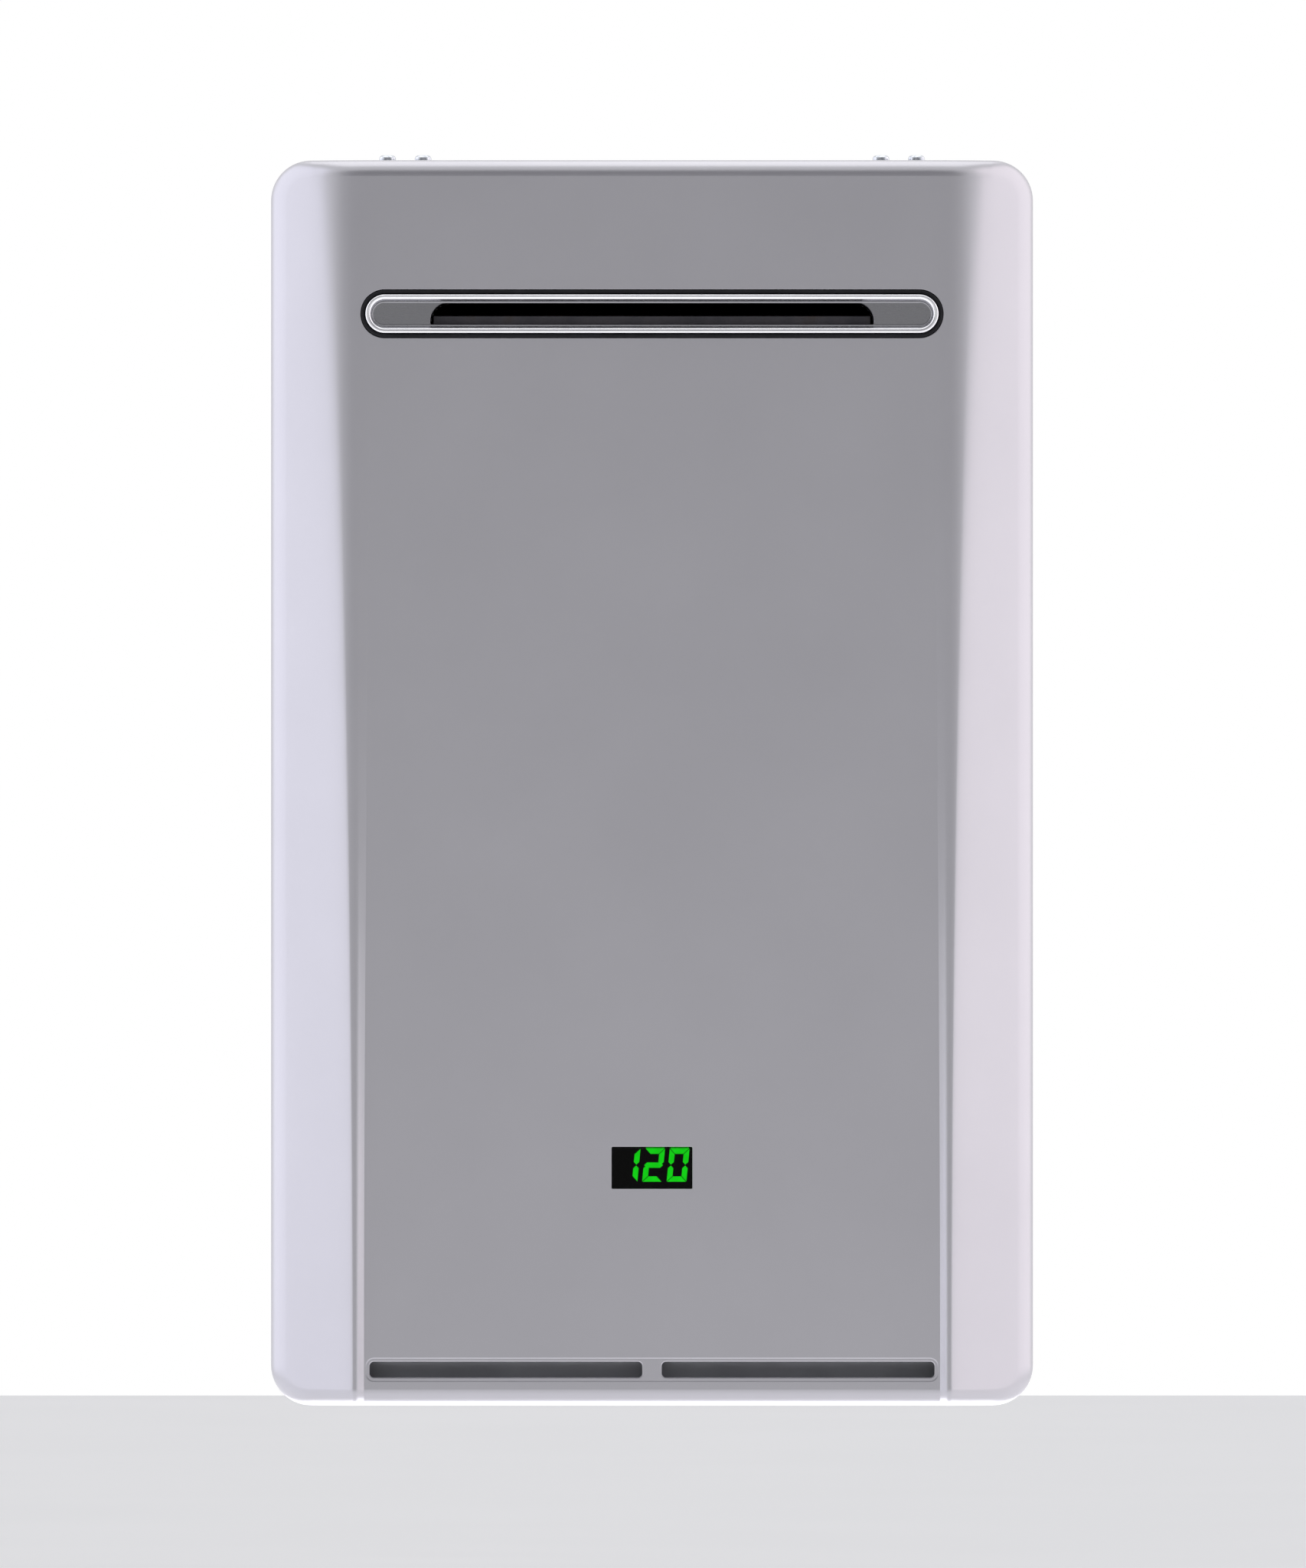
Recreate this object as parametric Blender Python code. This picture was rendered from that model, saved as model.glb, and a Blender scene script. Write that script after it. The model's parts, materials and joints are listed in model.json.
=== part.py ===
"""A wall-hung outdoor tankless gas water heater: casing, pressed front cover and what works inside.

Metres, +Z up, the front facing -Y. The origin is the middle of the upper wall bracket's rear face.
"""

import math

import bmesh
import bpy
from mathutils import Matrix, Vector

MM = 0.001

# Driving sizes of the whole heater
WIDTH = 356 * MM
HEIGHT = 581 * MM
DEPTH = 257 * MM
BRACKET_DROP = 40 * MM
STAND_OFF = 8 * MM
CORNER = 18.5 * MM
SHEET = 1.2 * MM

# Fits and working values
FIT = 0.3 * MM
SLIP = 0.4 * MM
RUN = 0.5 * MM
BITE = 0.4 * MM
OVERRUN = 3 * MM
WELD = 0.0005 * MM
CORNER_STEPS = 4
SLOT_STEPS = 2
ROUND_SIDES = 16
MIDDLE_SIDES = 12
SMALL_SIDES = 8
TUBE_SIDES = 6
SHARP_ANGLE = 34

SIDE = WIDTH / 2
TOP = BRACKET_DROP
BOTTOM = TOP - HEIGHT
FRONT = -DEPTH
REAR = -STAND_OFF

# Each look is a colour as sRGB hex, a roughness and a metallic value
LOOKS = {
    "silver_paint": ("A3A2A8", 0.38, 0.55),
    "galvanised_steel": ("A9ACAE", 0.45, 0.9),
    "stainless_steel": ("C2C3C6", 0.3, 1.0),
    "dark_steel": ("4A494E", 0.5, 0.8),
    "zinc_plate": ("B9BBC0", 0.32, 1.0),
    "copper": ("C47A52", 0.35, 1.0),
    "brass": ("C2A35A", 0.35, 1.0),
    "cast_aluminium": ("A8AAAD", 0.55, 0.9),
    "black_rubber": ("17171A", 0.8, 0.0),
    "black_plastic": ("1B1B1E", 0.5, 0.0),
    "grey_plastic": ("7C7F83", 0.55, 0.0),
    "white_ceramic": ("E6E3DA", 0.3, 0.0),
    "circuit_board": ("1F5A3A", 0.45, 0.0),
    "clear_lens": ("08080A", 0.08, 0.0),
}


def clear_scene():
    """Takes away whatever the file opened with."""
    for obj in list(bpy.data.objects):
        bpy.data.objects.remove(obj, do_unlink=True)


def linear(hex_colour):
    """An sRGB hex colour as linear red, green, blue and alpha."""
    values = [int(hex_colour[i : i + 2], 16) / 255 for i in (0, 2, 4)]
    return [v / 12.92 if v <= 0.04045 else ((v + 0.055) / 1.055) ** 2.4 for v in values] + [1.0]


def paint(obj, look):
    """Gives the object its own Principled material in one of the looks."""
    colour, roughness, metallic = LOOKS[look]
    material = bpy.data.materials.new(f"{obj.name}_{look}")
    material.use_nodes = True
    shader = material.node_tree.nodes["Principled BSDF"]
    shader.inputs["Base Color"].default_value = linear(colour)
    shader.inputs["Roughness"].default_value = roughness
    shader.inputs["Metallic"].default_value = metallic
    obj.data.materials.append(material)


def group_frame(name):
    """An empty at the origin that the pieces of one group hang from."""
    frame = bpy.data.objects.new(name, None)
    bpy.context.scene.collection.objects.link(frame)
    return frame


def solid(name, bm, look=None, parent=None):
    """A mesh object from a bmesh, facing out, smooth but for its real edges."""
    bmesh.ops.remove_doubles(bm, verts=bm.verts, dist=WELD)
    bmesh.ops.recalc_face_normals(bm, faces=bm.faces)
    mesh = bpy.data.meshes.new(name)
    bm.to_mesh(mesh)
    bm.free()
    mesh.shade_smooth()
    mesh.set_sharp_from_angle(angle=math.radians(SHARP_ANGLE))
    obj = bpy.data.objects.new(name, mesh)
    bpy.context.scene.collection.objects.link(obj)
    if look:
        paint(obj, look)
    obj.parent = parent
    return obj


def move_origin(obj, place):
    """Puts the object's origin at a place and leaves its shape where it is."""
    obj.data.transform(Matrix.Translation(-Vector(place)))
    obj.location = place


def boolean(obj, operation, helpers):
    """Adds one Boolean for each helper, and hides the helper."""
    for helper in helpers:
        helper.hide_render = True
        helper.display_type = "WIRE"
        modifier = obj.modifiers.new(helper.name, "BOOLEAN")
        modifier.operation = operation
        modifier.object = helper
        modifier.solver = "EXACT"
    return obj


def cut(obj, *helpers):
    return boolean(obj, "DIFFERENCE", helpers)


def fuse(obj, *helpers):
    return boolean(obj, "UNION", helpers)


def keep_inside(obj, helper):
    return boolean(obj, "INTERSECT", [helper])


# Outlines


def arc(centre, radius, start, end, steps):
    """Points along an arc, both ends included, for angles in degrees."""
    turns = [math.radians(start + (end - start) * i / steps) for i in range(steps + 1)]
    return [(centre[0] + radius * math.cos(t), centre[1] + radius * math.sin(t)) for t in turns]


def rounded(low, high, radii, steps=CORNER_STEPS):
    """A rectangle with rounded corners, counter-clockwise from its lower right one."""
    low_right, high_right, high_left, low_left = radii if isinstance(radii, tuple) else (radii,) * 4
    return (
        arc((high[0] - low_right, low[1] + low_right), low_right, -90, 0, steps)
        + arc((high[0] - high_right, high[1] - high_right), high_right, 0, 90, steps)
        + arc((low[0] + high_left, high[1] - high_left), high_left, 90, 180, steps)
        + arc((low[0] + low_left, low[1] + low_left), low_left, 180, 270, steps)
    )


def about(centre, half_wide, half_high, radii, steps=CORNER_STEPS):
    """A rounded rectangle about its centre."""
    low = (centre[0] - half_wide, centre[1] - half_high)
    high = (centre[0] + half_wide, centre[1] + half_high)
    return rounded(low, high, radii, steps)


def casing_outline(inset):
    """The heater seen from the front, drawn in by an inset."""
    low = (inset - SIDE, BOTTOM + inset)
    high = (SIDE - inset, TOP - inset)
    return rounded(low, high, CORNER - inset)


def bent_sheet(path, thickness):
    """The section of a sheet that follows a path, its thickness to the path's left."""
    points = [Vector(p) for p in path]
    runs = [(b - a).normalized() for a, b in zip(points, points[1:])]
    sides = [Vector((-run.y, run.x)) for run in runs]
    shifted = []
    for i, point in enumerate(points):
        before = sides[max(i - 1, 0)]
        after = sides[min(i, len(sides) - 1)]
        mitre = (before + after).normalized()
        shifted.append(point + mitre * (thickness / mitre.dot(after)))
    return [tuple(p) for p in points + shifted[::-1]]


# Solids


def across(axis, u, v, place):
    """A point of a drawing that lies across an axis, at a place along that axis."""
    return {"X": (place, u, v), "Y": (u, place, v), "Z": (u, v, place)}[axis]


def ring(axis, outline, place):
    return [across(axis, u, v, place) for u, v in outline]


def prisms(name, outlines, axis, start, end, look=None, parent=None):
    """Outlines drawn across an axis, apart from each other, and extruded along it from start to end."""
    bm = bmesh.new()
    for outline in outlines:
        face = bm.faces.new([bm.verts.new(p) for p in ring(axis, outline, start)])
        grown = bmesh.ops.extrude_face_region(bm, geom=[face])["geom"]
        moved = [part for part in grown if isinstance(part, bmesh.types.BMVert)]
        bmesh.ops.translate(bm, vec=across(axis, 0, 0, end - start), verts=moved)
    return solid(name, bm, look, parent)


def prism(name, outline, axis, start, end, look=None, parent=None):
    """One outline extruded in the same way."""
    return prisms(name, [outline], axis, start, end, look, parent)


def block(name, low, high, look=None, parent=None, edge=0):
    """A rectangular solid between two corners, its edges bevelled where edge isn't zero."""
    bm = bmesh.new()
    bmesh.ops.create_cube(bm, size=1)
    bmesh.ops.scale(bm, vec=Vector(high) - Vector(low), verts=bm.verts)
    bmesh.ops.translate(bm, vec=(Vector(high) + Vector(low)) / 2, verts=bm.verts)
    if edge:
        bmesh.ops.bevel(bm, geom=bm.edges, offset=edge, segments=1, affect="EDGES")
    return solid(name, bm, look, parent)


def loft(name, rings, look=None, parent=None, closed=False):
    """A skin through rings of equally many points, its ends capped, or closed on itself."""
    bm = bmesh.new()
    loops = [[bm.verts.new(p) for p in points] for points in rings]
    following = loops[1:] + loops[:1] if closed else loops[1:]
    for first, second in zip(loops, following):
        for i in range(len(first)):
            j = (i + 1) % len(first)
            bm.faces.new((first[i], first[j], second[j], second[i]))
    if not closed:
        bm.faces.new(loops[0])
        bm.faces.new(loops[-1])
    return solid(name, bm, look, parent)


def turned(name, profile, axis, centre, look=None, parent=None, sides=ROUND_SIDES):
    """A profile of (radius, place along the axis) points spun about a line through centre."""
    bm = bmesh.new()
    points = [bm.verts.new(across(axis, radius, 0, place)) for radius, place in profile]
    edges = [bm.edges.new(pair) for pair in zip(points, points[1:])]
    if profile[0][0] > 0:
        edges.append(bm.edges.new((points[-1], points[0])))
    direction = across(axis, 0, 0, 1)
    bmesh.ops.spin(bm, geom=points + edges, axis=direction, angle=math.tau, steps=sides)
    bmesh.ops.translate(bm, vec=across(axis, centre[0], centre[1], 0), verts=bm.verts)
    return solid(name, bm, look, parent)


def rod(name, radius, axis, centre, start, end, look=None, parent=None, sides=ROUND_SIDES):
    """A plain round bar along an axis."""
    profile = [(0, start), (radius, start), (radius, end), (0, end)]
    return turned(name, profile, axis, centre, look, parent, sides)


def joined(name, helpers):
    """One helper that holds the meshes of several, which are taken away."""
    bm = bmesh.new()
    for helper in helpers:
        bm.from_mesh(helper.data)
        bpy.data.objects.remove(helper, do_unlink=True)
    return solid(name, bm)


def filleted(points, radius, steps=3):
    """A route through straight runs whose corners are bent to a radius."""
    points = [Vector(p) for p in points]
    route = [points[0]]
    for before, corner, after in zip(points, points[1:], points[2:]):
        inward = (before - corner).normalized()
        outward = (after - corner).normalized()
        half = inward.angle(outward) / 2
        reach = radius / math.tan(half)
        middle = corner + (inward + outward).normalized() * (radius / math.sin(half))
        first = corner + inward * reach - middle
        turn = Matrix.Rotation((math.pi - 2 * half) / steps, 3, first.cross(-inward))
        for _ in range(steps + 1):
            route.append(middle + first)
            first = turn @ first
    return route + [points[-1]]


def tube_curve(name, route, radius, sides):
    """A curve object along a route with a round bevel."""
    curve = bpy.data.curves.new(name, "CURVE")
    curve.dimensions = "3D"
    curve.bevel_depth = radius
    curve.bevel_resolution = (sides - 4) // 2
    spline = curve.splines.new("POLY")
    spline.points.add(len(route) - 1)
    for point, place in zip(spline.points, route):
        point.co = (*place, 1)
    obj = bpy.data.objects.new(name, curve)
    bpy.context.scene.collection.objects.link(obj)
    return obj


def pipe(name, route, radius, wall, look, parent):
    """A hollow pipe along a route, open at both ends."""
    obj = tube_curve(name, route, radius, TUBE_SIDES)
    hollow = obj.modifiers.new("pipe_wall", "SOLIDIFY")
    hollow.thickness = wall
    hollow.offset = -1
    paint(obj, look)
    obj.parent = parent
    return obj


def bar(name, route, radius, look=None, parent=None):
    """A solid round bar along a route, as a mesh that can be fused to others."""
    guide = tube_curve(name, route, radius, TUBE_SIDES)
    guide.data.use_fill_caps = True
    mesh = bpy.data.meshes.new_from_object(guide)
    bpy.data.objects.remove(guide, do_unlink=True)
    bm = bmesh.new()
    bm.from_mesh(mesh)
    return solid(name, bm, look, parent)


# The front cover: a pressed pan whose flanks lean back. At the top each flank bends softly out of
# the flat panel. Lower down the same flank runs on past the panel and ends in a standing crest.
COVER_DEPTH = 52 * MM
PANEL_SET_BACK = 4 * MM
COVER_EDGE = 7.5 * MM
FLANK_ANGLE = math.radians(40)
FLANK_BEND = 50 * MM
BEND_FROM_SIDE = 52 * MM
BEND_STEPS = 5
CREST_WIDTH = 2.5 * MM
CREST_ROUND = 0.6 * MM
CREST_WALL = 2.9 * MM
EDGE_STEPS = 3
STRAIGHT_ROWS = 6
COLUMN_GAP_SHARE = 0.06

PANEL_Y = FRONT + PANEL_SET_BACK
COVER_REAR = FRONT + COVER_DEPTH
BEND_X = SIDE - BEND_FROM_SIDE
FLANK_X = BEND_X + FLANK_BEND * math.sin(FLANK_ANGLE)
FLANK_SET_BACK = PANEL_SET_BACK + FLANK_BEND * (1 - math.cos(FLANK_ANGLE))

# The openings in the cover, each placed from the top or the bottom of the heater
OUTLET_DROP = 71.7 * MM
OUTLET_FROM_SIDE = 42 * MM
OUTLET_HEIGHT = 22.7 * MM
OUTLET_STEPS = 5
SLOT_FROM_SIDE = 46.35 * MM
SLOT_HEIGHT = 7.3 * MM
SLOT_BRIDGE = 9.3 * MM
SLOT_RISE = 13.1 * MM
SLOT_CORNER = 2 * MM
DISPLAY_RISE = 111 * MM
DISPLAY_WIDTH = 37.6 * MM
DISPLAY_HEIGHT = 19.5 * MM
DISPLAY_CORNER = 0.5 * MM

OUTLET_WIDTH = WIDTH - 2 * OUTLET_FROM_SIDE
OUTLET_Z = TOP - OUTLET_DROP
SLOT_LENGTH = SIDE - SLOT_FROM_SIDE - SLOT_BRIDGE / 2
DISPLAY_Z = BOTTOM + DISPLAY_RISE

# The screws that hold the cover to the casing's lip
SCREW_FROM_SIDE = 54.4 * MM
SCREW_PITCH = 16.6 * MM
SCREW_HEAD = 3.9 * MM
SCREW_HEAD_HEIGHT = 2.6 * MM
SCREW_SHANK = 2 * MM
SCREW_LENGTH = 9 * MM
SCREW_CROWN = 1.1 * MM
LIP_DEPTH = 12 * MM

LIP_INSET = SHEET + SLIP
SHOULDER_Y = COVER_REAR + FIT
LIP_Y = SHOULDER_Y - LIP_DEPTH
SCREW_Y = SHOULDER_Y - LIP_DEPTH / 2
SCREW_OUTER = SIDE - SCREW_FROM_SIDE
SCREW_INNER = SCREW_OUTER - SCREW_PITCH
SCREW_X = (-SCREW_OUTER, -SCREW_INNER, SCREW_INNER, SCREW_OUTER)


def flank_set_back(x):
    """How far the flank's plane lies behind the foremost plane, at a distance from the middle."""
    return FLANK_SET_BACK + (x - FLANK_X) * math.tan(FLANK_ANGLE)


def top_section():
    """Half of the front's section at the top, as (distance from the middle, set-back) points."""
    points = [(0, PANEL_SET_BACK)]
    for i in range(BEND_STEPS + 1):
        angle = FLANK_ANGLE * i / BEND_STEPS
        run = FLANK_BEND * math.sin(angle)
        points.append((BEND_X + run, PANEL_SET_BACK + FLANK_BEND * (1 - math.cos(angle))))
    return points


def bottom_section():
    """The same half at the bottom: the panel, the wall up to the crest, and the flank."""
    shoulder = FLANK_X - (FLANK_SET_BACK - CREST_ROUND) / math.tan(FLANK_ANGLE)
    inner = shoulder - CREST_WIDTH
    foot = inner - CREST_WALL
    return [
        (0, PANEL_SET_BACK),
        (foot, PANEL_SET_BACK),
        ((foot + inner) / 2, (PANEL_SET_BACK + CREST_ROUND) / 2),
        (inner, CREST_ROUND / 2),
        ((inner + shoulder) / 2, 0),
        (shoulder, CREST_ROUND),
        (FLANK_X, FLANK_SET_BACK),
    ]


def front_section(z):
    """The half section at a height: the top one turning evenly into the bottom one."""
    down = min(max((TOP - z) / HEIGHT, 0), 1)
    pairs = zip(top_section(), bottom_section())
    return [(a[0] + (b[0] - a[0]) * down, a[1] + (b[1] - a[1]) * down) for a, b in pairs]


def cover_rows():
    """Rows of the front as (height, half width, outward direction at its end), bottom first."""
    inner = CORNER - COVER_EDGE
    turns = [math.pi / 2 * i / CORNER_STEPS for i in range(CORNER_STEPS + 1)]
    rows = []
    for t in turns[::-1]:
        place = (BOTTOM + CORNER - inner * math.sin(t), SIDE - CORNER + inner * math.cos(t))
        rows.append((*place, (math.cos(t), -math.sin(t))))
    for i in range(1, STRAIGHT_ROWS):
        z = BOTTOM + CORNER + (HEIGHT - 2 * CORNER) * i / STRAIGHT_ROWS
        rows.append((z, SIDE - COVER_EDGE, (1, 0)))
    for t in turns:
        place = (TOP - CORNER + inner * math.sin(t), SIDE - CORNER + inner * math.cos(t))
        rows.append((*place, (math.cos(t), math.sin(t))))
    return rows


def cover_point(column, z, edge_x, drop=0, reach=0):
    """A point of the cover's front, mirrored for a negative column. Reach moves the end column out."""
    section = front_section(z)
    count = len(section)
    if abs(column) == count:
        x = edge_x + reach
        set_back = flank_set_back(x)
    else:
        x, set_back = section[abs(column)]
        limit = edge_x - COLUMN_GAP_SHARE * CORNER * (count - abs(column))
        if x > limit and abs(column) == count - 1:
            x = limit
            set_back = flank_set_back(x)
    return (math.copysign(x, column), FRONT + set_back + drop, z)


def cover_boundary(rows, last):
    """The front's edge, counter-clockwise: (column, height, half width, outward direction)."""
    bottom, top = rows[0], rows[-1]
    foot = [(c, bottom[0], bottom[1], (0, -1)) for c in range(-last, last)]
    right = [(last, *row) for row in rows[:-1]]
    head = [(c, top[0], top[1], (0, 1)) for c in range(last, -last, -1)]
    left = [(-last, *row) for row in rows[:0:-1]]
    return foot + right + head + left


def cover_pan():
    """The cover's outer skin: the front, its rounded edge and its walls, open at the rear."""
    bm = bmesh.new()
    rows = cover_rows()
    last = len(top_section())
    columns = range(-last, last + 1)
    grid = [[bm.verts.new(cover_point(c, row[0], row[1])) for c in columns] for row in rows]
    for low, high in zip(grid, grid[1:]):
        for i in range(len(low) - 1):
            bm.faces.new((low[i], low[i + 1], high[i + 1], high[i]))
    boundary = cover_boundary(rows, last)
    heights = [row[0] for row in rows]
    loop = [grid[heights.index(z)][columns.index(c)] for c, z, _, _ in boundary]
    for step in range(1, EDGE_STEPS + 2):
        turn = math.pi / 2 * min(step, EDGE_STEPS) / EDGE_STEPS
        out = COVER_EDGE * math.sin(turn)
        drop = COVER_EDGE * (1 - math.cos(turn))
        outer = []
        for column, z, edge_x, way in boundary:
            x, y, height = cover_point(column, z + way[1] * out, edge_x, drop, way[0] * out)
            if step > EDGE_STEPS:
                y = COVER_REAR
            outer.append(bm.verts.new((x, y, height)))
        for i in range(len(loop)):
            j = (i + 1) % len(loop)
            bm.faces.new((loop[i], outer[i], outer[j], loop[j]))
        loop = outer
    return bm


def inlet_slot(name, side):
    """The cutter of one air slot near the bottom; side is -1 for the left and 1 for the right."""
    middle = (side * (SLOT_BRIDGE + SLOT_LENGTH) / 2, BOTTOM + SLOT_RISE + SLOT_HEIGHT / 2)
    outline = about(middle, SLOT_LENGTH / 2, SLOT_HEIGHT / 2, SLOT_CORNER)
    return prism(name, outline, "Y", FRONT - OVERRUN, PANEL_Y + SHEET + OVERRUN)


def make_cover(frame):
    cover = solid("front_cover", cover_pan(), "silver_paint", frame)
    wall = cover.modifiers.new("sheet", "SOLIDIFY")
    wall.thickness = SHEET
    wall.offset = -1
    through = PANEL_Y + SHEET + OVERRUN
    outlet = about((0, OUTLET_Z), OUTLET_WIDTH / 2, OUTLET_HEIGHT / 2, OUTLET_HEIGHT / 2, OUTLET_STEPS)
    half_wide, half_high = DISPLAY_WIDTH / 2, DISPLAY_HEIGHT / 2
    window = about((0, DISPLAY_Z), half_wide, half_high, DISPLAY_CORNER, SLOT_STEPS)
    cut(
        cover,
        prism("cut_outlet", outlet, "Y", FRONT - OVERRUN, through + OVERRUN),
        prism("cut_window", window, "Y", FRONT - OVERRUN, through),
        inlet_slot("cut_left_slot", -1),
        inlet_slot("cut_right_slot", 1),
    )
    hole = SCREW_SHANK + FIT
    holes = [
        rod(f"hole_{x:.3f}", hole, "Z", (x, SCREW_Y), TOP - SHEET - OVERRUN, TOP + OVERRUN,
            sides=SMALL_SIDES)
        for x in SCREW_X
    ]
    cut(cover, joined("cut_screw_holes", holes))
    return cover


def make_screws(frame):
    """Four pan-head screws down through the cover's top wall, with chamfered crowns."""
    for number, x in enumerate(SCREW_X, start=1):
        seat = TOP + FIT / 2
        crown = seat + SCREW_HEAD_HEIGHT
        shoulder = SCREW_HEAD - SCREW_CROWN / 2
        profile = [
            (0, seat - SCREW_LENGTH), (SCREW_SHANK, seat - SCREW_LENGTH), (SCREW_SHANK, seat),
            (SCREW_HEAD, seat), (SCREW_HEAD, crown - SCREW_CROWN / 2), (shoulder, crown), (0, crown),
        ]
        screw = turned(f"cover_screw_{number}", profile, "Z", (x, SCREW_Y), "zinc_plate", frame,
                       SMALL_SIDES)
        move_origin(screw, (x, SCREW_Y, seat))


# The lens in the cover's display opening, with a flange glued behind the panel
LENS_PROUD = 0.1 * MM
LENS_FLANGE = 4 * MM
LENS_FLANGE_DEPTH = 1.2 * MM


def make_display_window(frame):
    centre = (0, DISPLAY_Z)
    half_wide, half_high = DISPLAY_WIDTH / 2, DISPLAY_HEIGHT / 2
    plug = about(centre, half_wide - FIT, half_high - FIT, DISPLAY_CORNER, SLOT_STEPS)
    half_wide += LENS_FLANGE
    half_high += LENS_FLANGE
    flange = about(centre, half_wide, half_high, DISPLAY_CORNER, SLOT_STEPS)
    behind = PANEL_Y + SHEET + FIT
    rings = [
        ring("Y", plug, PANEL_Y - LENS_PROUD),
        ring("Y", plug, behind),
        ring("Y", flange, behind),
        ring("Y", flange, behind + LENS_FLANGE_DEPTH),
    ]
    return loft("display_window", rings, "clear_lens", frame)


LENS_REAR = PANEL_Y + SHEET + FIT + LENS_FLANGE_DEPTH


# The casing: a four-sided wrapper with a joggled lip, a back pan and the two wall brackets
BOTTOM_RIM = 18 * MM
PAN_FLANGE = 12 * MM
RIB_WIDTH = 16 * MM
RIB_HEIGHT = 3.5 * MM
RIB_FROM_MIDDLE = 62 * MM
RIB_FROM_END = 70 * MM
BRACKET_WIDTH = 200 * MM
BRACKET_SHEET = 1.6 * MM
BRACKET_HALF_WEB = 14 * MM
BRACKET_FLANGE = 10 * MM
KEYHOLE_FROM_MIDDLE = 60 * MM
KEYHOLE_WIDTH = 7 * MM
KEYHOLE_LENGTH = 16 * MM


def make_casing_wrapper(frame):
    step = SHOULDER_Y + SHEET
    stations = [
        (0, REAR), (0, SHOULDER_Y), (LIP_INSET, SHOULDER_Y), (LIP_INSET, LIP_Y),
        (LIP_INSET + SHEET, LIP_Y), (LIP_INSET + SHEET, step), (SHEET, step), (SHEET, REAR),
    ]
    rings = [ring("Y", casing_outline(inset), y) for inset, y in stations]
    wrapper = loft("casing_wrapper", rings, "silver_paint", frame, closed=True)
    half_notch = SCREW_SHANK + RUN
    notches = [
        block(f"notch_{x:.3f}", (x - half_notch, LIP_Y - OVERRUN, TOP - SCREW_LENGTH - OVERRUN),
              (x + half_notch, SCREW_Y + half_notch, TOP + OVERRUN))
        for x in SCREW_X
    ]
    opening = block(
        "cut_bottom_opening",
        (BOTTOM_RIM - SIDE, SHOULDER_Y + BOTTOM_RIM, BOTTOM - OVERRUN),
        (SIDE - BOTTOM_RIM, REAR - BOTTOM_RIM, BOTTOM + SHEET + OVERRUN),
    )
    cut(wrapper, joined("cut_screw_notches", notches), opening)
    return wrapper


def make_back_panel(frame):
    """A pan nested in the wrapper's rear, with two pressed ribs that stiffen it."""
    outer = casing_outline(SHEET + FIT)
    inner = casing_outline(SHEET + FIT + SHEET)
    rings = [
        ring("Y", outer, REAR),
        ring("Y", outer, REAR - PAN_FLANGE),
        ring("Y", inner, REAR - PAN_FLANGE),
        ring("Y", inner, REAR - SHEET),
    ]
    panel = loft("back_panel", rings, "galvanised_steel", frame)
    low, high = BOTTOM + RIB_FROM_END, TOP - RIB_FROM_END
    ridges, grooves = [], []
    for side in (-1, 1):
        middle = (side * RIB_FROM_MIDDLE, (low + high) / 2)
        half_high = (high - low) / 2
        wide = RIB_WIDTH / 2
        inner = wide - SHEET
        ridges.append(about(middle, wide, half_high, wide, SLOT_STEPS))
        grooves.append(about(middle, inner, half_high - SHEET, inner, SLOT_STEPS))
    crown = REAR - SHEET - RIB_HEIGHT
    fuse(panel, prisms("rib_ridges", ridges, "Y", REAR - SHEET / 2, crown))
    cut(panel, prisms("rib_grooves", grooves, "Y", REAR + OVERRUN, crown + SHEET))
    return panel


def make_wall_bracket(name, z, frame):
    """A hat-section rail that hangs the back panel off the wall on two slotted screw holes."""
    deep = -(STAND_OFF - FIT)
    lip = deep + BRACKET_SHEET
    half = BRACKET_HALF_WEB
    path = [(lip, z - half - BRACKET_FLANGE), (lip, z - half), (0, z - half), (0, z + half),
            (lip, z + half), (lip, z + half + BRACKET_FLANGE)]
    section = bent_sheet(path, BRACKET_SHEET)
    rail = prism(name, section, "X", -BRACKET_WIDTH / 2, BRACKET_WIDTH / 2, "galvanised_steel", frame)
    wide = KEYHOLE_WIDTH / 2
    holes = [
        about((side * KEYHOLE_FROM_MIDDLE, z), wide, KEYHOLE_LENGTH / 2, wide, SLOT_STEPS)
        for side in (-1, 1)
    ]
    cut(rail, prisms(f"{name}_holes", holes, "Y", OVERRUN, -BRACKET_SHEET - OVERRUN))
    return rail


# The combustion stack: collector, finned block, shell and burner box, one above the other
STACK_FROM_SIDE = 58 * MM
STACK_FROM_FRONT = 82 * MM
STACK_FROM_WALL = 45 * MM
STACK_CORNER = 12 * MM
STACK_STEPS = 2
COLLECTOR_DROP = 48 * MM
COLLECTOR_HEIGHT = 52 * MM
COLLECTOR_SKIRT = 14 * MM
COLLECTOR_CROWN = 58 * MM
FIN_HEIGHT = 70 * MM
BURNER_HEIGHT = 80 * MM
BURNER_RISE = 203 * MM
COPPER_SHEET = 1 * MM

STACK_WIDTH = WIDTH - 2 * STACK_FROM_SIDE
STACK_FRONT = FRONT + STACK_FROM_FRONT
STACK_BACK = -STACK_FROM_WALL
STACK_DEPTH = STACK_BACK - STACK_FRONT
STACK_Y = (STACK_BACK + STACK_FRONT) / 2
COLLECTOR_TOP = TOP - COLLECTOR_DROP
COLLECTOR_FOOT = COLLECTOR_TOP - COLLECTOR_HEIGHT
FIN_TOP = COLLECTOR_FOOT - FIT
FIN_FOOT = FIN_TOP - FIN_HEIGHT
BURNER_FOOT = BOTTOM + BURNER_RISE
BURNER_TOP = BURNER_FOOT + BURNER_HEIGHT
SHELL_TOP = FIN_FOOT - FIT
SHELL_FOOT = BURNER_TOP + FIT

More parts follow.
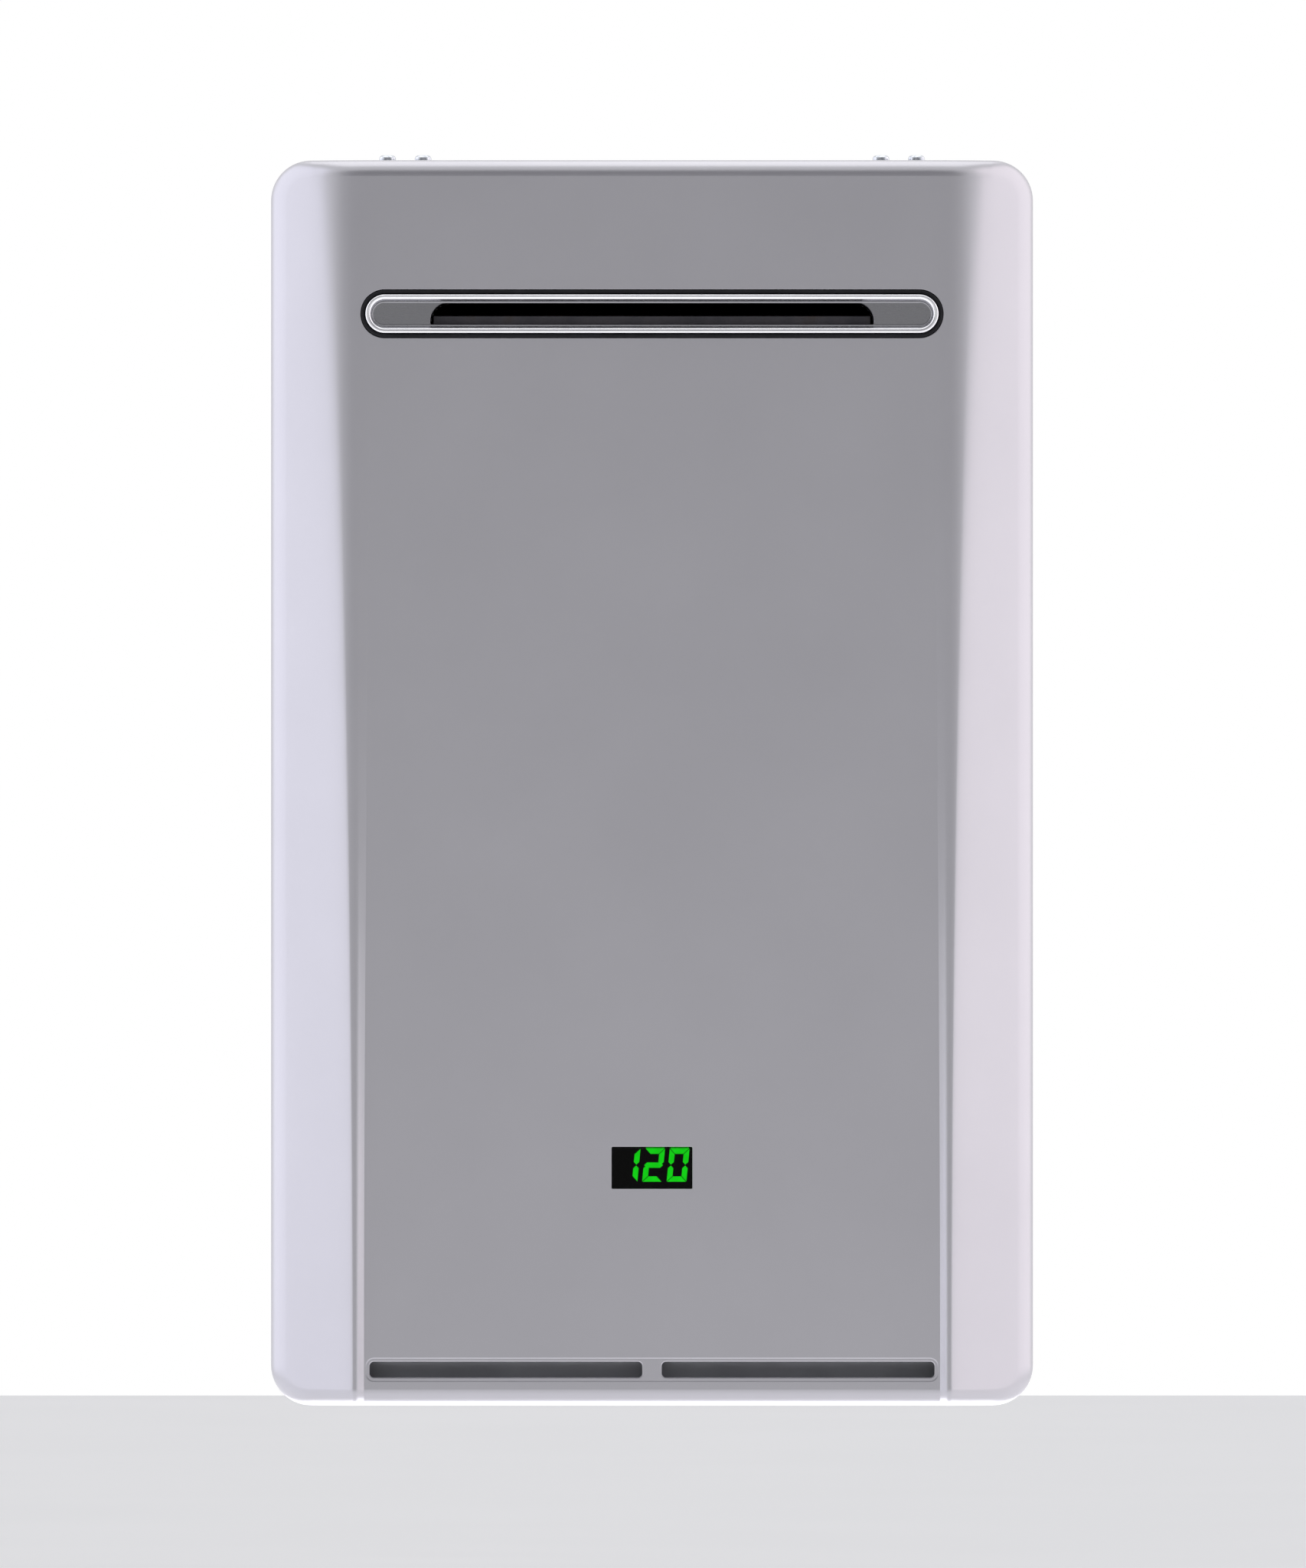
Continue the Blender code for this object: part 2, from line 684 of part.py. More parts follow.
# The flue outlet: a dished rim with the mouth in its floor, a duct behind and a gasket round it
GASKET_WALL = 1.7 * MM
GASKET_PROUD = 0.6 * MM
GASKET_DEPTH = 8 * MM
RIM_PROUD = 2 * MM
RIM_DEPTH = 9 * MM
RIM_ROUND = 0.9 * MM
RIM_SLOPE = 1.6 * MM
DISH_DEPTH = 5 * MM
MOUTH_FROM_END = 32.5 * MM
MOUTH_HEIGHT = 10.4 * MM
MOUTH_HIGH_CORNER = 8.8 * MM
MOUTH_LOW_CORNER = 1.2 * MM
BAFFLE_SET_BACK = 6 * MM
BAFFLE_HEIGHT = 3.9 * MM
BAFFLE_FOOT = 22 * MM
BAFFLE_SHEET = 1 * MM

MOUTH_WIDTH = OUTLET_WIDTH - 2 * MOUTH_FROM_END
RIM_INSET = FIT + GASKET_WALL + FIT
RIM_Y = PANEL_Y - RIM_PROUD
DISH_Y = RIM_Y + DISH_DEPTH
DUCT_REAR = STACK_FRONT - FIT


def stack_outline(inset=0):
    """The stack seen from above, drawn in by an inset."""
    half_wide = STACK_WIDTH / 2 - inset
    half_deep = STACK_DEPTH / 2 - inset
    return about((0, STACK_Y), half_wide, half_deep, STACK_CORNER - inset, STACK_STEPS)


def outlet_outline(inset):
    """The stadium of the flue outlet, drawn in by an inset."""
    half = OUTLET_HEIGHT / 2 - inset
    return about((0, OUTLET_Z), OUTLET_WIDTH / 2 - inset, half, half, OUTLET_STEPS)


def mouth_outline(growth=0):
    """The mouth: well-rounded upper corners and nearly square lower ones."""
    low, high = MOUTH_LOW_CORNER + growth, MOUTH_HIGH_CORNER + growth
    half_wide = MOUTH_WIDTH / 2 + growth
    half_high = MOUTH_HEIGHT / 2 + growth
    return about((0, OUTLET_Z), half_wide, half_high, (low, high, high, low), OUTLET_STEPS)


def make_flue_hood(frame):
    """The rim, its dish and the duct to the collector, pressed as one piece."""
    slope = RIM_INSET + RIM_ROUND + RIM_ROUND
    stations = [
        (mouth_outline(), DUCT_REAR),
        (mouth_outline(), DISH_Y),
        (outlet_outline(slope + RIM_SLOPE), DISH_Y),
        (outlet_outline(slope), RIM_Y + RIM_ROUND / 2),
        (outlet_outline(RIM_INSET + RIM_ROUND), RIM_Y),
        (outlet_outline(RIM_INSET), RIM_Y + RIM_ROUND),
        (outlet_outline(RIM_INSET), RIM_Y + RIM_DEPTH),
        (outlet_outline(RIM_INSET + SHEET), RIM_Y + RIM_DEPTH),
        (outlet_outline(RIM_INSET + SHEET), DISH_Y + SHEET),
        (mouth_outline(SHEET), DISH_Y + SHEET),
        (mouth_outline(SHEET), DUCT_REAR),
    ]
    rings = [ring("Y", outline, y) for outline, y in stations]
    return loft("flue_hood", rings, "stainless_steel", frame, closed=True)


def make_flue_gasket(frame):
    front = PANEL_Y - GASKET_PROUD
    stations = [(FIT, front), (FIT, front + GASKET_DEPTH)]
    stations += [(FIT + GASKET_WALL, y) for _, y in stations[::-1]]
    rings = [ring("Y", outlet_outline(inset), y) for inset, y in stations]
    return loft("flue_gasket", rings, "black_rubber", frame, closed=True)


def make_flue_baffle(frame):
    """A small dark angle on the duct's floor that keeps rain from running in."""
    front = DISH_Y + BAFFLE_SET_BACK
    floor = OUTLET_Z - MOUTH_HEIGHT / 2 + FIT
    path = [(front, floor + BAFFLE_HEIGHT), (front, floor), (front + BAFFLE_FOOT, floor)]
    half = MOUTH_WIDTH / 2 - MOUTH_LOW_CORNER - FIT
    return prism("flue_baffle", bent_sheet(path, BAFFLE_SHEET), "X", -half, half, "dark_steel", frame)


def make_flue_collector(frame):
    """The hood over the finned block: full size at its foot, drawn in towards the front on top."""
    def crown(inset):
        low = (inset - STACK_WIDTH / 2, STACK_FRONT + inset)
        high = (STACK_WIDTH / 2 - inset, STACK_FRONT + COLLECTOR_CROWN - inset)
        return rounded(low, high, STACK_CORNER - inset, STACK_STEPS)

    skirt = COLLECTOR_FOOT + COLLECTOR_SKIRT
    rings = [
        ring("Z", crown(0), COLLECTOR_TOP),
        ring("Z", stack_outline(), skirt),
        ring("Z", stack_outline(), COLLECTOR_FOOT),
        ring("Z", stack_outline(SHEET), COLLECTOR_FOOT),
        ring("Z", stack_outline(SHEET), skirt),
        ring("Z", crown(SHEET), COLLECTOR_TOP - SHEET),
    ]
    collector = loft("flue_collector", rings, "stainless_steel", frame)
    start, end = STACK_FRONT - OVERRUN, STACK_FRONT + SHEET + OVERRUN
    return cut(collector, prism("cut_flue_port", mouth_outline(), "Y", start, end))


# The finned block: fins on one serpentine tube, in a copper wall that the tube passes through
FIN_COUNT = 8
FIN_THICKNESS = 0.8 * MM
FIN_MARGIN = 8 * MM
FIN_FROM_SIDE = 10 * MM
TUBE_RADIUS = 7 * MM
TUBE_PITCH = 27 * MM
TUBE_FROM_EDGE = 8 * MM
TUBE_BEND = 13 * MM
TUBE_REACH = 14 * MM
TUBE_STUB = 6 * MM

TUBE_COUNT = 2 * int((STACK_DEPTH - 2 * TUBE_FROM_EDGE) / (2 * TUBE_PITCH))
TUBE_Z = (FIN_TOP + FIN_FOOT) / 2
TUBE_Y = [STACK_Y + (i - (TUBE_COUNT - 1) / 2) * TUBE_PITCH for i in range(TUBE_COUNT)]
STUB_X = STACK_WIDTH / 2 + TUBE_STUB


def make_exchanger_wall(frame):
    rings = [
        ring("Z", stack_outline(), FIN_TOP),
        ring("Z", stack_outline(), FIN_FOOT),
        ring("Z", stack_outline(COPPER_SHEET), FIN_FOOT),
        ring("Z", stack_outline(COPPER_SHEET), FIN_TOP),
    ]
    wall = loft("exchanger_wall", rings, "copper", frame, closed=True)
    past = STACK_WIDTH / 2 + OVERRUN
    holes = [rod(f"tube_hole_{number}", TUBE_RADIUS + RUN, "X", (y, TUBE_Z), -past, past, sides=MIDDLE_SIDES)
             for number, y in enumerate(TUBE_Y)]
    return cut(wall, joined("cut_tube_holes", holes))


def make_fin_block(frame):
    span = STACK_WIDTH - 2 * FIN_FROM_SIDE
    reach = COPPER_SHEET + FIT
    fins = []
    for i in range(FIN_COUNT):
        x = FIN_FROM_SIDE - STACK_WIDTH / 2 + span * (i + 0.5) / FIN_COUNT
        low = (x - FIN_THICKNESS / 2, STACK_FRONT + reach, FIN_FOOT + FIN_MARGIN)
        high = (x + FIN_THICKNESS / 2, STACK_BACK - reach, FIN_TOP - FIN_MARGIN)
        fins.append(block(f"fin_{i}", low, high))
    turn = STACK_WIDTH / 2 + TUBE_REACH
    route = [(STUB_X, TUBE_Y[0], TUBE_Z)]
    for number, (first, second) in enumerate(zip(TUBE_Y, TUBE_Y[1:])):
        end = turn if number % 2 else -turn
        route += [(end, first, TUBE_Z), (end, second, TUBE_Z)]
    route.append((STUB_X, TUBE_Y[-1], TUBE_Z))
    block_of_fins = bar("fin_block", filleted(route, TUBE_BEND), TUBE_RADIUS, "copper", frame)
    return fuse(block_of_fins, joined("fins", fins))


# The combustion shell and the copper coil wound round it
COIL_PITCH = 28 * MM
COIL_ROOM = 60 * MM
COIL_RISE = 20 * MM
COIL_BEND = 10 * MM
COIL_EXIT_BEND = 8 * MM
COIL_LEAD = 16 * MM
COIL_OFFSET = 13 * MM

COIL_TURNS = 1 + int((SHELL_TOP - SHELL_FOOT - COIL_ROOM) / COIL_PITCH)
COIL_X = STACK_WIDTH / 2 + FIT + TUBE_RADIUS
COIL_START = (COIL_X, STACK_Y, SHELL_FOOT - COIL_LEAD)


def make_combustion_shell(frame):
    rings = [
        ring("Z", stack_outline(), SHELL_TOP),
        ring("Z", stack_outline(), SHELL_FOOT),
        ring("Z", stack_outline(COPPER_SHEET), SHELL_FOOT),
        ring("Z", stack_outline(COPPER_SHEET), SHELL_TOP),
    ]
    return loft("combustion_shell", rings, "copper", frame, closed=True)


def coil_route():
    """Up beside the shell, round it on a rising rounded rectangle, then up and into the first tube."""
    lap = stack_outline(-(FIT + TUBE_RADIUS))
    corner = STACK_STEPS + 1
    laps = lap[corner:] + lap * (COIL_TURNS - 1) + lap[:corner]
    base = SHELL_FOOT + COIL_RISE
    around = sum(math.dist(a, b) for a, b in zip(lap, lap[1:] + lap[:1]))
    gone = math.dist((COIL_X, STACK_Y), laps[0])
    turns = [(*laps[0], base + COIL_PITCH * gone / around)]
    for before, place in zip(laps, laps[1:]):
        gone += math.dist(before, place)
        turns.append((*place, base + COIL_PITCH * gone / around))
    start = filleted([COIL_START, (COIL_X, STACK_Y, base), turns[0]], COIL_BEND)
    leave = Vector(turns[-1])
    side = STUB_X + COIL_OFFSET
    ahead = (TUBE_Y[0] + leave.y) / 2
    rise = (leave.z + TUBE_Z) / 2
    finish = filleted(
        [leave, (COIL_X, ahead, leave.z), (side, TUBE_Y[0], rise), (side, TUBE_Y[0], TUBE_Z),
         (STUB_X + FIT, TUBE_Y[0], TUBE_Z)],
        COIL_EXIT_BEND,
    )
    return start[:-1] + turns[:-1] + finish


def make_exchanger_coil(frame):
    coil = tube_curve("exchanger_coil", coil_route(), TUBE_RADIUS, TUBE_SIDES)
    coil.data.use_fill_caps = True
    paint(coil, "copper")
    coil.parent = frame
    return coil


# The burner box, its burners, the gas manifold in front and the two electrodes
BURNER_PITCH = 30 * MM
BURNER_FROM_SIDE = 26 * MM
BURNER_BAR_WIDTH = 13 * MM
BURNER_BAR_HEIGHT = 46 * MM
BURNER_BAR_ROUND = 4.3 * MM
BURNER_CLEAR = 8 * MM
CROSS_BAR = 6 * MM
CROSS_BAR_DEPTH = 14 * MM
MANIFOLD_RADIUS = 8 * MM
MANIFOLD_RISE = 24 * MM
MANIFOLD_FROM_BOX = 15 * MM
MANIFOLD_PAST = 14 * MM
NOZZLE_RADIUS = 3 * MM
NOZZLE_REACH = 4 * MM
ELECTRODE_FROM_MIDDLE = 24 * MM
ELECTRODE_DROP = 14 * MM
ELECTRODE_RADIUS = 4 * MM
ELECTRODE_FLANGE = 7 * MM
ELECTRODE_FLANGE_DEPTH = 2.5 * MM
ELECTRODE_TAIL = 14 * MM
ELECTRODE_NOSE = 9 * MM
WIRE_RADIUS = 1.1 * MM
WIRE_LENGTH = 18 * MM

BURNER_COUNT = 1 + int((STACK_WIDTH - 2 * BURNER_FROM_SIDE) / BURNER_PITCH)
MANIFOLD_Y = STACK_FRONT - MANIFOLD_FROM_BOX
MANIFOLD_Z = BURNER_FOOT + MANIFOLD_RISE
MANIFOLD_HALF = (BURNER_COUNT - 1) * BURNER_PITCH / 2 + MANIFOLD_PAST
BURNER_X = [(i - (BURNER_COUNT - 1) / 2) * BURNER_PITCH for i in range(BURNER_COUNT)]
ELECTRODE_Z = BURNER_TOP - ELECTRODE_DROP

# The blower: a scroll housing, a sirocco impeller and a motor behind
FAN_FROM_SIDE = 130 * MM
FAN_RISE = 60 * MM
FAN_SET_BACK = 6 * MM
FAN_DEPTH = 50 * MM
FAN_WALL = 1.6 * MM
SCROLL_START = 50 * MM
SCROLL_END = 70 * MM
SCROLL_STEPS = 15
TONGUE_ANGLE = 60
FAN_INLET = 31 * MM
IMPELLER_RADIUS = 42 * MM
BLADE_DEPTH = 8 * MM
BLADE_COUNT = 16
BLADE_SHEET = 0.9 * MM
BLADE_STEPS = 2
BLADE_SWEEP = math.radians(16)
IMPELLER_GAP = 3 * MM
PLATE_THICKNESS = 1.6 * MM
HUB_RADIUS = 9 * MM
HUB_LENGTH = 24 * MM
SHAFT_RADIUS = 3 * MM
SHAFT_TAIL = 18 * MM
MOTOR_RADIUS = 30 * MM
MOTOR_LENGTH = 38 * MM
MOTOR_ROUND = 4 * MM

FAN_X = FAN_FROM_SIDE - SIDE
FAN_Z = BURNER_FOOT - FIT - FAN_RISE
FAN_FRONT = STACK_FRONT + FAN_SET_BACK
FAN_BACK = FAN_FRONT + FAN_DEPTH


def scroll_outline(inset, top):
    """The scroll seen from the front, its outlet running up to top, drawn in by an inset."""
    sweep = math.radians(360 - TONGUE_ANGLE)
    points = []
    for i in range(SCROLL_STEPS + 1):
        turn = math.radians(TONGUE_ANGLE) + sweep * i / SCROLL_STEPS
        radius = SCROLL_START + (SCROLL_END - SCROLL_START) * i / SCROLL_STEPS - inset
        points.append((FAN_X + radius * math.cos(turn), FAN_Z + radius * math.sin(turn)))
    tongue = points[0][0] + inset
    points[0] = (tongue, points[0][1])
    return points + [(points[-1][0], top), (tongue, top)]


def fan_port():
    """The scroll's outlet as (left, right, front, back), inside its walls."""
    outline = scroll_outline(FAN_WALL, FAN_Z + FAN_RISE)
    return outline[-1][0], outline[-2][0], FAN_FRONT + FAN_WALL, FAN_BACK - FAN_WALL


def make_burner_box(frame):
    rings = [
        ring("Z", stack_outline(), BURNER_FOOT),
        ring("Z", stack_outline(), BURNER_TOP),
        ring("Z", stack_outline(SHEET), BURNER_TOP),
        ring("Z", stack_outline(SHEET), BURNER_FOOT + SHEET),
    ]
    box = loft("burner_box", rings, "galvanised_steel", frame)
    left, right, front, back = fan_port()
    port = block("cut_air_port", (left, front, BURNER_FOOT - OVERRUN),
                 (right, back, BURNER_FOOT + SHEET + OVERRUN))
    start, end = STACK_FRONT - OVERRUN, STACK_FRONT + SHEET + OVERRUN
    holes = [
        rod(f"nozzle_hole_{i}", NOZZLE_RADIUS + RUN, "Y", (x, MANIFOLD_Z), start, end,
            sides=SMALL_SIDES)
        for i, x in enumerate(BURNER_X)
    ]
    holes += [
        rod(f"electrode_hole_{side}", ELECTRODE_RADIUS + FIT, "Y",
            (side * ELECTRODE_FROM_MIDDLE, ELECTRODE_Z), start, end, sides=SMALL_SIDES)
        for side in (-1, 1)
    ]
    return cut(box, port, joined("cut_front_holes", holes))


def make_burner_rack(frame):
    """Upright burners in a row on two cross bars, which stand on the box's floor."""
    foot = BURNER_FOOT + SHEET + FIT
    middle = foot + CROSS_BAR / 2 + BURNER_BAR_HEIGHT / 2
    front, back = STACK_FRONT + BURNER_CLEAR, STACK_BACK - BURNER_CLEAR
    outlines = [
        about((x, middle), BURNER_BAR_WIDTH / 2, BURNER_BAR_HEIGHT / 2, BURNER_BAR_ROUND, 1)
        for x in BURNER_X
    ]
    half = BURNER_X[-1] + BURNER_BAR_WIDTH
    rack = block("burner_rack", (-half, front + BITE, foot),
                 (half, front + CROSS_BAR_DEPTH, foot + CROSS_BAR), "stainless_steel", frame)
    rear_bar = block("rear_cross_bar", (-half, back - CROSS_BAR_DEPTH, foot),
                     (half, back - BITE, foot + CROSS_BAR))
    return fuse(rack, prisms("burner_bars", outlines, "Y", front, back), rear_bar)


def make_gas_manifold(frame):
    centre = (MANIFOLD_Y, MANIFOLD_Z)
    manifold = rod("gas_manifold", MANIFOLD_RADIUS, "X", centre, -MANIFOLD_HALF, MANIFOLD_HALF,
                   "cast_aluminium", frame, SMALL_SIDES)
    nozzles = [
        rod(f"nozzle_{i}", NOZZLE_RADIUS, "Y", (x, MANIFOLD_Z), MANIFOLD_Y,
            STACK_FRONT + NOZZLE_REACH, sides=SMALL_SIDES)
        for i, x in enumerate(BURNER_X)
    ]
    return fuse(manifold, joined("nozzles", nozzles))


def make_electrode(name, side, frame):
    """A ceramic body through the burner box's front with a wire over the burners."""
    seat = STACK_FRONT - FIT
    flange = seat - ELECTRODE_FLANGE_DEPTH
    nose = seat + ELECTRODE_NOSE
    profile = [
        (0, flange - ELECTRODE_TAIL), (ELECTRODE_RADIUS, flange - ELECTRODE_TAIL),
        (ELECTRODE_RADIUS, flange), (ELECTRODE_FLANGE, flange), (ELECTRODE_FLANGE, seat),
        (ELECTRODE_RADIUS, seat), (ELECTRODE_RADIUS, nose), (WIRE_RADIUS, nose),
        (WIRE_RADIUS, nose + WIRE_LENGTH), (0, nose + WIRE_LENGTH),
    ]
    place = (side * ELECTRODE_FROM_MIDDLE, ELECTRODE_Z)
    return turned(name, profile, "Y", place, "white_ceramic", frame, SMALL_SIDES)


def make_fan_housing(frame):
    top = FAN_Z + FAN_RISE
    housing = prism("fan_housing", scroll_outline(0, top), "Y", FAN_FRONT, FAN_BACK,
                    "galvanised_steel", frame)
    hollow = prism("cut_scroll", scroll_outline(FAN_WALL, top + OVERRUN), "Y",
                   FAN_FRONT + FAN_WALL, FAN_BACK - FAN_WALL)
    centre = (FAN_X, FAN_Z)
    inlet = rod("cut_fan_inlet", FAN_INLET, "Y", centre, FAN_FRONT - OVERRUN,
                FAN_FRONT + FAN_WALL + OVERRUN)
    bearing = rod("cut_shaft_hole", SHAFT_RADIUS + RUN, "Y", centre, FAN_BACK - FAN_WALL - OVERRUN,
                  FAN_BACK + OVERRUN, sides=SMALL_SIDES)
    return cut(housing, hollow, inlet, bearing)


def make_fan_motor(frame):
    """The motor on the housing's rear, bored for the impeller's shaft."""
    front = FAN_BACK + FIT
    back = front + MOTOR_LENGTH
    bore = SHAFT_RADIUS + FIT
    end = front + SHAFT_TAIL
    profile = [
        (0, end), (bore, end), (bore, front), (MOTOR_RADIUS, front),
        (MOTOR_RADIUS, back - MOTOR_ROUND), (MOTOR_RADIUS - MOTOR_ROUND, back), (0, back),
    ]
    return turned("fan_motor", profile, "Y", (FAN_X, FAN_Z), "black_plastic", frame)


def blade_outline(number):
    """One forward-curved blade, seen from the front."""
    path = []
    for i in range(BLADE_STEPS + 1):
        share = i / BLADE_STEPS
        radius = IMPELLER_RADIUS - BITE - BLADE_DEPTH * (1 - share)
        turn = math.tau * number / BLADE_COUNT + BLADE_SWEEP * share**2
        path.append((FAN_X + radius * math.cos(turn), FAN_Z + radius * math.sin(turn)))
    return bent_sheet(path, BLADE_SHEET)


def make_fan_impeller(frame):
    """A sirocco wheel: back plate, hub and shaft, a cage of curved blades and the front ring."""
    plate_back = FAN_BACK - FAN_WALL - IMPELLER_GAP
    plate_front = plate_back - PLATE_THICKNESS
    ring_front = FAN_FRONT + FAN_WALL + IMPELLER_GAP
    ring_back = ring_front + PLATE_THICKNESS
    tip = FAN_BACK + SHAFT_TAIL - RUN
    profile = [
        (0, plate_front - HUB_LENGTH), (HUB_RADIUS, plate_front - HUB_LENGTH),
        (HUB_RADIUS, plate_front), (IMPELLER_RADIUS, plate_front), (IMPELLER_RADIUS, plate_back),
        (SHAFT_RADIUS, plate_back), (SHAFT_RADIUS, tip), (0, tip),
    ]
    centre = (FAN_X, FAN_Z)
    impeller = turned("fan_impeller", profile, "Y", centre, "cast_aluminium", frame)
    inner = IMPELLER_RADIUS - BLADE_DEPTH - BLADE_SHEET
    hoop = [(inner, ring_front), (IMPELLER_RADIUS, ring_front), (IMPELLER_RADIUS, ring_back),
            (inner, ring_back)]
    blades = prisms("blades", [blade_outline(i) for i in range(BLADE_COUNT)], "Y",
                    ring_front + BITE, plate_back - BITE)
    fuse(impeller, turned("front_hoop", hoop, "Y", centre), blades)
    move_origin(impeller, (FAN_X, (plate_front + plate_back) / 2, FAN_Z))
    return impeller


# The recessed bottom: a plate above the lower edge, with a skirt behind the cover's cavity
RECESS = 36 * MM
SKIRT_FROM_SHOULDER = 6 * MM
FITTING_CLEAR = 8 * MM

PLATE_LOW = BOTTOM + RECESS
PLATE_TOP = PLATE_LOW + SHEET
SKIRT_Y = SHOULDER_Y + SKIRT_FROM_SHOULDER
FITTING_END = BOTTOM + FITTING_CLEAR

# Pipe fittings through the plate, with their grommets
THREAD_RADIUS = 13.2 * MM
THREAD_BORE = 9.5 * MM
COLLAR_RADIUS = 18 * MM
COLLAR_HEIGHT = 5 * MM
GROMMET_WALL = 2 * MM
GROMMET_LIP = 2.5 * MM
GROMMET_LIP_HEIGHT = 1.5 * MM
COLD_FROM_SIDE = 60 * MM
COLD_FROM_STACK = 12 * MM
HOT_FROM_SIDE = 30 * MM
GAS_FROM_SIDE = 38 * MM
GAS_FROM_STACK = 10 * MM
WATER_ABOVE_PLATE = 26 * MM
FILTER_OFFSET = 34 * MM
FILTER_POCKET = 11.5 * MM
FILTER_BORE = 8.5 * MM
FILTER_DEPTH = 44 * MM
DRAIN_OFFSET = 30 * MM
DRAIN_POCKET = 8.5 * MM
DRAIN_BORE = 5.5 * MM
DRAIN_DEPTH = 17 * MM
POCKET_ROOF = 3 * MM
POCKET_BELOW_PLATE = 5 * MM
BRIDGE_HALF = 6 * MM
BRIDGE_RISE = 9 * MM
CAP_HEIGHT = 12 * MM
CAP_STEM = 7 * MM
CAP_OVERHANG = 1.5 * MM
STRAINER_WALL = 1 * MM
STRAINER_SLOT = 5 * MM
STRAINER_END = 5 * MM

COLD_X = SIDE - COLD_FROM_SIDE
COLD_Y = STACK_Y - COLD_FROM_STACK
HOT_X = SIDE - HOT_FROM_SIDE
HOT_Y = TUBE_Y[-1]
GAS_X = GAS_FROM_SIDE - SIDE
GAS_Y = STACK_Y - GAS_FROM_STACK
WATER_TOP = PLATE_TOP + WATER_ABOVE_PLATE
POCKET_FOOT = PLATE_LOW - POCKET_BELOW_PLATE
LIP_TOP = PLATE_TOP + FIT + GROMMET_LIP_HEIGHT
PLATE_HOLE = THREAD_RADIUS + FIT + GROMMET_WALL + FIT


def hexagon(centre, across_flats):
    """A hexagon with the given width across its flats."""
    radius = across_flats / math.sqrt(3)
    return arc(centre, radius, 0, 300, 5)


def pipe_fitting(name, place, top, look, frame, pocket=None):
    """A threaded spigot with a hexagon above the plate. A pocket is (offset, radius, bore, depth)."""
    fitting = rod(name, THREAD_RADIUS, "Z", place, FITTING_END, top, look, frame, MIDDLE_SIDES)
    seat = LIP_TOP + FIT
    hexagonal = prism(f"{name}_hexagon", hexagon(place, 2 * COLLAR_RADIUS), "Z", seat,
                      seat + COLLAR_HEIGHT)
    fuse(fitting, hexagonal)
    if pocket:
        offset, radius, bore, depth = pocket
        x, y = place[0], place[1] - offset
        roof = POCKET_FOOT + depth
        low = seat + BRIDGE_RISE
        bridge = block(f"{name}_bridge", (x - BRIDGE_HALF, y, low),
                       (x + BRIDGE_HALF, place[1], low + 2 * BRIDGE_HALF))
        shell = rod(f"{name}_pocket", radius, "Z", (x, y), POCKET_FOOT,
                    max(roof, low + 2 * BRIDGE_HALF) + POCKET_ROOF, sides=MIDDLE_SIDES)
        fuse(fitting, bridge, shell)
        cut(fitting, rod(f"{name}_pocket_bore", bore, "Z", (x, y), POCKET_FOOT - OVERRUN, roof,
                         sides=MIDDLE_SIDES))
    cut(fitting, rod(f"{name}_bore", THREAD_BORE, "Z", place, FITTING_END - OVERRUN, top + OVERRUN,
                     sides=MIDDLE_SIDES))
    return fitting


FILTER_PLACE = (COLD_X, COLD_Y - FILTER_OFFSET)
DRAIN_PLACE = (HOT_X, HOT_Y - DRAIN_OFFSET)


def make_fittings(frame):
    """Cold inlet with its filter pocket, hot outlet with its drain pocket, and the gas inlet."""
    cold = pipe_fitting("cold_inlet", (COLD_X, COLD_Y), WATER_TOP, "brass", frame,
                        (FILTER_OFFSET, FILTER_POCKET, FILTER_BORE, FILTER_DEPTH))
    half = BRIDGE_HALF / 2
    middle = LIP_TOP + FIT + BRIDGE_RISE + BRIDGE_HALF
    passage = block("cut_filter_passage", (COLD_X - half, FILTER_PLACE[1], middle - half),
                    (COLD_X + half, COLD_Y, middle + half))
    cut(cold, passage)
    pipe_fitting("hot_outlet", (HOT_X, HOT_Y), WATER_TOP, "brass", frame,
                 (DRAIN_OFFSET, DRAIN_POCKET, DRAIN_BORE, DRAIN_DEPTH))
    pipe_fitting("gas_inlet", (GAS_X, GAS_Y), GAS_TOP, "brass", frame)


def make_grommet(name, place, frame):
    """A rubber ring in the plate's hole with a lip over and under the plate."""
    bore = THREAD_RADIUS + FIT
    waist = PLATE_HOLE - FIT
    lip = PLATE_HOLE + GROMMET_LIP
    low = PLATE_LOW - FIT - GROMMET_LIP_HEIGHT
    profile = [
        (bore, low), (lip, low), (lip, PLATE_LOW - FIT), (waist, PLATE_LOW - FIT),
        (waist, PLATE_TOP + FIT), (lip, PLATE_TOP + FIT), (lip, LIP_TOP), (bore, LIP_TOP),
    ]
    return turned(name, profile, "Z", place, "black_rubber", frame, MIDDLE_SIDES)


def cap_profile(bore, radius):
    """A plug's head and stem, hanging under a pocket."""
    seat = POCKET_FOOT - FIT
    head = radius - CAP_OVERHANG
    return [(0, seat - CAP_HEIGHT), (head, seat - CAP_HEIGHT), (head, seat), (bore - FIT, seat),
            (bore - FIT, seat + CAP_STEM), (0, seat + CAP_STEM)]


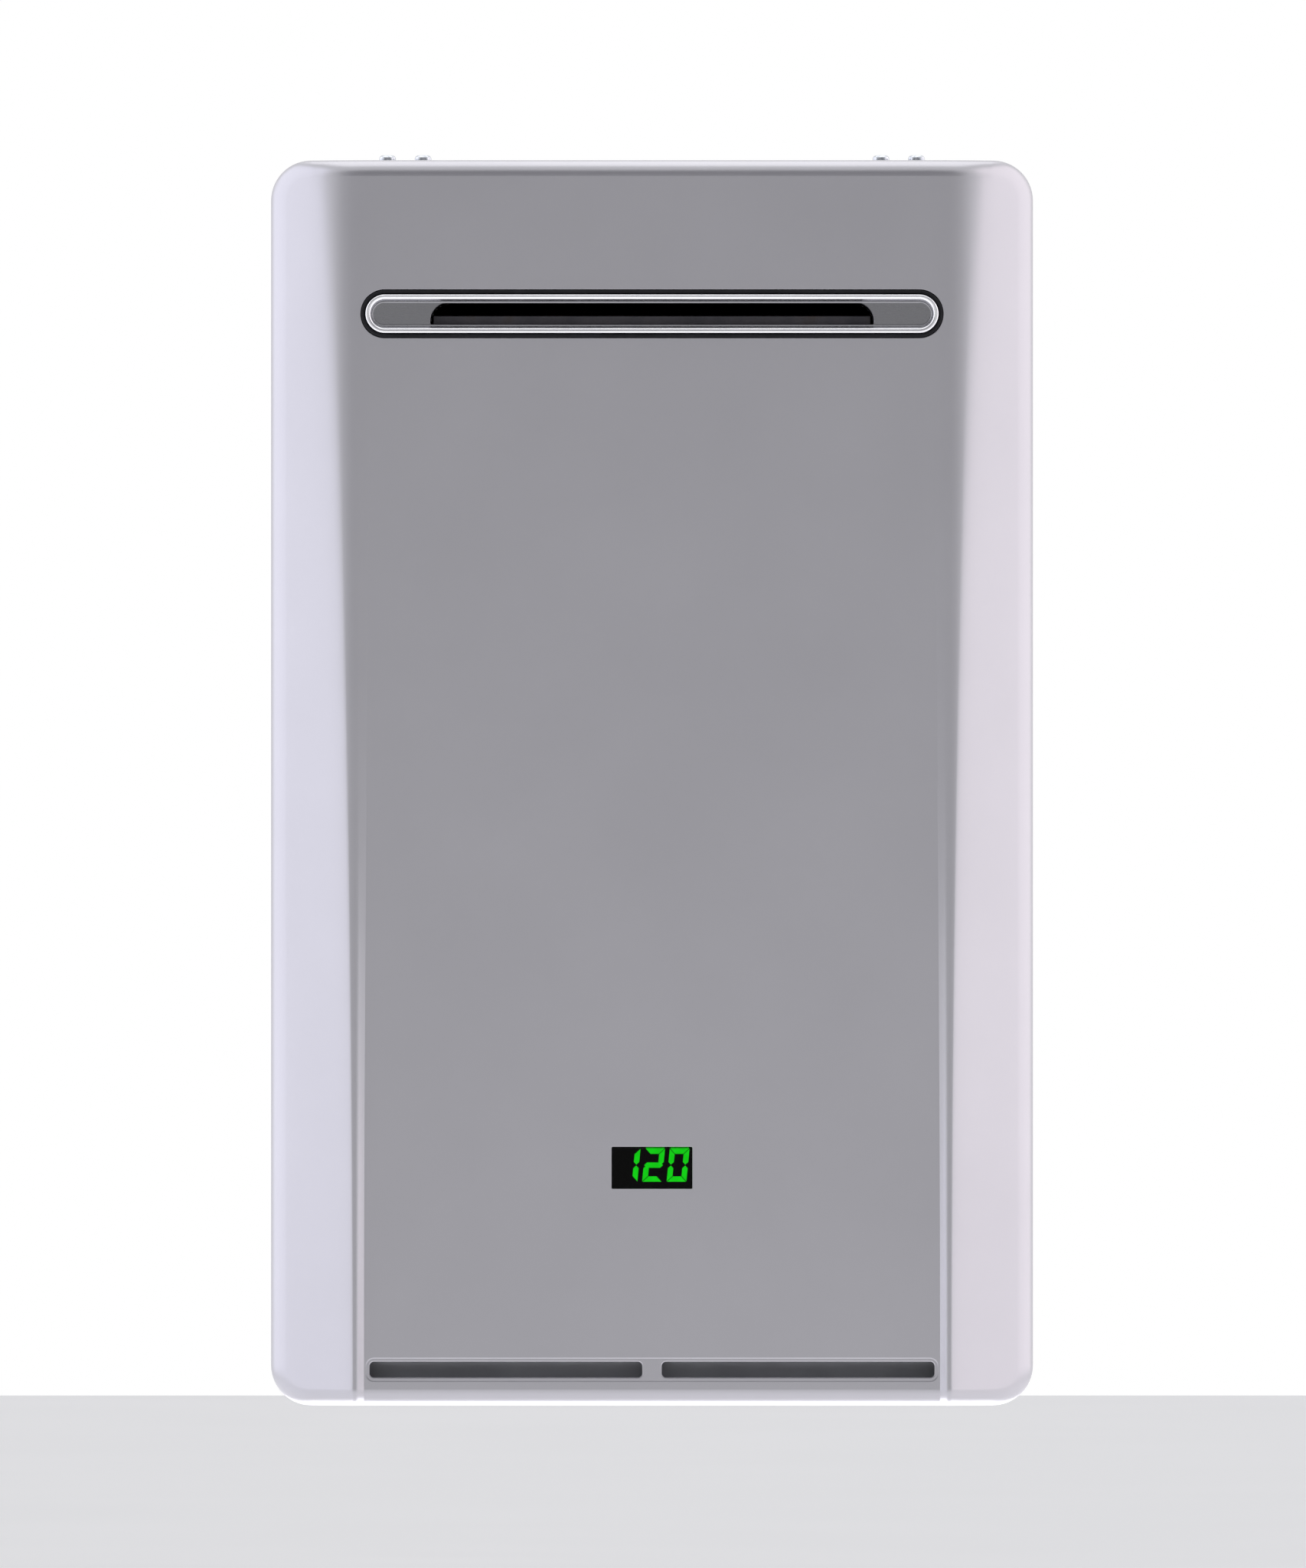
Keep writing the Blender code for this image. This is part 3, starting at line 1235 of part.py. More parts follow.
def make_filter(frame):
    """The cap under the cold inlet's pocket and the strainer that stands on it."""
    cap = turned("filter_cap", cap_profile(FILTER_BORE, FILTER_POCKET), "Z", FILTER_PLACE,
                 "black_plastic", frame, MIDDLE_SIDES)
    foot = POCKET_FOOT + CAP_STEM
    top = POCKET_FOOT + FILTER_DEPTH - FIT - STRAINER_END / 2
    outer = FILTER_BORE - RUN
    x, y = FILTER_PLACE
    profile = [(0, foot), (outer, foot), (outer, top), (outer - STRAINER_WALL, top),
               (outer - STRAINER_WALL, foot + STRAINER_WALL), (0, foot + STRAINER_WALL)]
    strainer = turned("filter_strainer", profile, "Z", FILTER_PLACE, "stainless_steel", frame,
                      MIDDLE_SIDES)
    low, high = foot + STRAINER_END, top - STRAINER_END
    middle = (low + high) / 2
    half = STRAINER_SLOT / 2
    reach = FILTER_BORE + OVERRUN
    spans = [(low, middle - half), (middle + half, high)]
    for way, wide, deep in (("x", reach, half), ("y", half, reach)):
        windows = [
            block(f"window_{way}_{number}", (x - wide, y - deep, start), (x + wide, y + deep, end))
            for number, (start, end) in enumerate(spans)
        ]
        cut(strainer, joined(f"strainer_windows_{way}", windows))
    for piece in (cap, strainer):
        move_origin(piece, (x, y, POCKET_FOOT))


def make_drain_plug(frame):
    plug = turned("drain_plug", cap_profile(DRAIN_BORE, DRAIN_POCKET), "Z", DRAIN_PLACE, "brass",
                  frame, MIDDLE_SIDES)
    move_origin(plug, (*DRAIN_PLACE, POCKET_FOOT))


# The flow sensor over the cold inlet, with a turbine on a pin
SENSOR_HEIGHT = 36 * MM
SENSOR_RADIUS = 15 * MM
SENSOR_BORE = 11.5 * MM
SPIDER_HALF = 1.6 * MM
SPIDER_HEIGHT = 3 * MM
PIN_RADIUS = 1.2 * MM
PICKUP_HALF = 6.5 * MM
PICKUP_DEPTH = 9 * MM
TURBINE_HUB = 3.6 * MM
TURBINE_LENGTH = 20 * MM
TURBINE_BLADES = 4
TURBINE_TWIST = math.radians(30)
TURBINE_SHEET = 1 * MM

SENSOR_FOOT = WATER_TOP + FIT
SENSOR_TOP = SENSOR_FOOT + SENSOR_HEIGHT
TURBINE_FOOT = SENSOR_FOOT + SPIDER_HEIGHT + RUN


def make_flow_sensor(frame):
    centre = (COLD_X, COLD_Y)
    profile = [(SENSOR_BORE, SENSOR_FOOT), (SENSOR_RADIUS, SENSOR_FOOT), (SENSOR_RADIUS, SENSOR_TOP),
               (SENSOR_BORE, SENSOR_TOP)]
    body = turned("flow_sensor", profile, "Z", centre, "black_plastic", frame, MIDDLE_SIDES)
    reach = SENSOR_BORE + BITE
    spider = block("spider", (COLD_X - reach, COLD_Y - SPIDER_HALF, SENSOR_FOOT),
                   (COLD_X + reach, COLD_Y + SPIDER_HALF, SENSOR_FOOT + SPIDER_HEIGHT))
    tip = TURBINE_FOOT + TURBINE_LENGTH + RUN
    pin = rod("turbine_pin", PIN_RADIUS, "Z", centre, SENSOR_FOOT + SPIDER_HEIGHT / 2, tip, sides=SMALL_SIDES)
    left = COLD_X - SENSOR_RADIUS - PICKUP_DEPTH
    middle = (SENSOR_FOOT + SENSOR_TOP) / 2
    pickup = block("pickup", (left, COLD_Y - PICKUP_HALF, middle - PICKUP_HALF),
                   (COLD_X - SENSOR_BORE - 2 * BITE, COLD_Y + PICKUP_HALF, middle + PICKUP_HALF))
    return fuse(body, spider, pin, pickup)


def make_flow_turbine(frame):
    """A hub on the sensor's pin with four slanted blades."""
    bore = PIN_RADIUS + FIT
    top = TURBINE_FOOT + TURBINE_LENGTH
    profile = [(bore, TURBINE_FOOT), (TURBINE_HUB, TURBINE_FOOT), (TURBINE_HUB, top), (bore, top)]
    turbine = turned("flow_turbine", profile, "Z", (COLD_X, COLD_Y), "grey_plastic", frame, MIDDLE_SIDES)
    middle = (TURBINE_FOOT + top) / 2
    rise = TURBINE_LENGTH / 2 - 2 * RUN
    slant = rise * math.tan(TURBINE_TWIST)
    path = [(-slant / 2, middle - rise), (slant / 2, middle + rise)]
    blades = []
    for number in range(TURBINE_BLADES):
        blade = prism(f"turbine_blade_{number}", bent_sheet(path, TURBINE_SHEET), "X",
                      (bore + TURBINE_HUB) / 2, SENSOR_BORE - 2 * RUN)
        blade.data.transform(Matrix.Rotation(math.tau * number / TURBINE_BLADES, 4, "Z"))
        blade.data.transform(Matrix.Translation((COLD_X, COLD_Y, 0)))
        blades.append(blade)
    fuse(turbine, joined("turbine_blades", blades))
    move_origin(turbine, (COLD_X, COLD_Y, middle))


# The water valve: a bored plug turned by a geared motor
VALVE_HALF_WIDTH = 17 * MM
VALVE_HALF_DEPTH = 19 * MM
VALVE_HEIGHT = 42 * MM
VALVE_EDGE = 2.5 * MM
PLUG_RADIUS = 12.5 * MM
PLUG_WALL = 4 * MM
PLUG_BORE = 8 * MM
SPINDLE_RADIUS = 3 * MM
SPINDLE_REACH = 12 * MM
SERVO_HALF_WIDTH = 18 * MM
SERVO_HALF_HEIGHT = 17 * MM
SERVO_DEPTH = 26 * MM

VALVE_FOOT = SENSOR_TOP + FIT
VALVE_TOP = VALVE_FOOT + VALVE_HEIGHT
VALVE_Z = (VALVE_FOOT + VALVE_TOP) / 2
VALVE_FRONT = COLD_Y - VALVE_HALF_DEPTH
VALVE_BACK = COLD_Y + VALVE_HALF_DEPTH


def make_water_valve(frame):
    centre = (COLD_X, VALVE_Z)
    body = block("water_valve", (COLD_X - VALVE_HALF_WIDTH, VALVE_FRONT, VALVE_FOOT),
                 (COLD_X + VALVE_HALF_WIDTH, VALVE_BACK, VALVE_TOP), "brass", frame, VALVE_EDGE)
    flow = rod("cut_valve_flow", THREAD_BORE, "Z", (COLD_X, COLD_Y), VALVE_FOOT - OVERRUN,
               VALVE_TOP + OVERRUN, sides=MIDDLE_SIDES)
    seat = rod("cut_valve_seat", PLUG_RADIUS, "Y", centre, VALVE_FRONT - OVERRUN,
               VALVE_BACK - PLUG_WALL)
    cut(body, flow, seat)
    plug_back = VALVE_BACK - PLUG_WALL - FIT
    plug_front = VALVE_FRONT + RUN
    tip = VALVE_FRONT - FIT - SPINDLE_REACH
    radius = PLUG_RADIUS - FIT
    profile = [(0, plug_back), (radius, plug_back), (radius, plug_front),
               (SPINDLE_RADIUS, plug_front), (SPINDLE_RADIUS, tip), (0, tip)]
    plug = turned("water_valve_plug", profile, "Y", centre, "stainless_steel", frame)
    bore = rod("cut_plug_bore", PLUG_BORE, "Z", (COLD_X, COLD_Y), VALVE_FOOT, VALVE_TOP,
               sides=MIDDLE_SIDES)
    cut(plug, bore)
    move_origin(plug, (COLD_X, COLD_Y, VALVE_Z))


def make_valve_servo(frame):
    rear = VALVE_FRONT - FIT
    servo = block("valve_servo",
                  (COLD_X - SERVO_HALF_WIDTH, rear - SERVO_DEPTH, VALVE_Z - SERVO_HALF_HEIGHT),
                  (COLD_X + SERVO_HALF_WIDTH, rear, VALVE_Z + SERVO_HALF_HEIGHT),
                  "black_plastic", frame, VALVE_EDGE)
    bore = rod("cut_servo_bore", SPINDLE_RADIUS + FIT, "Y", (COLD_X, VALVE_Z),
               rear - SPINDLE_REACH - RUN, rear + OVERRUN, sides=SMALL_SIDES)
    return cut(servo, bore)


# The gas valve: a cast body, a solenoid in front and the plunger that closes its seat
GAS_ABOVE_PLATE = 16 * MM
GAS_BODY_HALF = 24 * MM
GAS_BODY_FRONT = 13 * MM
GAS_BODY_BACK = 43 * MM
GAS_BODY_HEIGHT = 60 * MM
GAS_EDGE = 3 * MM
GAS_OUTLET_OFFSET = 30 * MM
GAS_BOSS = 11 * MM
GAS_BOSS_HEIGHT = 8 * MM
GAS_BORE = 7 * MM
CHAMBER_RADIUS = 9.5 * MM
CHAMBER_DEPTH = 24 * MM
SEAT_RADIUS = 5 * MM
HEAD_RADIUS = 8 * MM
HEAD_THICKNESS = 3 * MM
PLUNGER_RADIUS = 5 * MM
PLUNGER_REACH = 20 * MM
SOLENOID_RADIUS = 14 * MM
SOLENOID_LENGTH = 34 * MM
SOLENOID_END = 4 * MM

GAS_TOP = PLATE_TOP + GAS_ABOVE_PLATE
GAS_FRONT = GAS_Y - GAS_BODY_FRONT
GAS_BACK = GAS_Y + GAS_BODY_BACK
GAS_FOOT = GAS_TOP + FIT
GAS_ROOF = GAS_FOOT + GAS_BODY_HEIGHT
GAS_Z = GAS_FOOT + GAS_BODY_HEIGHT / 2
GAS_OUTLET_Y = GAS_Y + GAS_OUTLET_OFFSET
SEAT_Y = GAS_FRONT + CHAMBER_DEPTH


def make_gas_valve(frame):
    body = block("gas_valve", (GAS_X - GAS_BODY_HALF, GAS_FRONT, GAS_FOOT),
                 (GAS_X + GAS_BODY_HALF, GAS_BACK, GAS_ROOF), "cast_aluminium", frame, GAS_EDGE)
    outlet = (GAS_X, GAS_OUTLET_Y)
    boss = rod("gas_boss", GAS_BOSS, "Z", outlet, GAS_ROOF - GAS_EDGE, GAS_ROOF + GAS_BOSS_HEIGHT,
               sides=MIDDLE_SIDES)
    fuse(body, boss)
    axis = (GAS_X, GAS_Z)
    roof = GAS_ROOF + GAS_BOSS_HEIGHT + OVERRUN
    cut(
        body,
        rod("cut_gas_in", GAS_BORE, "Z", (GAS_X, GAS_Y), GAS_FOOT - OVERRUN, GAS_Z, sides=MIDDLE_SIDES),
        rod("cut_gas_out", GAS_BORE, "Z", outlet, GAS_Z, roof, sides=MIDDLE_SIDES),
        rod("cut_chamber", CHAMBER_RADIUS, "Y", axis, GAS_FRONT - OVERRUN, SEAT_Y, sides=MIDDLE_SIDES),
        rod("cut_seat", SEAT_RADIUS, "Y", axis, SEAT_Y - OVERRUN, GAS_OUTLET_Y, sides=MIDDLE_SIDES),
    )


def make_gas_solenoid(frame):
    back = GAS_FRONT - FIT
    front = back - SOLENOID_LENGTH
    bore = PLUNGER_RADIUS + FIT
    profile = [(0, front), (SOLENOID_RADIUS, front), (SOLENOID_RADIUS, back), (bore, back),
               (bore, front + SOLENOID_END), (0, front + SOLENOID_END)]
    return turned("gas_solenoid", profile, "Y", (GAS_X, GAS_Z), "black_plastic", frame, MIDDLE_SIDES)


def make_gas_plunger(frame):
    seat = SEAT_Y - FIT
    neck = seat - HEAD_THICKNESS
    tip = GAS_FRONT - FIT - PLUNGER_REACH
    profile = [(0, seat), (HEAD_RADIUS, seat), (HEAD_RADIUS, neck), (PLUNGER_RADIUS, neck),
               (PLUNGER_RADIUS, tip), (0, tip)]
    plunger = turned("gas_plunger", profile, "Y", (GAS_X, GAS_Z), "zinc_plate", frame, MIDDLE_SIDES)
    move_origin(plunger, (GAS_X, SEAT_Y, GAS_Z))


# Pipes between the fittings and the stack
PIPE_WALL = 1 * MM
PIPE_BEND = 12 * MM
FEED_RISE = 14 * MM
FEED_SHIFT = 38 * MM
GAS_PIPE_RADIUS = 7.5 * MM


def make_pipes(frame):
    start = VALVE_TOP + FIT
    feed = [
        (COLD_X, COLD_Y, start), (COLD_X, COLD_Y, start + FEED_RISE),
        (COIL_X, STACK_Y, start + FEED_SHIFT), (COIL_X, STACK_Y, COIL_START[2] - FIT),
    ]
    pipe("cold_feed_pipe", filleted(feed, PIPE_BEND), TUBE_RADIUS, PIPE_WALL, "copper", frame)
    hot = [(STUB_X + FIT, HOT_Y, TUBE_Z), (HOT_X, HOT_Y, TUBE_Z), (HOT_X, HOT_Y, WATER_TOP + FIT)]
    pipe("hot_outlet_pipe", filleted(hot, PIPE_BEND), TUBE_RADIUS, PIPE_WALL, "copper", frame)
    gas = [
        (GAS_X, GAS_OUTLET_Y, GAS_ROOF + GAS_BOSS_HEIGHT + FIT), (GAS_X, GAS_OUTLET_Y, MANIFOLD_Z),
        (GAS_X, MANIFOLD_Y, MANIFOLD_Z), (-MANIFOLD_HALF - FIT, MANIFOLD_Y, MANIFOLD_Z),
    ]
    pipe("gas_pipe", filleted(gas, PIPE_BEND), GAS_PIPE_RADIUS, PIPE_WALL, "galvanised_steel", frame)


# Sheet-metal carriers: the plate with its skirt, the deflector, the brace and the stack's bracket
DEFLECTOR_ABOVE = 6 * MM
DEFLECTOR_GAP = 3 * MM
DEFLECTOR_SLOPE = 11 * MM
DEFLECTOR_BELOW = 4 * MM
DEFLECTOR_FLANGE = 14 * MM
DEFLECTOR_PAST = 4 * MM
BRACE_HALF = 24 * MM
BRACE_FLANGE = 12 * MM
BRACE_FROM_SHOULDER = 3 * MM
STACK_BRACKET_WIDTH = 90 * MM
STACK_BRACKET_FLANGE = 22 * MM
GLAND_FROM_SIDE = 114 * MM
GLAND_FROM_STACK = 40 * MM
GLAND_RADIUS = 10 * MM
GLAND_BORE = 6.5 * MM
GLAND_FLANGE = 14 * MM
GLAND_DROP = 20 * MM
GLAND_NUT = 5 * MM

BRACE_Y = SHOULDER_Y + BRACE_FROM_SHOULDER
GLAND_X = GLAND_FROM_SIDE - SIDE
GLAND_Y = STACK_Y - GLAND_FROM_STACK


def make_bottom_plate(frame):
    back = REAR - PAN_FLANGE - FIT
    path = [(back, PLATE_TOP), (SKIRT_Y, PLATE_TOP), (SKIRT_Y, BOTTOM + SHEET + FIT)]
    half = SIDE - SHEET - FIT
    plate = prism("bottom_plate", bent_sheet(path, SHEET), "X", -half, half, "galvanised_steel", frame)
    inside = prism("plate_limit", casing_outline(SHEET + FIT), "Y", SKIRT_Y - OVERRUN, back + OVERRUN)
    keep_inside(plate, inside)
    low, high = PLATE_LOW - OVERRUN, PLATE_TOP + OVERRUN
    places = [
        ("cold", (COLD_X, COLD_Y), PLATE_HOLE), ("hot", (HOT_X, HOT_Y), PLATE_HOLE),
        ("gas", (GAS_X, GAS_Y), PLATE_HOLE), ("filter", FILTER_PLACE, FILTER_POCKET + RUN),
        ("drain", DRAIN_PLACE, DRAIN_POCKET + RUN), ("gland", (GLAND_X, GLAND_Y), GLAND_RADIUS + FIT),
    ]
    holes = [rod(f"{name}_hole", radius, "Z", place, low, high, sides=MIDDLE_SIDES)
             for name, place, radius in places]
    return cut(plate, joined("cut_plate_holes", holes))


def make_inlet_deflector(frame):
    """A shelf from the skirt to just behind the slots, its front edge sloping back and down."""
    slot_top = BOTTOM + SLOT_RISE + SLOT_HEIGHT
    shelf = slot_top + DEFLECTOR_ABOVE
    rear = SKIRT_Y - FIT
    front = PANEL_Y + SHEET + DEFLECTOR_GAP
    low = BOTTOM + SLOT_RISE - DEFLECTOR_BELOW
    path = [(rear, shelf - DEFLECTOR_FLANGE), (rear, shelf), (front, shelf),
            (front + DEFLECTOR_SLOPE, low)]
    half = SLOT_BRIDGE / 2 + SLOT_LENGTH + DEFLECTOR_PAST
    return prism("inlet_deflector", bent_sheet(path, SHEET), "X", -half, half, "galvanised_steel", frame)


def make_cross_brace(frame):
    """A channel between the casing's sides that carries the controller."""
    back = BRACE_Y + BRACE_FLANGE
    path = [(back, DISPLAY_Z - BRACE_HALF), (BRACE_Y, DISPLAY_Z - BRACE_HALF),
            (BRACE_Y, DISPLAY_Z + BRACE_HALF), (back, DISPLAY_Z + BRACE_HALF)]
    half = SIDE - SHEET - FIT
    return prism("cross_brace", bent_sheet(path, SHEET), "X", -half, half, "galvanised_steel", frame)


def make_stack_bracket(frame):
    """A cranked bracket from the back panel to the burner box."""
    z = (BURNER_TOP + BURNER_FOOT) / 2
    front = STACK_BACK + FIT
    back = REAR - SHEET - FIT - BRACKET_SHEET
    path = [(front, z + STACK_BRACKET_FLANGE), (front, z), (back, z), (back, z - STACK_BRACKET_FLANGE)]
    half = STACK_BRACKET_WIDTH / 2
    return prism("stack_bracket", bent_sheet(path, BRACKET_SHEET), "X", -half, half,
                 "galvanised_steel", frame)


def make_cable_gland(frame):
    """The gland for the mains lead: a hollow body with a flange under the plate and a nut over it."""
    foot = PLATE_LOW - FIT - GLAND_DROP
    flange = PLATE_LOW - FIT - GLAND_NUT
    nut = PLATE_TOP + FIT
    profile = [
        (GLAND_BORE, foot), (GLAND_RADIUS, foot), (GLAND_RADIUS, flange), (GLAND_FLANGE, flange),
        (GLAND_FLANGE, PLATE_LOW - FIT), (GLAND_RADIUS, PLATE_LOW - FIT), (GLAND_RADIUS, nut),
        (GLAND_FLANGE, nut), (GLAND_FLANGE, nut + GLAND_NUT), (GLAND_BORE, nut + GLAND_NUT),
    ]
    return turned("cable_gland", profile, "Z", (GLAND_X, GLAND_Y), "black_plastic", frame, MIDDLE_SIDES)


# The controller on the brace, with the display module behind the cover's lens
DISPLAY_THICKNESS = 6 * MM
DISPLAY_MARGIN = 2.5 * MM
CASE_FROM_SIDE = 98 * MM
CASE_HALF_HEIGHT = 36 * MM
CASE_WALL = 2 * MM
CASE_EDGE = 1 * MM
LID_THICKNESS = 2 * MM
POST_RADIUS = 3.5 * MM
POST_HEIGHT = 12 * MM
POST_FROM_EDGE = 8 * MM
BOARD_THICKNESS = 1.6 * MM
BOARD_MARGIN = 1.5 * MM
BOARD_PART = 9 * MM
BOARD_PART_HEIGHT = 12 * MM
BOARD_PART_SHARES = (-0.6, -0.2, 0.35)
TERMINAL_FROM_SIDE = 54 * MM
TERMINAL_HALF_WIDTH = 24 * MM
TERMINAL_HALF_HEIGHT = 11 * MM
TERMINAL_DEPTH = 15 * MM
TERMINAL_SCREW = 3 * MM
TERMINAL_WELL = 5 * MM
TERMINAL_COUNT = 4

CASE_HALF_WIDTH = SIDE - CASE_FROM_SIDE
TERMINAL_X = SIDE - TERMINAL_FROM_SIDE
MODULE_FRONT = LENS_REAR + RUN
MODULE_BACK = MODULE_FRONT + DISPLAY_THICKNESS
LID_FRONT = MODULE_BACK + FIT
CASE_FRONT = LID_FRONT + LID_THICKNESS + FIT
CASE_BACK = BRACE_Y - SHEET - FIT


def make_controller(frame):
    """A tray on the brace, the circuit board on four posts, the lid and the display in front."""
    half_wide, half_high = CASE_HALF_WIDTH, CASE_HALF_HEIGHT
    case = block("controller_case", (-half_wide, CASE_FRONT, DISPLAY_Z - half_high),
                 (half_wide, CASE_BACK, DISPLAY_Z + half_high), "black_plastic", frame, CASE_EDGE)
    inner_wide, inner_high = half_wide - CASE_WALL, half_high - CASE_WALL
    hollow = block("cut_case", (-inner_wide, CASE_FRONT - OVERRUN, DISPLAY_Z - inner_high),
                   (inner_wide, CASE_BACK - CASE_WALL, DISPLAY_Z + inner_high))
    cut(case, hollow)
    floor = CASE_BACK - CASE_WALL
    post_x, post_z = inner_wide - POST_FROM_EDGE, inner_high - POST_FROM_EDGE
    posts = [
        rod(f"post_{i}", POST_RADIUS, "Y", (sx * post_x, DISPLAY_Z + sz * post_z),
            floor - POST_HEIGHT, floor + BITE, sides=SMALL_SIDES)
        for i, (sx, sz) in enumerate([(-1, -1), (1, -1), (1, 1), (-1, 1)])
    ]
    fuse(case, joined("case_posts", posts))
    back = floor - POST_HEIGHT - FIT
    front = back - BOARD_THICKNESS
    board_wide, board_high = inner_wide - BOARD_MARGIN, inner_high - BOARD_MARGIN
    board = block("controller_board", (-board_wide, front, DISPLAY_Z - board_high),
                  (board_wide, back, DISPLAY_Z + board_high), "circuit_board", frame)
    parts = []
    for number, share in enumerate(BOARD_PART_SHARES):
        x = share * board_wide
        parts.append(block(f"board_part_{number}", (x - BOARD_PART, front - BOARD_PART_HEIGHT,
                                                    DISPLAY_Z - BOARD_PART),
                           (x + BOARD_PART, front + BITE, DISPLAY_Z + BOARD_PART)))
    fuse(board, joined("board_parts", parts))
    block("controller_lid", (-half_wide, LID_FRONT, DISPLAY_Z - half_high),
          (half_wide, LID_FRONT + LID_THICKNESS, DISPLAY_Z + half_high), "black_plastic", frame)
    module_wide = DISPLAY_WIDTH / 2 + DISPLAY_MARGIN
    module_high = DISPLAY_HEIGHT / 2 + DISPLAY_MARGIN
    block("display_module", (-module_wide, MODULE_FRONT, DISPLAY_Z - module_high),
          (module_wide, MODULE_BACK, DISPLAY_Z + module_high), "black_plastic", frame)


def make_terminal_block(frame):
    """The mains terminals beside the controller, each with a sunk screw."""
    rear = BRACE_Y - SHEET - FIT
    front = rear - TERMINAL_DEPTH
    terminals = block("terminal_block",
                      (TERMINAL_X - TERMINAL_HALF_WIDTH, front, DISPLAY_Z - TERMINAL_HALF_HEIGHT),
                      (TERMINAL_X + TERMINAL_HALF_WIDTH, rear, DISPLAY_Z + TERMINAL_HALF_HEIGHT),
                      "grey_plastic", frame, CASE_EDGE)
    pitch = 2 * TERMINAL_HALF_WIDTH / TERMINAL_COUNT
    wells = [
        rod(f"terminal_well_{i}", TERMINAL_SCREW, "Y",
            (TERMINAL_X - TERMINAL_HALF_WIDTH + pitch * (i + 0.5), DISPLAY_Z),
            front - OVERRUN, front + TERMINAL_WELL, sides=SMALL_SIDES)
        for i in range(TERMINAL_COUNT)
    ]
    return cut(terminals, joined("cut_terminal_wells", wells))


# The igniter on the casing's left wall, its lead, and the two temperature devices
IGNITER_DEPTH = 26 * MM
IGNITER_LENGTH = 54 * MM
IGNITER_HEIGHT = 46 * MM
IGNITER_FROM_FRONT = 25 * MM
IGNITER_BELOW_SHELL = 14 * MM
LEAD_RADIUS = 2.5 * MM
LEAD_BEND = 9 * MM
LEAD_REACH = 18 * MM
LEAD_PAST_WALL = 34 * MM
SWITCH_RADIUS = 10 * MM
SWITCH_HEIGHT = 7 * MM
SWITCH_X = 62 * MM
SWITCH_CAP_SHARE = 0.7
CLIP_WALL = 2 * MM
CLIP_HEIGHT = 10 * MM
CLIP_RISE = 44 * MM
PROBE_HALF = 3.5 * MM
PROBE_REACH = 9 * MM

IGNITER_FRONT = STACK_FRONT + IGNITER_FROM_FRONT
IGNITER_TOP = SHELL_FOOT - IGNITER_BELOW_SHELL
IGNITER_LEFT = SHEET + FIT - SIDE


def make_igniter(frame):
    """The spark module and the lead that runs from it to the ignition electrode."""
    block("igniter", (IGNITER_LEFT, IGNITER_FRONT, IGNITER_TOP - IGNITER_HEIGHT),
          (IGNITER_LEFT + IGNITER_DEPTH, IGNITER_FRONT + IGNITER_LENGTH, IGNITER_TOP),
          "black_plastic", frame, CASE_EDGE)
    x = IGNITER_LEFT + IGNITER_DEPTH / 2
    z = IGNITER_TOP - IGNITER_HEIGHT / 2
    tail = STACK_FRONT - FIT - ELECTRODE_FLANGE_DEPTH - ELECTRODE_TAIL - FIT
    ahead = tail - LEAD_REACH
    route = [
        (x, IGNITER_FRONT - FIT, z), (x, IGNITER_FRONT - LEAD_PAST_WALL, z),
        (x + LEAD_REACH, ahead, z), (-ELECTRODE_FROM_MIDDLE - LEAD_PAST_WALL, ahead, ELECTRODE_Z),
        (-ELECTRODE_FROM_MIDDLE, ahead, ELECTRODE_Z), (-ELECTRODE_FROM_MIDDLE, tail, ELECTRODE_Z),
    ]
    lead = tube_curve("ignition_lead", filleted(route, LEAD_BEND), LEAD_RADIUS, TUBE_SIDES)
    lead.data.use_fill_caps = True
    paint(lead, "black_rubber")
    lead.parent = frame


def make_overheat_switch(frame):
    back = STACK_FRONT - FIT
    cap = SWITCH_RADIUS * SWITCH_CAP_SHARE
    profile = [(0, back), (SWITCH_RADIUS, back), (SWITCH_RADIUS, back - SWITCH_HEIGHT / 2),
               (cap, back - SWITCH_HEIGHT / 2), (cap, back - SWITCH_HEIGHT),
               (0, back - SWITCH_HEIGHT)]
    return turned("overheat_switch", profile, "Y", (SWITCH_X, TUBE_Z), "cast_aluminium", frame, MIDDLE_SIDES)


def make_outlet_thermistor(frame):
    """A clip round the hot pipe with its probe."""
    inner = TUBE_RADIUS + FIT
    low = WATER_TOP + CLIP_RISE
    profile = [(inner, low), (inner + CLIP_WALL, low), (inner + CLIP_WALL, low + CLIP_HEIGHT),
               (inner, low + CLIP_HEIGHT)]
    clip = turned("outlet_thermistor", profile, "Z", (HOT_X, HOT_Y), "black_plastic", frame, MIDDLE_SIDES)
    start = HOT_Y - inner - CLIP_WALL / 2
    probe = block("probe", (HOT_X - PROBE_HALF, start - PROBE_REACH, low + BITE),
                  (HOT_X + PROBE_HALF, start, low + CLIP_HEIGHT - BITE))
    return fuse(clip, probe)


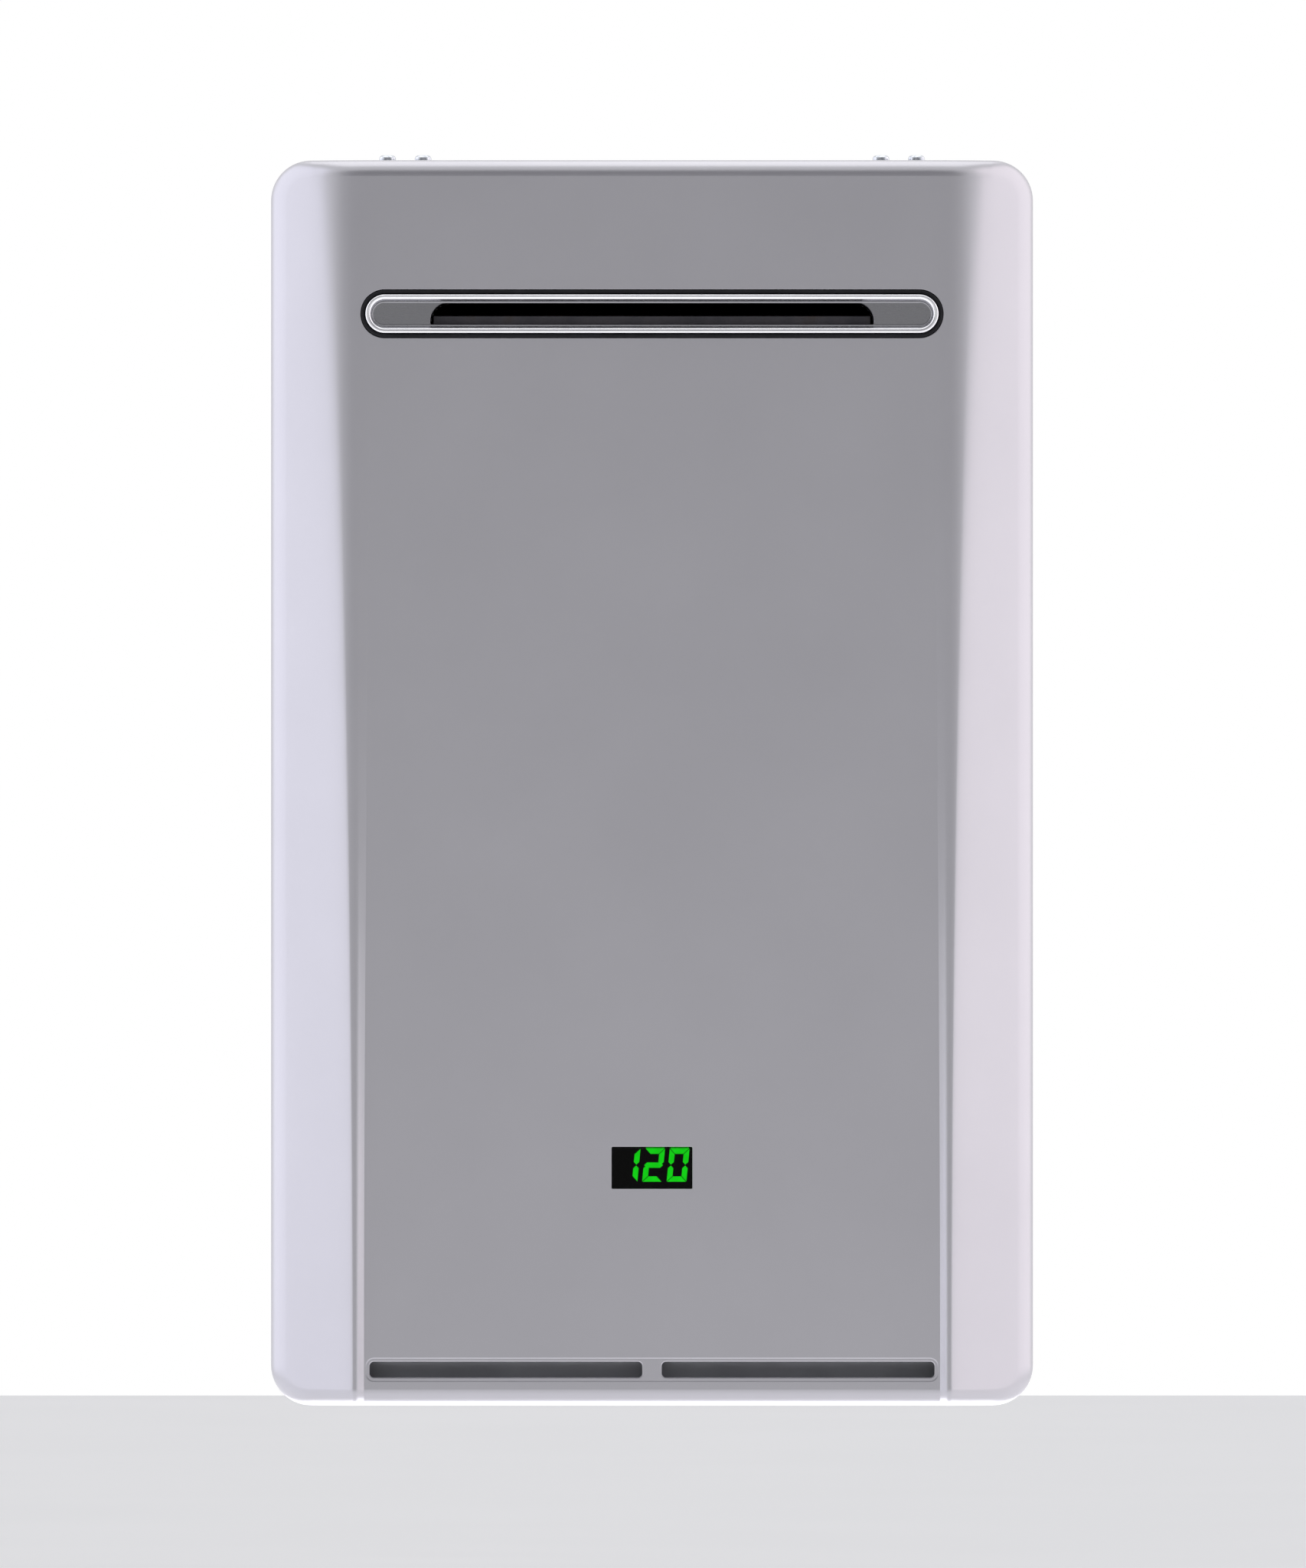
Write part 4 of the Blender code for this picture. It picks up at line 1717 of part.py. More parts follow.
def main():
    clear_scene()
    cover = group_frame("cover_group")
    casing = group_frame("casing_group")
    make_cover(cover)
    make_screws(cover)
    make_display_window(cover)
    make_casing_wrapper(casing)
    make_back_panel(casing)
    make_wall_bracket("wall_bracket_top", 0, casing)
    make_wall_bracket("wall_bracket_bottom", BOTTOM + BRACKET_DROP, casing)
    make_flue_hood(casing)
    make_flue_gasket(casing)
    make_flue_baffle(casing)
    make_flue_collector(casing)
    make_exchanger_wall(casing)
    make_fin_block(casing)
    make_combustion_shell(casing)
    make_exchanger_coil(casing)
    make_burner_box(casing)
    make_burner_rack(casing)
    make_gas_manifold(casing)
    make_electrode("ignition_electrode", -1, casing)
    make_electrode("flame_rod", 1, casing)
    make_fan_housing(casing)
    make_fan_motor(casing)
    make_fan_impeller(casing)
    make_bottom_plate(casing)
    make_fittings(casing)
    make_grommet("cold_grommet", (COLD_X, COLD_Y), casing)
    make_grommet("hot_grommet", (HOT_X, HOT_Y), casing)
    make_grommet("gas_grommet", (GAS_X, GAS_Y), casing)
    make_filter(casing)
    make_drain_plug(casing)
    make_flow_sensor(casing)
    make_flow_turbine(casing)
    make_water_valve(casing)
    make_valve_servo(casing)
    make_gas_valve(casing)
    make_gas_solenoid(casing)
    make_gas_plunger(casing)
    make_pipes(casing)
    make_inlet_deflector(casing)
    make_cross_brace(casing)
    make_stack_bracket(casing)
    make_cable_gland(casing)
    make_controller(casing)
    make_terminal_block(casing)
    make_igniter(casing)
    make_overheat_switch(casing)
    make_outlet_thermistor(casing)


main()
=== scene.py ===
"""Looks for a wall-hung outdoor gas water heater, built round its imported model.

Metres, +Z up, the front facing -Y and the wall at y = 0, as in the model.
"""

import math

import bmesh
import bpy
from mathutils import Matrix, Vector
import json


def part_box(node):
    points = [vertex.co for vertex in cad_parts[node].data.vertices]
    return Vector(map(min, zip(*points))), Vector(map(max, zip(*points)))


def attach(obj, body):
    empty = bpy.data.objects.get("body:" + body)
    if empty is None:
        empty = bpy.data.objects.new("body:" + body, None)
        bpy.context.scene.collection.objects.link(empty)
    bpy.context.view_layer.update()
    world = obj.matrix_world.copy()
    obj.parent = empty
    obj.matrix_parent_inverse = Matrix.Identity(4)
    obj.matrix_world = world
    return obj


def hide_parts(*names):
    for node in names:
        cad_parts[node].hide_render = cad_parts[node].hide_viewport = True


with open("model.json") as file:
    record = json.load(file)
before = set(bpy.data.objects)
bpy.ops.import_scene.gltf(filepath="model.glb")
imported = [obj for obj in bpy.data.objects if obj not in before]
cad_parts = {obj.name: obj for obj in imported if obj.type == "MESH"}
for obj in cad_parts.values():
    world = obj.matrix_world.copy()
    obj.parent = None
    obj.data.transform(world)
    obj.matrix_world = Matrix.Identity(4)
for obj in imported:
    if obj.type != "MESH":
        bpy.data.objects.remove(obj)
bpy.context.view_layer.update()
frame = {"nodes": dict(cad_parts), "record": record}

MM = 0.001
COVER_LOW, COVER_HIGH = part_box("front_cover")
SIDE = COVER_HIGH.x
TOP = COVER_HIGH.z
BOTTOM = COVER_LOW.z
HEIGHT = TOP - BOTTOM


# Camera: a long lens square on to the front, framed as the photograph is
IMAGE_WIDTH = 1706
IMAGE_HEIGHT = 2048
BODY_CENTRE_X = 851.7
BODY_CENTRE_Y = 1022.5
BODY_WIDTH = 356 * MM
BODY_PIXELS = 997
PIXEL = BODY_WIDTH / BODY_PIXELS
SENSOR = 36
LENS = 1000
PANEL_SET_BACK = 4 * MM
DEPTH = 257 * MM
PANEL_Y = PANEL_SET_BACK - DEPTH


def make_camera():
    data = bpy.data.cameras.new("camera")
    data.sensor_width = SENSOR
    data.lens = LENS
    camera = bpy.data.objects.new("camera", data)
    distance = IMAGE_HEIGHT * PIXEL * LENS / SENSOR
    across = (IMAGE_WIDTH / 2 - BODY_CENTRE_X) * PIXEL
    up = (TOP + BOTTOM) / 2 + (BODY_CENTRE_Y - IMAGE_HEIGHT / 2) * PIXEL
    camera.location = (across, PANEL_Y - distance, up)
    camera.rotation_euler = (math.pi / 2, 0, 0)
    bpy.context.scene.collection.objects.link(camera)
    bpy.context.scene.camera = camera


make_camera()


# Colour and material tools


def linear(hex_colour):
    """An sRGB hex colour as linear red, green, blue and alpha."""
    values = [int(hex_colour[i : i + 2], 16) / 255 for i in (0, 2, 4)]
    return [v / 12.92 if v <= 0.04045 else ((v + 0.055) / 1.055) ** 2.4 for v in values] + [1.0]


def add(tree, kind, settings=(), links=(), out=0):
    """Adds a node, sets its properties, inputs and ramp stops, links its inputs, returns an output."""
    node = tree.nodes.new(kind)
    for name, value in dict(settings).items():
        if name == "stops":
            elements = node.color_ramp.elements
            while len(elements) < len(value):
                elements.new(0.5)
            for element, (place, colour) in zip(elements, value):
                element.position = place
                element.color = linear(colour)
        elif isinstance(name, str) and hasattr(node, name):
            setattr(node, name, value)
        else:
            node.inputs[name].default_value = value
    for name, socket in dict(links).items():
        tree.links.new(socket, node.inputs[name])
    return node.outputs[out] if len(node.outputs) else node


NOISE_LOW, NOISE_HIGH = 0.3, 0.7
CLOUD_DETAIL = 4
GRAIN_DETAIL = 2
BUMP_STRENGTH = 0.6


def surface(name, stops, cloud, grain, roughness, relief, stretch=(1, 1, 1), pattern=None, **constants):
    """A finish in two layers: a wide pattern, noise unless given, shifts the colour through the
    stops, and a fine grain, stretched along the way it was worked, sets the gloss and the relief."""
    material = bpy.data.materials.new(name)
    material.use_nodes = True
    tree = material.node_tree
    shader = tree.nodes["Principled BSDF"]
    for key, value in constants.items():
        shader.inputs[key.replace("_", " ")].default_value = value
    place = add(tree, "ShaderNodeTexCoord", out="Object")
    if pattern:
        tone = pattern(tree, place)
    else:
        wide = {"Scale": 1 / cloud, "Detail": CLOUD_DETAIL}
        tone = add(tree, "ShaderNodeTexNoise", wide, {"Vector": place})
    colour = add(tree, "ShaderNodeValToRGB", {"stops": stops}, {"Fac": tone})
    worked = add(tree, "ShaderNodeMapping", {"Scale": stretch}, {"Vector": place})
    close = {"Scale": 1 / grain, "Detail": GRAIN_DETAIL}
    fine = add(tree, "ShaderNodeTexNoise", close, {"Vector": worked})
    dull, bright = roughness[1], roughness[0]
    span = {"From Min": NOISE_LOW, "From Max": NOISE_HIGH, "To Min": bright, "To Max": dull}
    gloss = add(tree, "ShaderNodeMapRange", span, {"Value": fine})
    bump = {"Distance": relief, "Strength": BUMP_STRENGTH}
    normal = add(tree, "ShaderNodeBump", bump, {"Height": fine})
    for key, socket in (("Base Color", colour), ("Roughness", gloss), ("Normal", normal)):
        tree.links.new(socket, shader.inputs[key])
    return material


# Patterns that take the wide noise's place
CRYSTAL = 7 * MM
ZINC_CLOUD = 40 * MM
SPANGLE_LEVEL = 0.6
TRACK_SPAN = 9 * MM
TRACK_WIDTH = 0.06
RING_SPAN = 5 * MM
RING_WAVER = 2.5


def zinc_spangle(tree, place):
    """Flat crystals 7 mm wide, under a slow cloud."""
    crystal = add(tree, "ShaderNodeTexVoronoi", {"Scale": 1 / CRYSTAL}, {"Vector": place}, "Color")
    cell = add(tree, "ShaderNodeSeparateColor", {}, {"Color": crystal}, "Red")
    slow = {"Scale": 1 / ZINC_CLOUD, "Detail": 3}
    cloud = add(tree, "ShaderNodeTexNoise", slow, {"Vector": place})
    both = add(tree, "ShaderNodeMath", {"operation": "ADD"}, {0: cell, 1: cloud})
    return add(tree, "ShaderNodeMath", {"operation": "MULTIPLY", 1: SPANGLE_LEVEL}, {0: both})


def board_tracks(tree, place):
    """Rows of copper tracks, four to the span, that show as paler lines under the lacquer. Real ones
    are near 0.5 mm apart, and are drawn coarser to show."""
    upright = add(tree, "ShaderNodeMapping", {"Rotation": (math.pi / 2, 0, 0)}, {"Vector": place})
    lines = {"Scale": 1 / TRACK_SPAN, "Mortar Size": TRACK_WIDTH}
    return add(tree, "ShaderNodeTexBrick", lines, {"Vector": upright}, "Fac")


def turning_rings(tree, place):
    """Rings left by the lathe, three to the span and wavering a little. Real ones are near 0.1 mm
    apart, and are drawn coarser to show."""
    rings = {"wave_type": "RINGS", "rings_direction": "Z", "Scale": 1 / RING_SPAN}
    rings["Distortion"] = RING_WAVER
    return add(tree, "ShaderNodeTexWave", rings, {"Vector": place}, "Fac")


# Materials by the model's slots, each named for what it is and how its surface was made. A grain
# finer than about 0.8 mm doesn't show at this distance, so the real fine ones, of rolling, blasting
# and moulding, are drawn about that coarse.
MATERIALS = {
    # Powder coat with aluminium flake: a satin metal sheen, even over the whole cover, with the
    # faintest sparkle and orange peel. Real flake is 0.03 mm, and is drawn at 1.1 mm to show.
    "silver_paint": surface(
        "silver_powder_coat", [(0.3, "B4B3B9"), (0.7, "B7B6BC")], 70 * MM, 1.1 * MM,
        (0.3, 0.34), 0.003 * MM, Metallic=0.8, Coat_Weight=0.05, Coat_Roughness=0.3,
    ),
    # Hot-dip galvanised sheet: crystals of zinc that each catch the light a little differently
    "galvanised_steel": surface(
        "galvanised_sheet", [(0.2, "989C9F"), (0.6, "A4A8AB"), (0.9, "AEB2B5")], 40 * MM, 0.9 * MM,
        (0.36, 0.5), 0.01 * MM, pattern=zinc_spangle, Metallic=0.9,
    ),
    # Pressed stainless sheet: bright, with rolling lines along its length
    "stainless_steel": surface(
        "rolled_stainless", [(0.3, "A6A6AA"), (0.7, "B2B2B6")], 26 * MM, 0.8 * MM,
        (0.2, 0.32), 0.004 * MM, (0.05, 1, 1), Metallic=1.0,
    ),
    # Mild steel darkened by exhaust heat: dull, with a brown and blue cast in patches
    "dark_steel": surface(
        "heat_tinted_steel", [(0.3, "4E4D53"), (0.55, "59575C"), (0.75, "564F4D")], 12 * MM, 0.8 * MM,
        (0.5, 0.68), 0.01 * MM, Metallic=0.55,
    ),
    # Zinc-plated screws and pins: bright and faintly blue, with rings from the lathe
    "zinc_plate": surface(
        "bright_zinc_plate", [(0.2, "B4B8BF"), (0.8, "CBCED4")], 3 * MM, 0.6 * MM,
        (0.24, 0.36), 0.004 * MM, pattern=turning_rings, Metallic=1.0,
    ),
    # Copper after brazing: salmon metal with darker clouds of oxide and drawing lines up the tube
    "copper": surface(
        "brazed_copper", [(0.25, "84503A"), (0.42, "B26E4C"), (0.58, "CB8059"), (0.78, "D6967A")],
        24 * MM, 0.8 * MM, (0.26, 0.42), 0.006 * MM, (1, 1, 0.08), Metallic=1.0,
    ),
    # Forged brass, shot-blasted: warm yellow with a fine even grain
    "brass": surface(
        "blasted_brass", [(0.3, "A4863F"), (0.55, "BF9F58"), (0.8, "CDB073")], 11 * MM, 0.8 * MM,
        (0.3, 0.44), 0.014 * MM, Metallic=1.0,
    ),
    # Die-cast aluminium: pale and matt, with flow marks in its skin
    "cast_aluminium": surface(
        "die_cast_aluminium", [(0.3, "97999C"), (0.7, "B0B2B5")], 9 * MM, 1 * MM,
        (0.46, 0.6), 0.02 * MM, Metallic=0.9,
    ),
    # EPDM rubber: dull black with a grey bloom
    "black_rubber": surface(
        "epdm_rubber", [(0.3, "121216"), (0.75, "1F1F24")], 16 * MM, 1 * MM,
        (0.62, 0.78), 0.02 * MM, Specular_IOR_Level=0.25,
    ),
    # ABS with a spark-eroded mould texture that keeps its highlights broad
    "black_plastic": surface(
        "textured_abs", [(0.3, "161619"), (0.7, "202024")], 20 * MM, 0.8 * MM,
        (0.42, 0.56), 0.03 * MM,
    ),
    # Glass-filled polyamide: grey, with paler swirls of fibre
    "grey_plastic": surface(
        "filled_polyamide", [(0.3, "75787C"), (0.7, "8C8F93")], 8 * MM, 0.9 * MM,
        (0.44, 0.58), 0.015 * MM, (1, 0.3, 1),
    ),
    # Glazed alumina: warm white and glossy, with faint stains from the kiln
    "white_ceramic": surface(
        "glazed_alumina", [(0.3, "D8D3C6"), (0.7, "EAE7DF")], 6 * MM, 3 * MM,
        (0.16, 0.26), 0.01 * MM,
    ),
    # Circuit board: green lacquer over copper tracks
    "circuit_board": surface(
        "lacquered_board", [(0.0, "15482F"), (0.5, "194F35"), (1.0, "3F7F50")], 9 * MM, 1.5 * MM,
        (0.3, 0.42), 0.02 * MM, pattern=board_tracks,
    ),
    # Smoked acrylic with an anti-glare coat: black from in front, with the lit digits showing
    # through. The coat takes most of the shine away, which its low IOR stands for.
    "clear_lens": surface(
        "smoked_acrylic", [(0.3, "3A3A3C"), (0.7, "3E3E40")], 30 * MM, 4 * MM,
        (0.0, 0.02), 0.0005 * MM, IOR=1.18, Transmission_Weight=1.0,
    ),
}


LIT_STRENGTH = 19
LIT_CLOUD = 3 * MM


def lit_segment():
    """A light-emitting display segment: green, a little uneven along each bar."""
    material = surface("lit_segment", [(0.2, "0A5A0C"), (0.8, "0C6A0E")], LIT_CLOUD, 1 * MM,
                       (0.3, 0.4), 0.001 * MM, Emission_Strength=LIT_STRENGTH)
    tree = material.node_tree
    place = add(tree, "ShaderNodeTexCoord", out="Object")
    cloud = add(tree, "ShaderNodeTexNoise", {"Scale": 1 / LIT_CLOUD}, {"Vector": place})
    greens = {"stops": [(0.2, "0ACC0C"), (0.8, "12E416")]}
    glow = add(tree, "ShaderNodeValToRGB", greens, {"Fac": cloud})
    tree.links.new(glow, tree.nodes["Principled BSDF"].inputs["Emission Color"])
    return material


LIT_SEGMENT = lit_segment()

for entry in frame["record"]["subparts"]:
    mesh = frame["nodes"][entry["node"]].data
    mesh.materials.clear()
    mesh.materials.append(MATERIALS[entry["material_slot"]])
SLOT = {entry["node"]: entry["material_slot"] for entry in frame["record"]["subparts"]}
BODY = {
    node: body
    for body, nodes in frame["record"]["behaviour"]["bodies"].items()
    for node in nodes
}


# Mesh tools. Outlines are lists of (u, v) points drawn across an axis.
SHARP_ANGLE = math.radians(38)
SOFT_ANGLE = math.radians(40)
OVERRUN = 2 * MM
WELD = 0.0005 * MM
ROUND_SIDES = 64
TUBE_SIDES = 24
CORNER_STEPS = 10


def object_from(name, bm):
    """A smooth-shaded object from a mesh under construction, welded and facing outwards."""
    bmesh.ops.remove_doubles(bm, verts=bm.verts, dist=WELD)
    bmesh.ops.recalc_face_normals(bm, faces=bm.faces)
    mesh = bpy.data.meshes.new(name)
    bm.to_mesh(mesh)
    bm.free()
    mesh.shade_smooth()
    mesh.set_sharp_from_angle(angle=SHARP_ANGLE)
    obj = bpy.data.objects.new(name, mesh)
    bpy.context.scene.collection.objects.link(obj)
    return obj


def applied(obj):
    """Turns the object's modifiers into a mesh of its own."""
    graph = bpy.context.evaluated_depsgraph_get()
    mesh = bpy.data.meshes.new_from_object(obj.evaluated_get(graph))
    obj.modifiers.clear()
    obj.data = mesh
    mesh.shade_smooth()
    mesh.set_sharp_from_angle(angle=SHARP_ANGLE)
    return obj


def joined(name, pieces):
    """One object that holds the meshes of several, which are taken away."""
    bm = bmesh.new()
    for piece in pieces:
        bm.from_mesh(piece.data)
        bpy.data.objects.remove(piece, do_unlink=True)
    return object_from(name, bm)


def boolean(obj, operation, helpers):
    """Cuts or joins the object with helpers, which are then taken away."""
    for helper in helpers:
        modifier = obj.modifiers.new(helper.name, "BOOLEAN")
        modifier.operation = operation
        modifier.object = helper
        modifier.solver = "EXACT"
    applied(obj)
    for helper in helpers:
        bpy.data.objects.remove(helper, do_unlink=True)
    return obj


def cut(obj, *helpers):
    return boolean(obj, "DIFFERENCE", helpers)


def fuse(obj, *helpers):
    return boolean(obj, "UNION", helpers)


def placed(obj, node, slot=None, look=None, replaces=True):
    """Gives a piece its finish and the body of a CAD node, and has it stand for that node. Its flat
    faces keep their own normals beside the rounded edges."""
    obj.modifiers.new("flats", "WEIGHTED_NORMAL").keep_sharp = True
    graph = bpy.context.evaluated_depsgraph_get()
    obj.data = bpy.data.meshes.new_from_object(obj.evaluated_get(graph), preserve_all_data_layers=True,
                                               depsgraph=graph)
    obj.modifiers.clear()
    obj.data.materials.clear()
    obj.data.materials.append(look or MATERIALS[slot or SLOT[node]])
    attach(obj, BODY[node])
    if replaces:
        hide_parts(node)
    return obj


def metres(path):
    """Points drawn in millimetres, in metres."""
    return [tuple(v * MM for v in point) for point in path]


def across(axis, u, v, place):
    """The point at (u, v) in the plane across an axis, at a place along it."""
    return {"X": (place, u, v), "Y": (u, place, v), "Z": (u, v, place)}[axis]


def ring(axis, outline, place):
    return [across(axis, u, v, place) for u, v in outline]


def arc(centre, radius, start, end, steps):
    turns = [math.radians(start + (end - start) * i / steps) for i in range(steps + 1)]
    return [(centre[0] + radius * math.cos(t), centre[1] + radius * math.sin(t)) for t in turns]


def circle(centre, radius, sides):
    return arc(centre, radius, 0, 360 - 360 / sides, sides - 1)


def rounded(low, high, radii, steps=CORNER_STEPS):
    """A rectangle with rounded corners, counter-clockwise from its lower right one."""
    a, b, c, d = radii if isinstance(radii, tuple) else (radii,) * 4
    return (
        arc((high[0] - a, low[1] + a), a, -90, 0, steps)
        + arc((high[0] - b, high[1] - b), b, 0, 90, steps)
        + arc((low[0] + c, high[1] - c), c, 90, 180, steps)
        + arc((low[0] + d, low[1] + d), d, 180, 270, steps)
    )


def about(centre, half_wide, half_high, radii, steps=CORNER_STEPS):
    """The same rectangle, given by its middle."""
    low = (centre[0] - half_wide, centre[1] - half_high)
    high = (centre[0] + half_wide, centre[1] + half_high)
    return rounded(low, high, radii, steps)


def quarter(start, end, turn_first, steps=6):
    """Points from start to end on a quarter ellipse, leaving along u or along v."""
    points = []
    for i in range(1, steps + 1):
        t = math.pi / 2 * i / steps
        a, b = (math.sin(t), 1 - math.cos(t)) if turn_first == "u" else (1 - math.cos(t), math.sin(t))
        points.append((start[0] + (end[0] - start[0]) * a, start[1] + (end[1] - start[1]) * b))
    return points


def loft(name, rings, closed=False):
    """A skin through rings of equally many points, its ends capped, or closed on itself."""
    bm = bmesh.new()
    loops = [[bm.verts.new(p) for p in points] for points in rings]
    following = loops[1:] + loops[:1] if closed else loops[1:]
    for first, second in zip(loops, following):
        for i in range(len(first)):
            j = (i + 1) % len(first)
            bm.faces.new((first[i], first[j], second[j], second[i]))
    if not closed:
        bm.faces.new(loops[0])
        bm.faces.new(loops[-1])
    return object_from(name, bm)


def skinned(name, axis, stations, closed=False):
    """A skin through outlines, each at its place along an axis."""
    return loft(name, [ring(axis, outline, place) for outline, place in stations], closed)


def extruded(name, outlines, axis, start, end):
    """Outlines, apart from each other, extruded along an axis."""
    bm = bmesh.new()
    for outline in outlines:
        face = bm.faces.new([bm.verts.new(p) for p in ring(axis, outline, start)])
        grown = bmesh.ops.extrude_face_region(bm, geom=[face])["geom"]
        moved = [part for part in grown if isinstance(part, bmesh.types.BMVert)]
        bmesh.ops.translate(bm, vec=across(axis, 0, 0, end - start), verts=moved)
    return object_from(name, bm)


def turned(name, profile, axis, centre, sides=ROUND_SIDES):
    """A profile of (radius, place along the axis) points spun about a line through centre."""
    bm = bmesh.new()
    points = [bm.verts.new(across(axis, radius, 0, place)) for radius, place in profile]
    edges = [bm.edges.new(pair) for pair in zip(points, points[1:])]
    if profile[0][0] > 0:
        edges.append(bm.edges.new((points[-1], points[0])))
    direction = across(axis, 0, 0, 1)
    bmesh.ops.spin(bm, geom=points + edges, axis=direction, angle=math.tau, steps=sides)
    bmesh.ops.translate(bm, vec=across(axis, centre[0], centre[1], 0), verts=bm.verts)
    return object_from(name, bm)


def rod(name, radius, axis, centre, start, end, edge=0, sides=ROUND_SIDES):
    """A round bar along an axis, its rims rounded by edge."""
    profile = [(0, start), (radius - edge, start)]
    profile += quarter((radius - edge, start), (radius, start + edge), "u", 4) if edge else []
    profile.append((radius, end - edge))
    profile += quarter((radius, end - edge), (radius - edge, end), "v", 4) if edge else []
    return turned(name, profile + [(0, end)], axis, centre, sides)


def block(name, low, high, edge):
    """A box between two corners, its edges rounded."""
    outline = rounded(low[:2], high[:2], edge, 3)
    inner = rounded([v + edge / 2 for v in low[:2]], [v - edge / 2 for v in high[:2]], edge / 2, 3)
    return skinned(name, "Z", [(inner, low[2]), (outline, low[2] + edge / 2),
                               (outline, high[2] - edge / 2), (inner, high[2])])


NUT_CHAMFER = 0.8 * MM
NUT_FACE = 0.93


def nut(name, centre, flats, axis, start, end):
    """A hexagonal bar with both rims chamfered."""
    radius = flats / math.sqrt(3)
    wide, narrow = circle(centre, radius, 6), circle(centre, radius * NUT_FACE, 6)
    chamfer = min(NUT_CHAMFER, (end - start) / 3)
    return skinned(name, axis, [(narrow, start), (wide, start + chamfer),
                                (wide, end - chamfer), (narrow, end)])


def filleted(points, radius, steps=8):
    """A route through straight runs whose corners are bent to a radius."""
    points = [Vector(p) for p in points]
    route = [points[0]]
    for before, corner, after in zip(points, points[1:], points[2:]):
        inward = (before - corner).normalized()
        outward = (after - corner).normalized()
        half = inward.angle(outward) / 2
        reach = radius / math.tan(half)
        middle = corner + (inward + outward).normalized() * (radius / math.sin(half))
        first = corner + inward * reach - middle
        turn = Matrix.Rotation((math.pi - 2 * half) / steps, 3, first.cross(-inward))
        for _ in range(steps + 1):
            route.append(middle + first)
            first = turn @ first
    return route + [points[-1]]


def tube(name, route, radius):
    """A round bar along a route, its ends closed."""
    route = [Vector(p) for p in route]
    way = (route[1] - route[0]).normalized()
    side = way.orthogonal().normalized()
    rings = []
    for before, point, after in zip(route[:1] + route, route, route[1:] + route[-1:]):
        onward = (after - before).normalized()
        side = (way.rotation_difference(onward) @ side).normalized()
        way = onward
        across_way = way.cross(side)
        turns = [math.tau * i / TUBE_SIDES for i in range(TUBE_SIDES)]
        rings.append([point + (side * math.cos(t) + across_way * math.sin(t)) * radius for t in turns])
    return loft(name, rings)


def bent_sheet(path, thickness, bend):
    """The section of a sheet along a path with rounded bends, its thickness to the path's left."""
    points = [Vector(p[:2]) for p in filleted([(u, v, 0) for u, v in path], bend, 5)]
    runs = [(b - a).normalized() for a, b in zip(points, points[1:])]
    sides = [Vector((-run.y, run.x)) for run in runs]
    shifted = []
    for i, point in enumerate(points):
        before, after = sides[max(i - 1, 0)], sides[min(i, len(sides) - 1)]
        mitre = (before + after).normalized()
        shifted.append(point + mitre * (thickness / mitre.dot(after)))
    return [tuple(p) for p in points + shifted[::-1]]


# The front cover, pressed from one sheet. Its section turns from a soft bend at the top to a standing
# crest at the bottom, faster in the upper half, and is smoothed by cutting the corners of a few guide
# points.
SHEET = 1.2 * MM
CORNER = 18.5 * MM
COVER_EDGE = 7.5 * MM
FLANK_ANGLE = math.radians(40)
FLANK_BEND = 50 * MM
BEND_FROM_SIDE = 52 * MM
BEND_STEPS = 5
CREST_WIDTH = 2.5 * MM
CREST_ROUND = 0.6 * MM
CREST_SET_BACK = 0.12 * MM
CREST_WALL = 4.2 * MM
SMOOTHINGS = 3
COVER_CORNER_STEPS = 14
COVER_EDGE_STEPS = 10
COVER_ROWS = 60
COVER_SHARP = math.radians(16)

FRONT = -DEPTH
COVER_REAR = COVER_HIGH.y
BEND_X = SIDE - BEND_FROM_SIDE
FLANK_X = BEND_X + FLANK_BEND * math.sin(FLANK_ANGLE)
FLANK_SET_BACK = PANEL_SET_BACK + FLANK_BEND * (1 - math.cos(FLANK_ANGLE))

OUTLET_Z = TOP - 71.7 * MM
OUTLET_WIDTH = 272 * MM
OUTLET_HEIGHT = 22.7 * MM
SLOT_LENGTH = 127 * MM
SLOT_HEIGHT = 7.3 * MM
SLOT_BRIDGE = 9.3 * MM
SLOT_RISE = 13.1 * MM
SLOT_CORNER = 2 * MM
DISPLAY_Z = BOTTOM + 111 * MM
DISPLAY_WIDTH = 37.6 * MM
DISPLAY_HEIGHT = 19.5 * MM
DISPLAY_CORNER = 0.5 * MM
SCREW_X = (-123.6 * MM, -107 * MM, 107 * MM, 123.6 * MM)
SCREW_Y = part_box("cover_screw_1")[0].y + 3.9 * MM
SCREW_HOLE = 2.3 * MM


def flank_set_back(x):
    return FLANK_SET_BACK + (x - FLANK_X) * math.tan(FLANK_ANGLE)


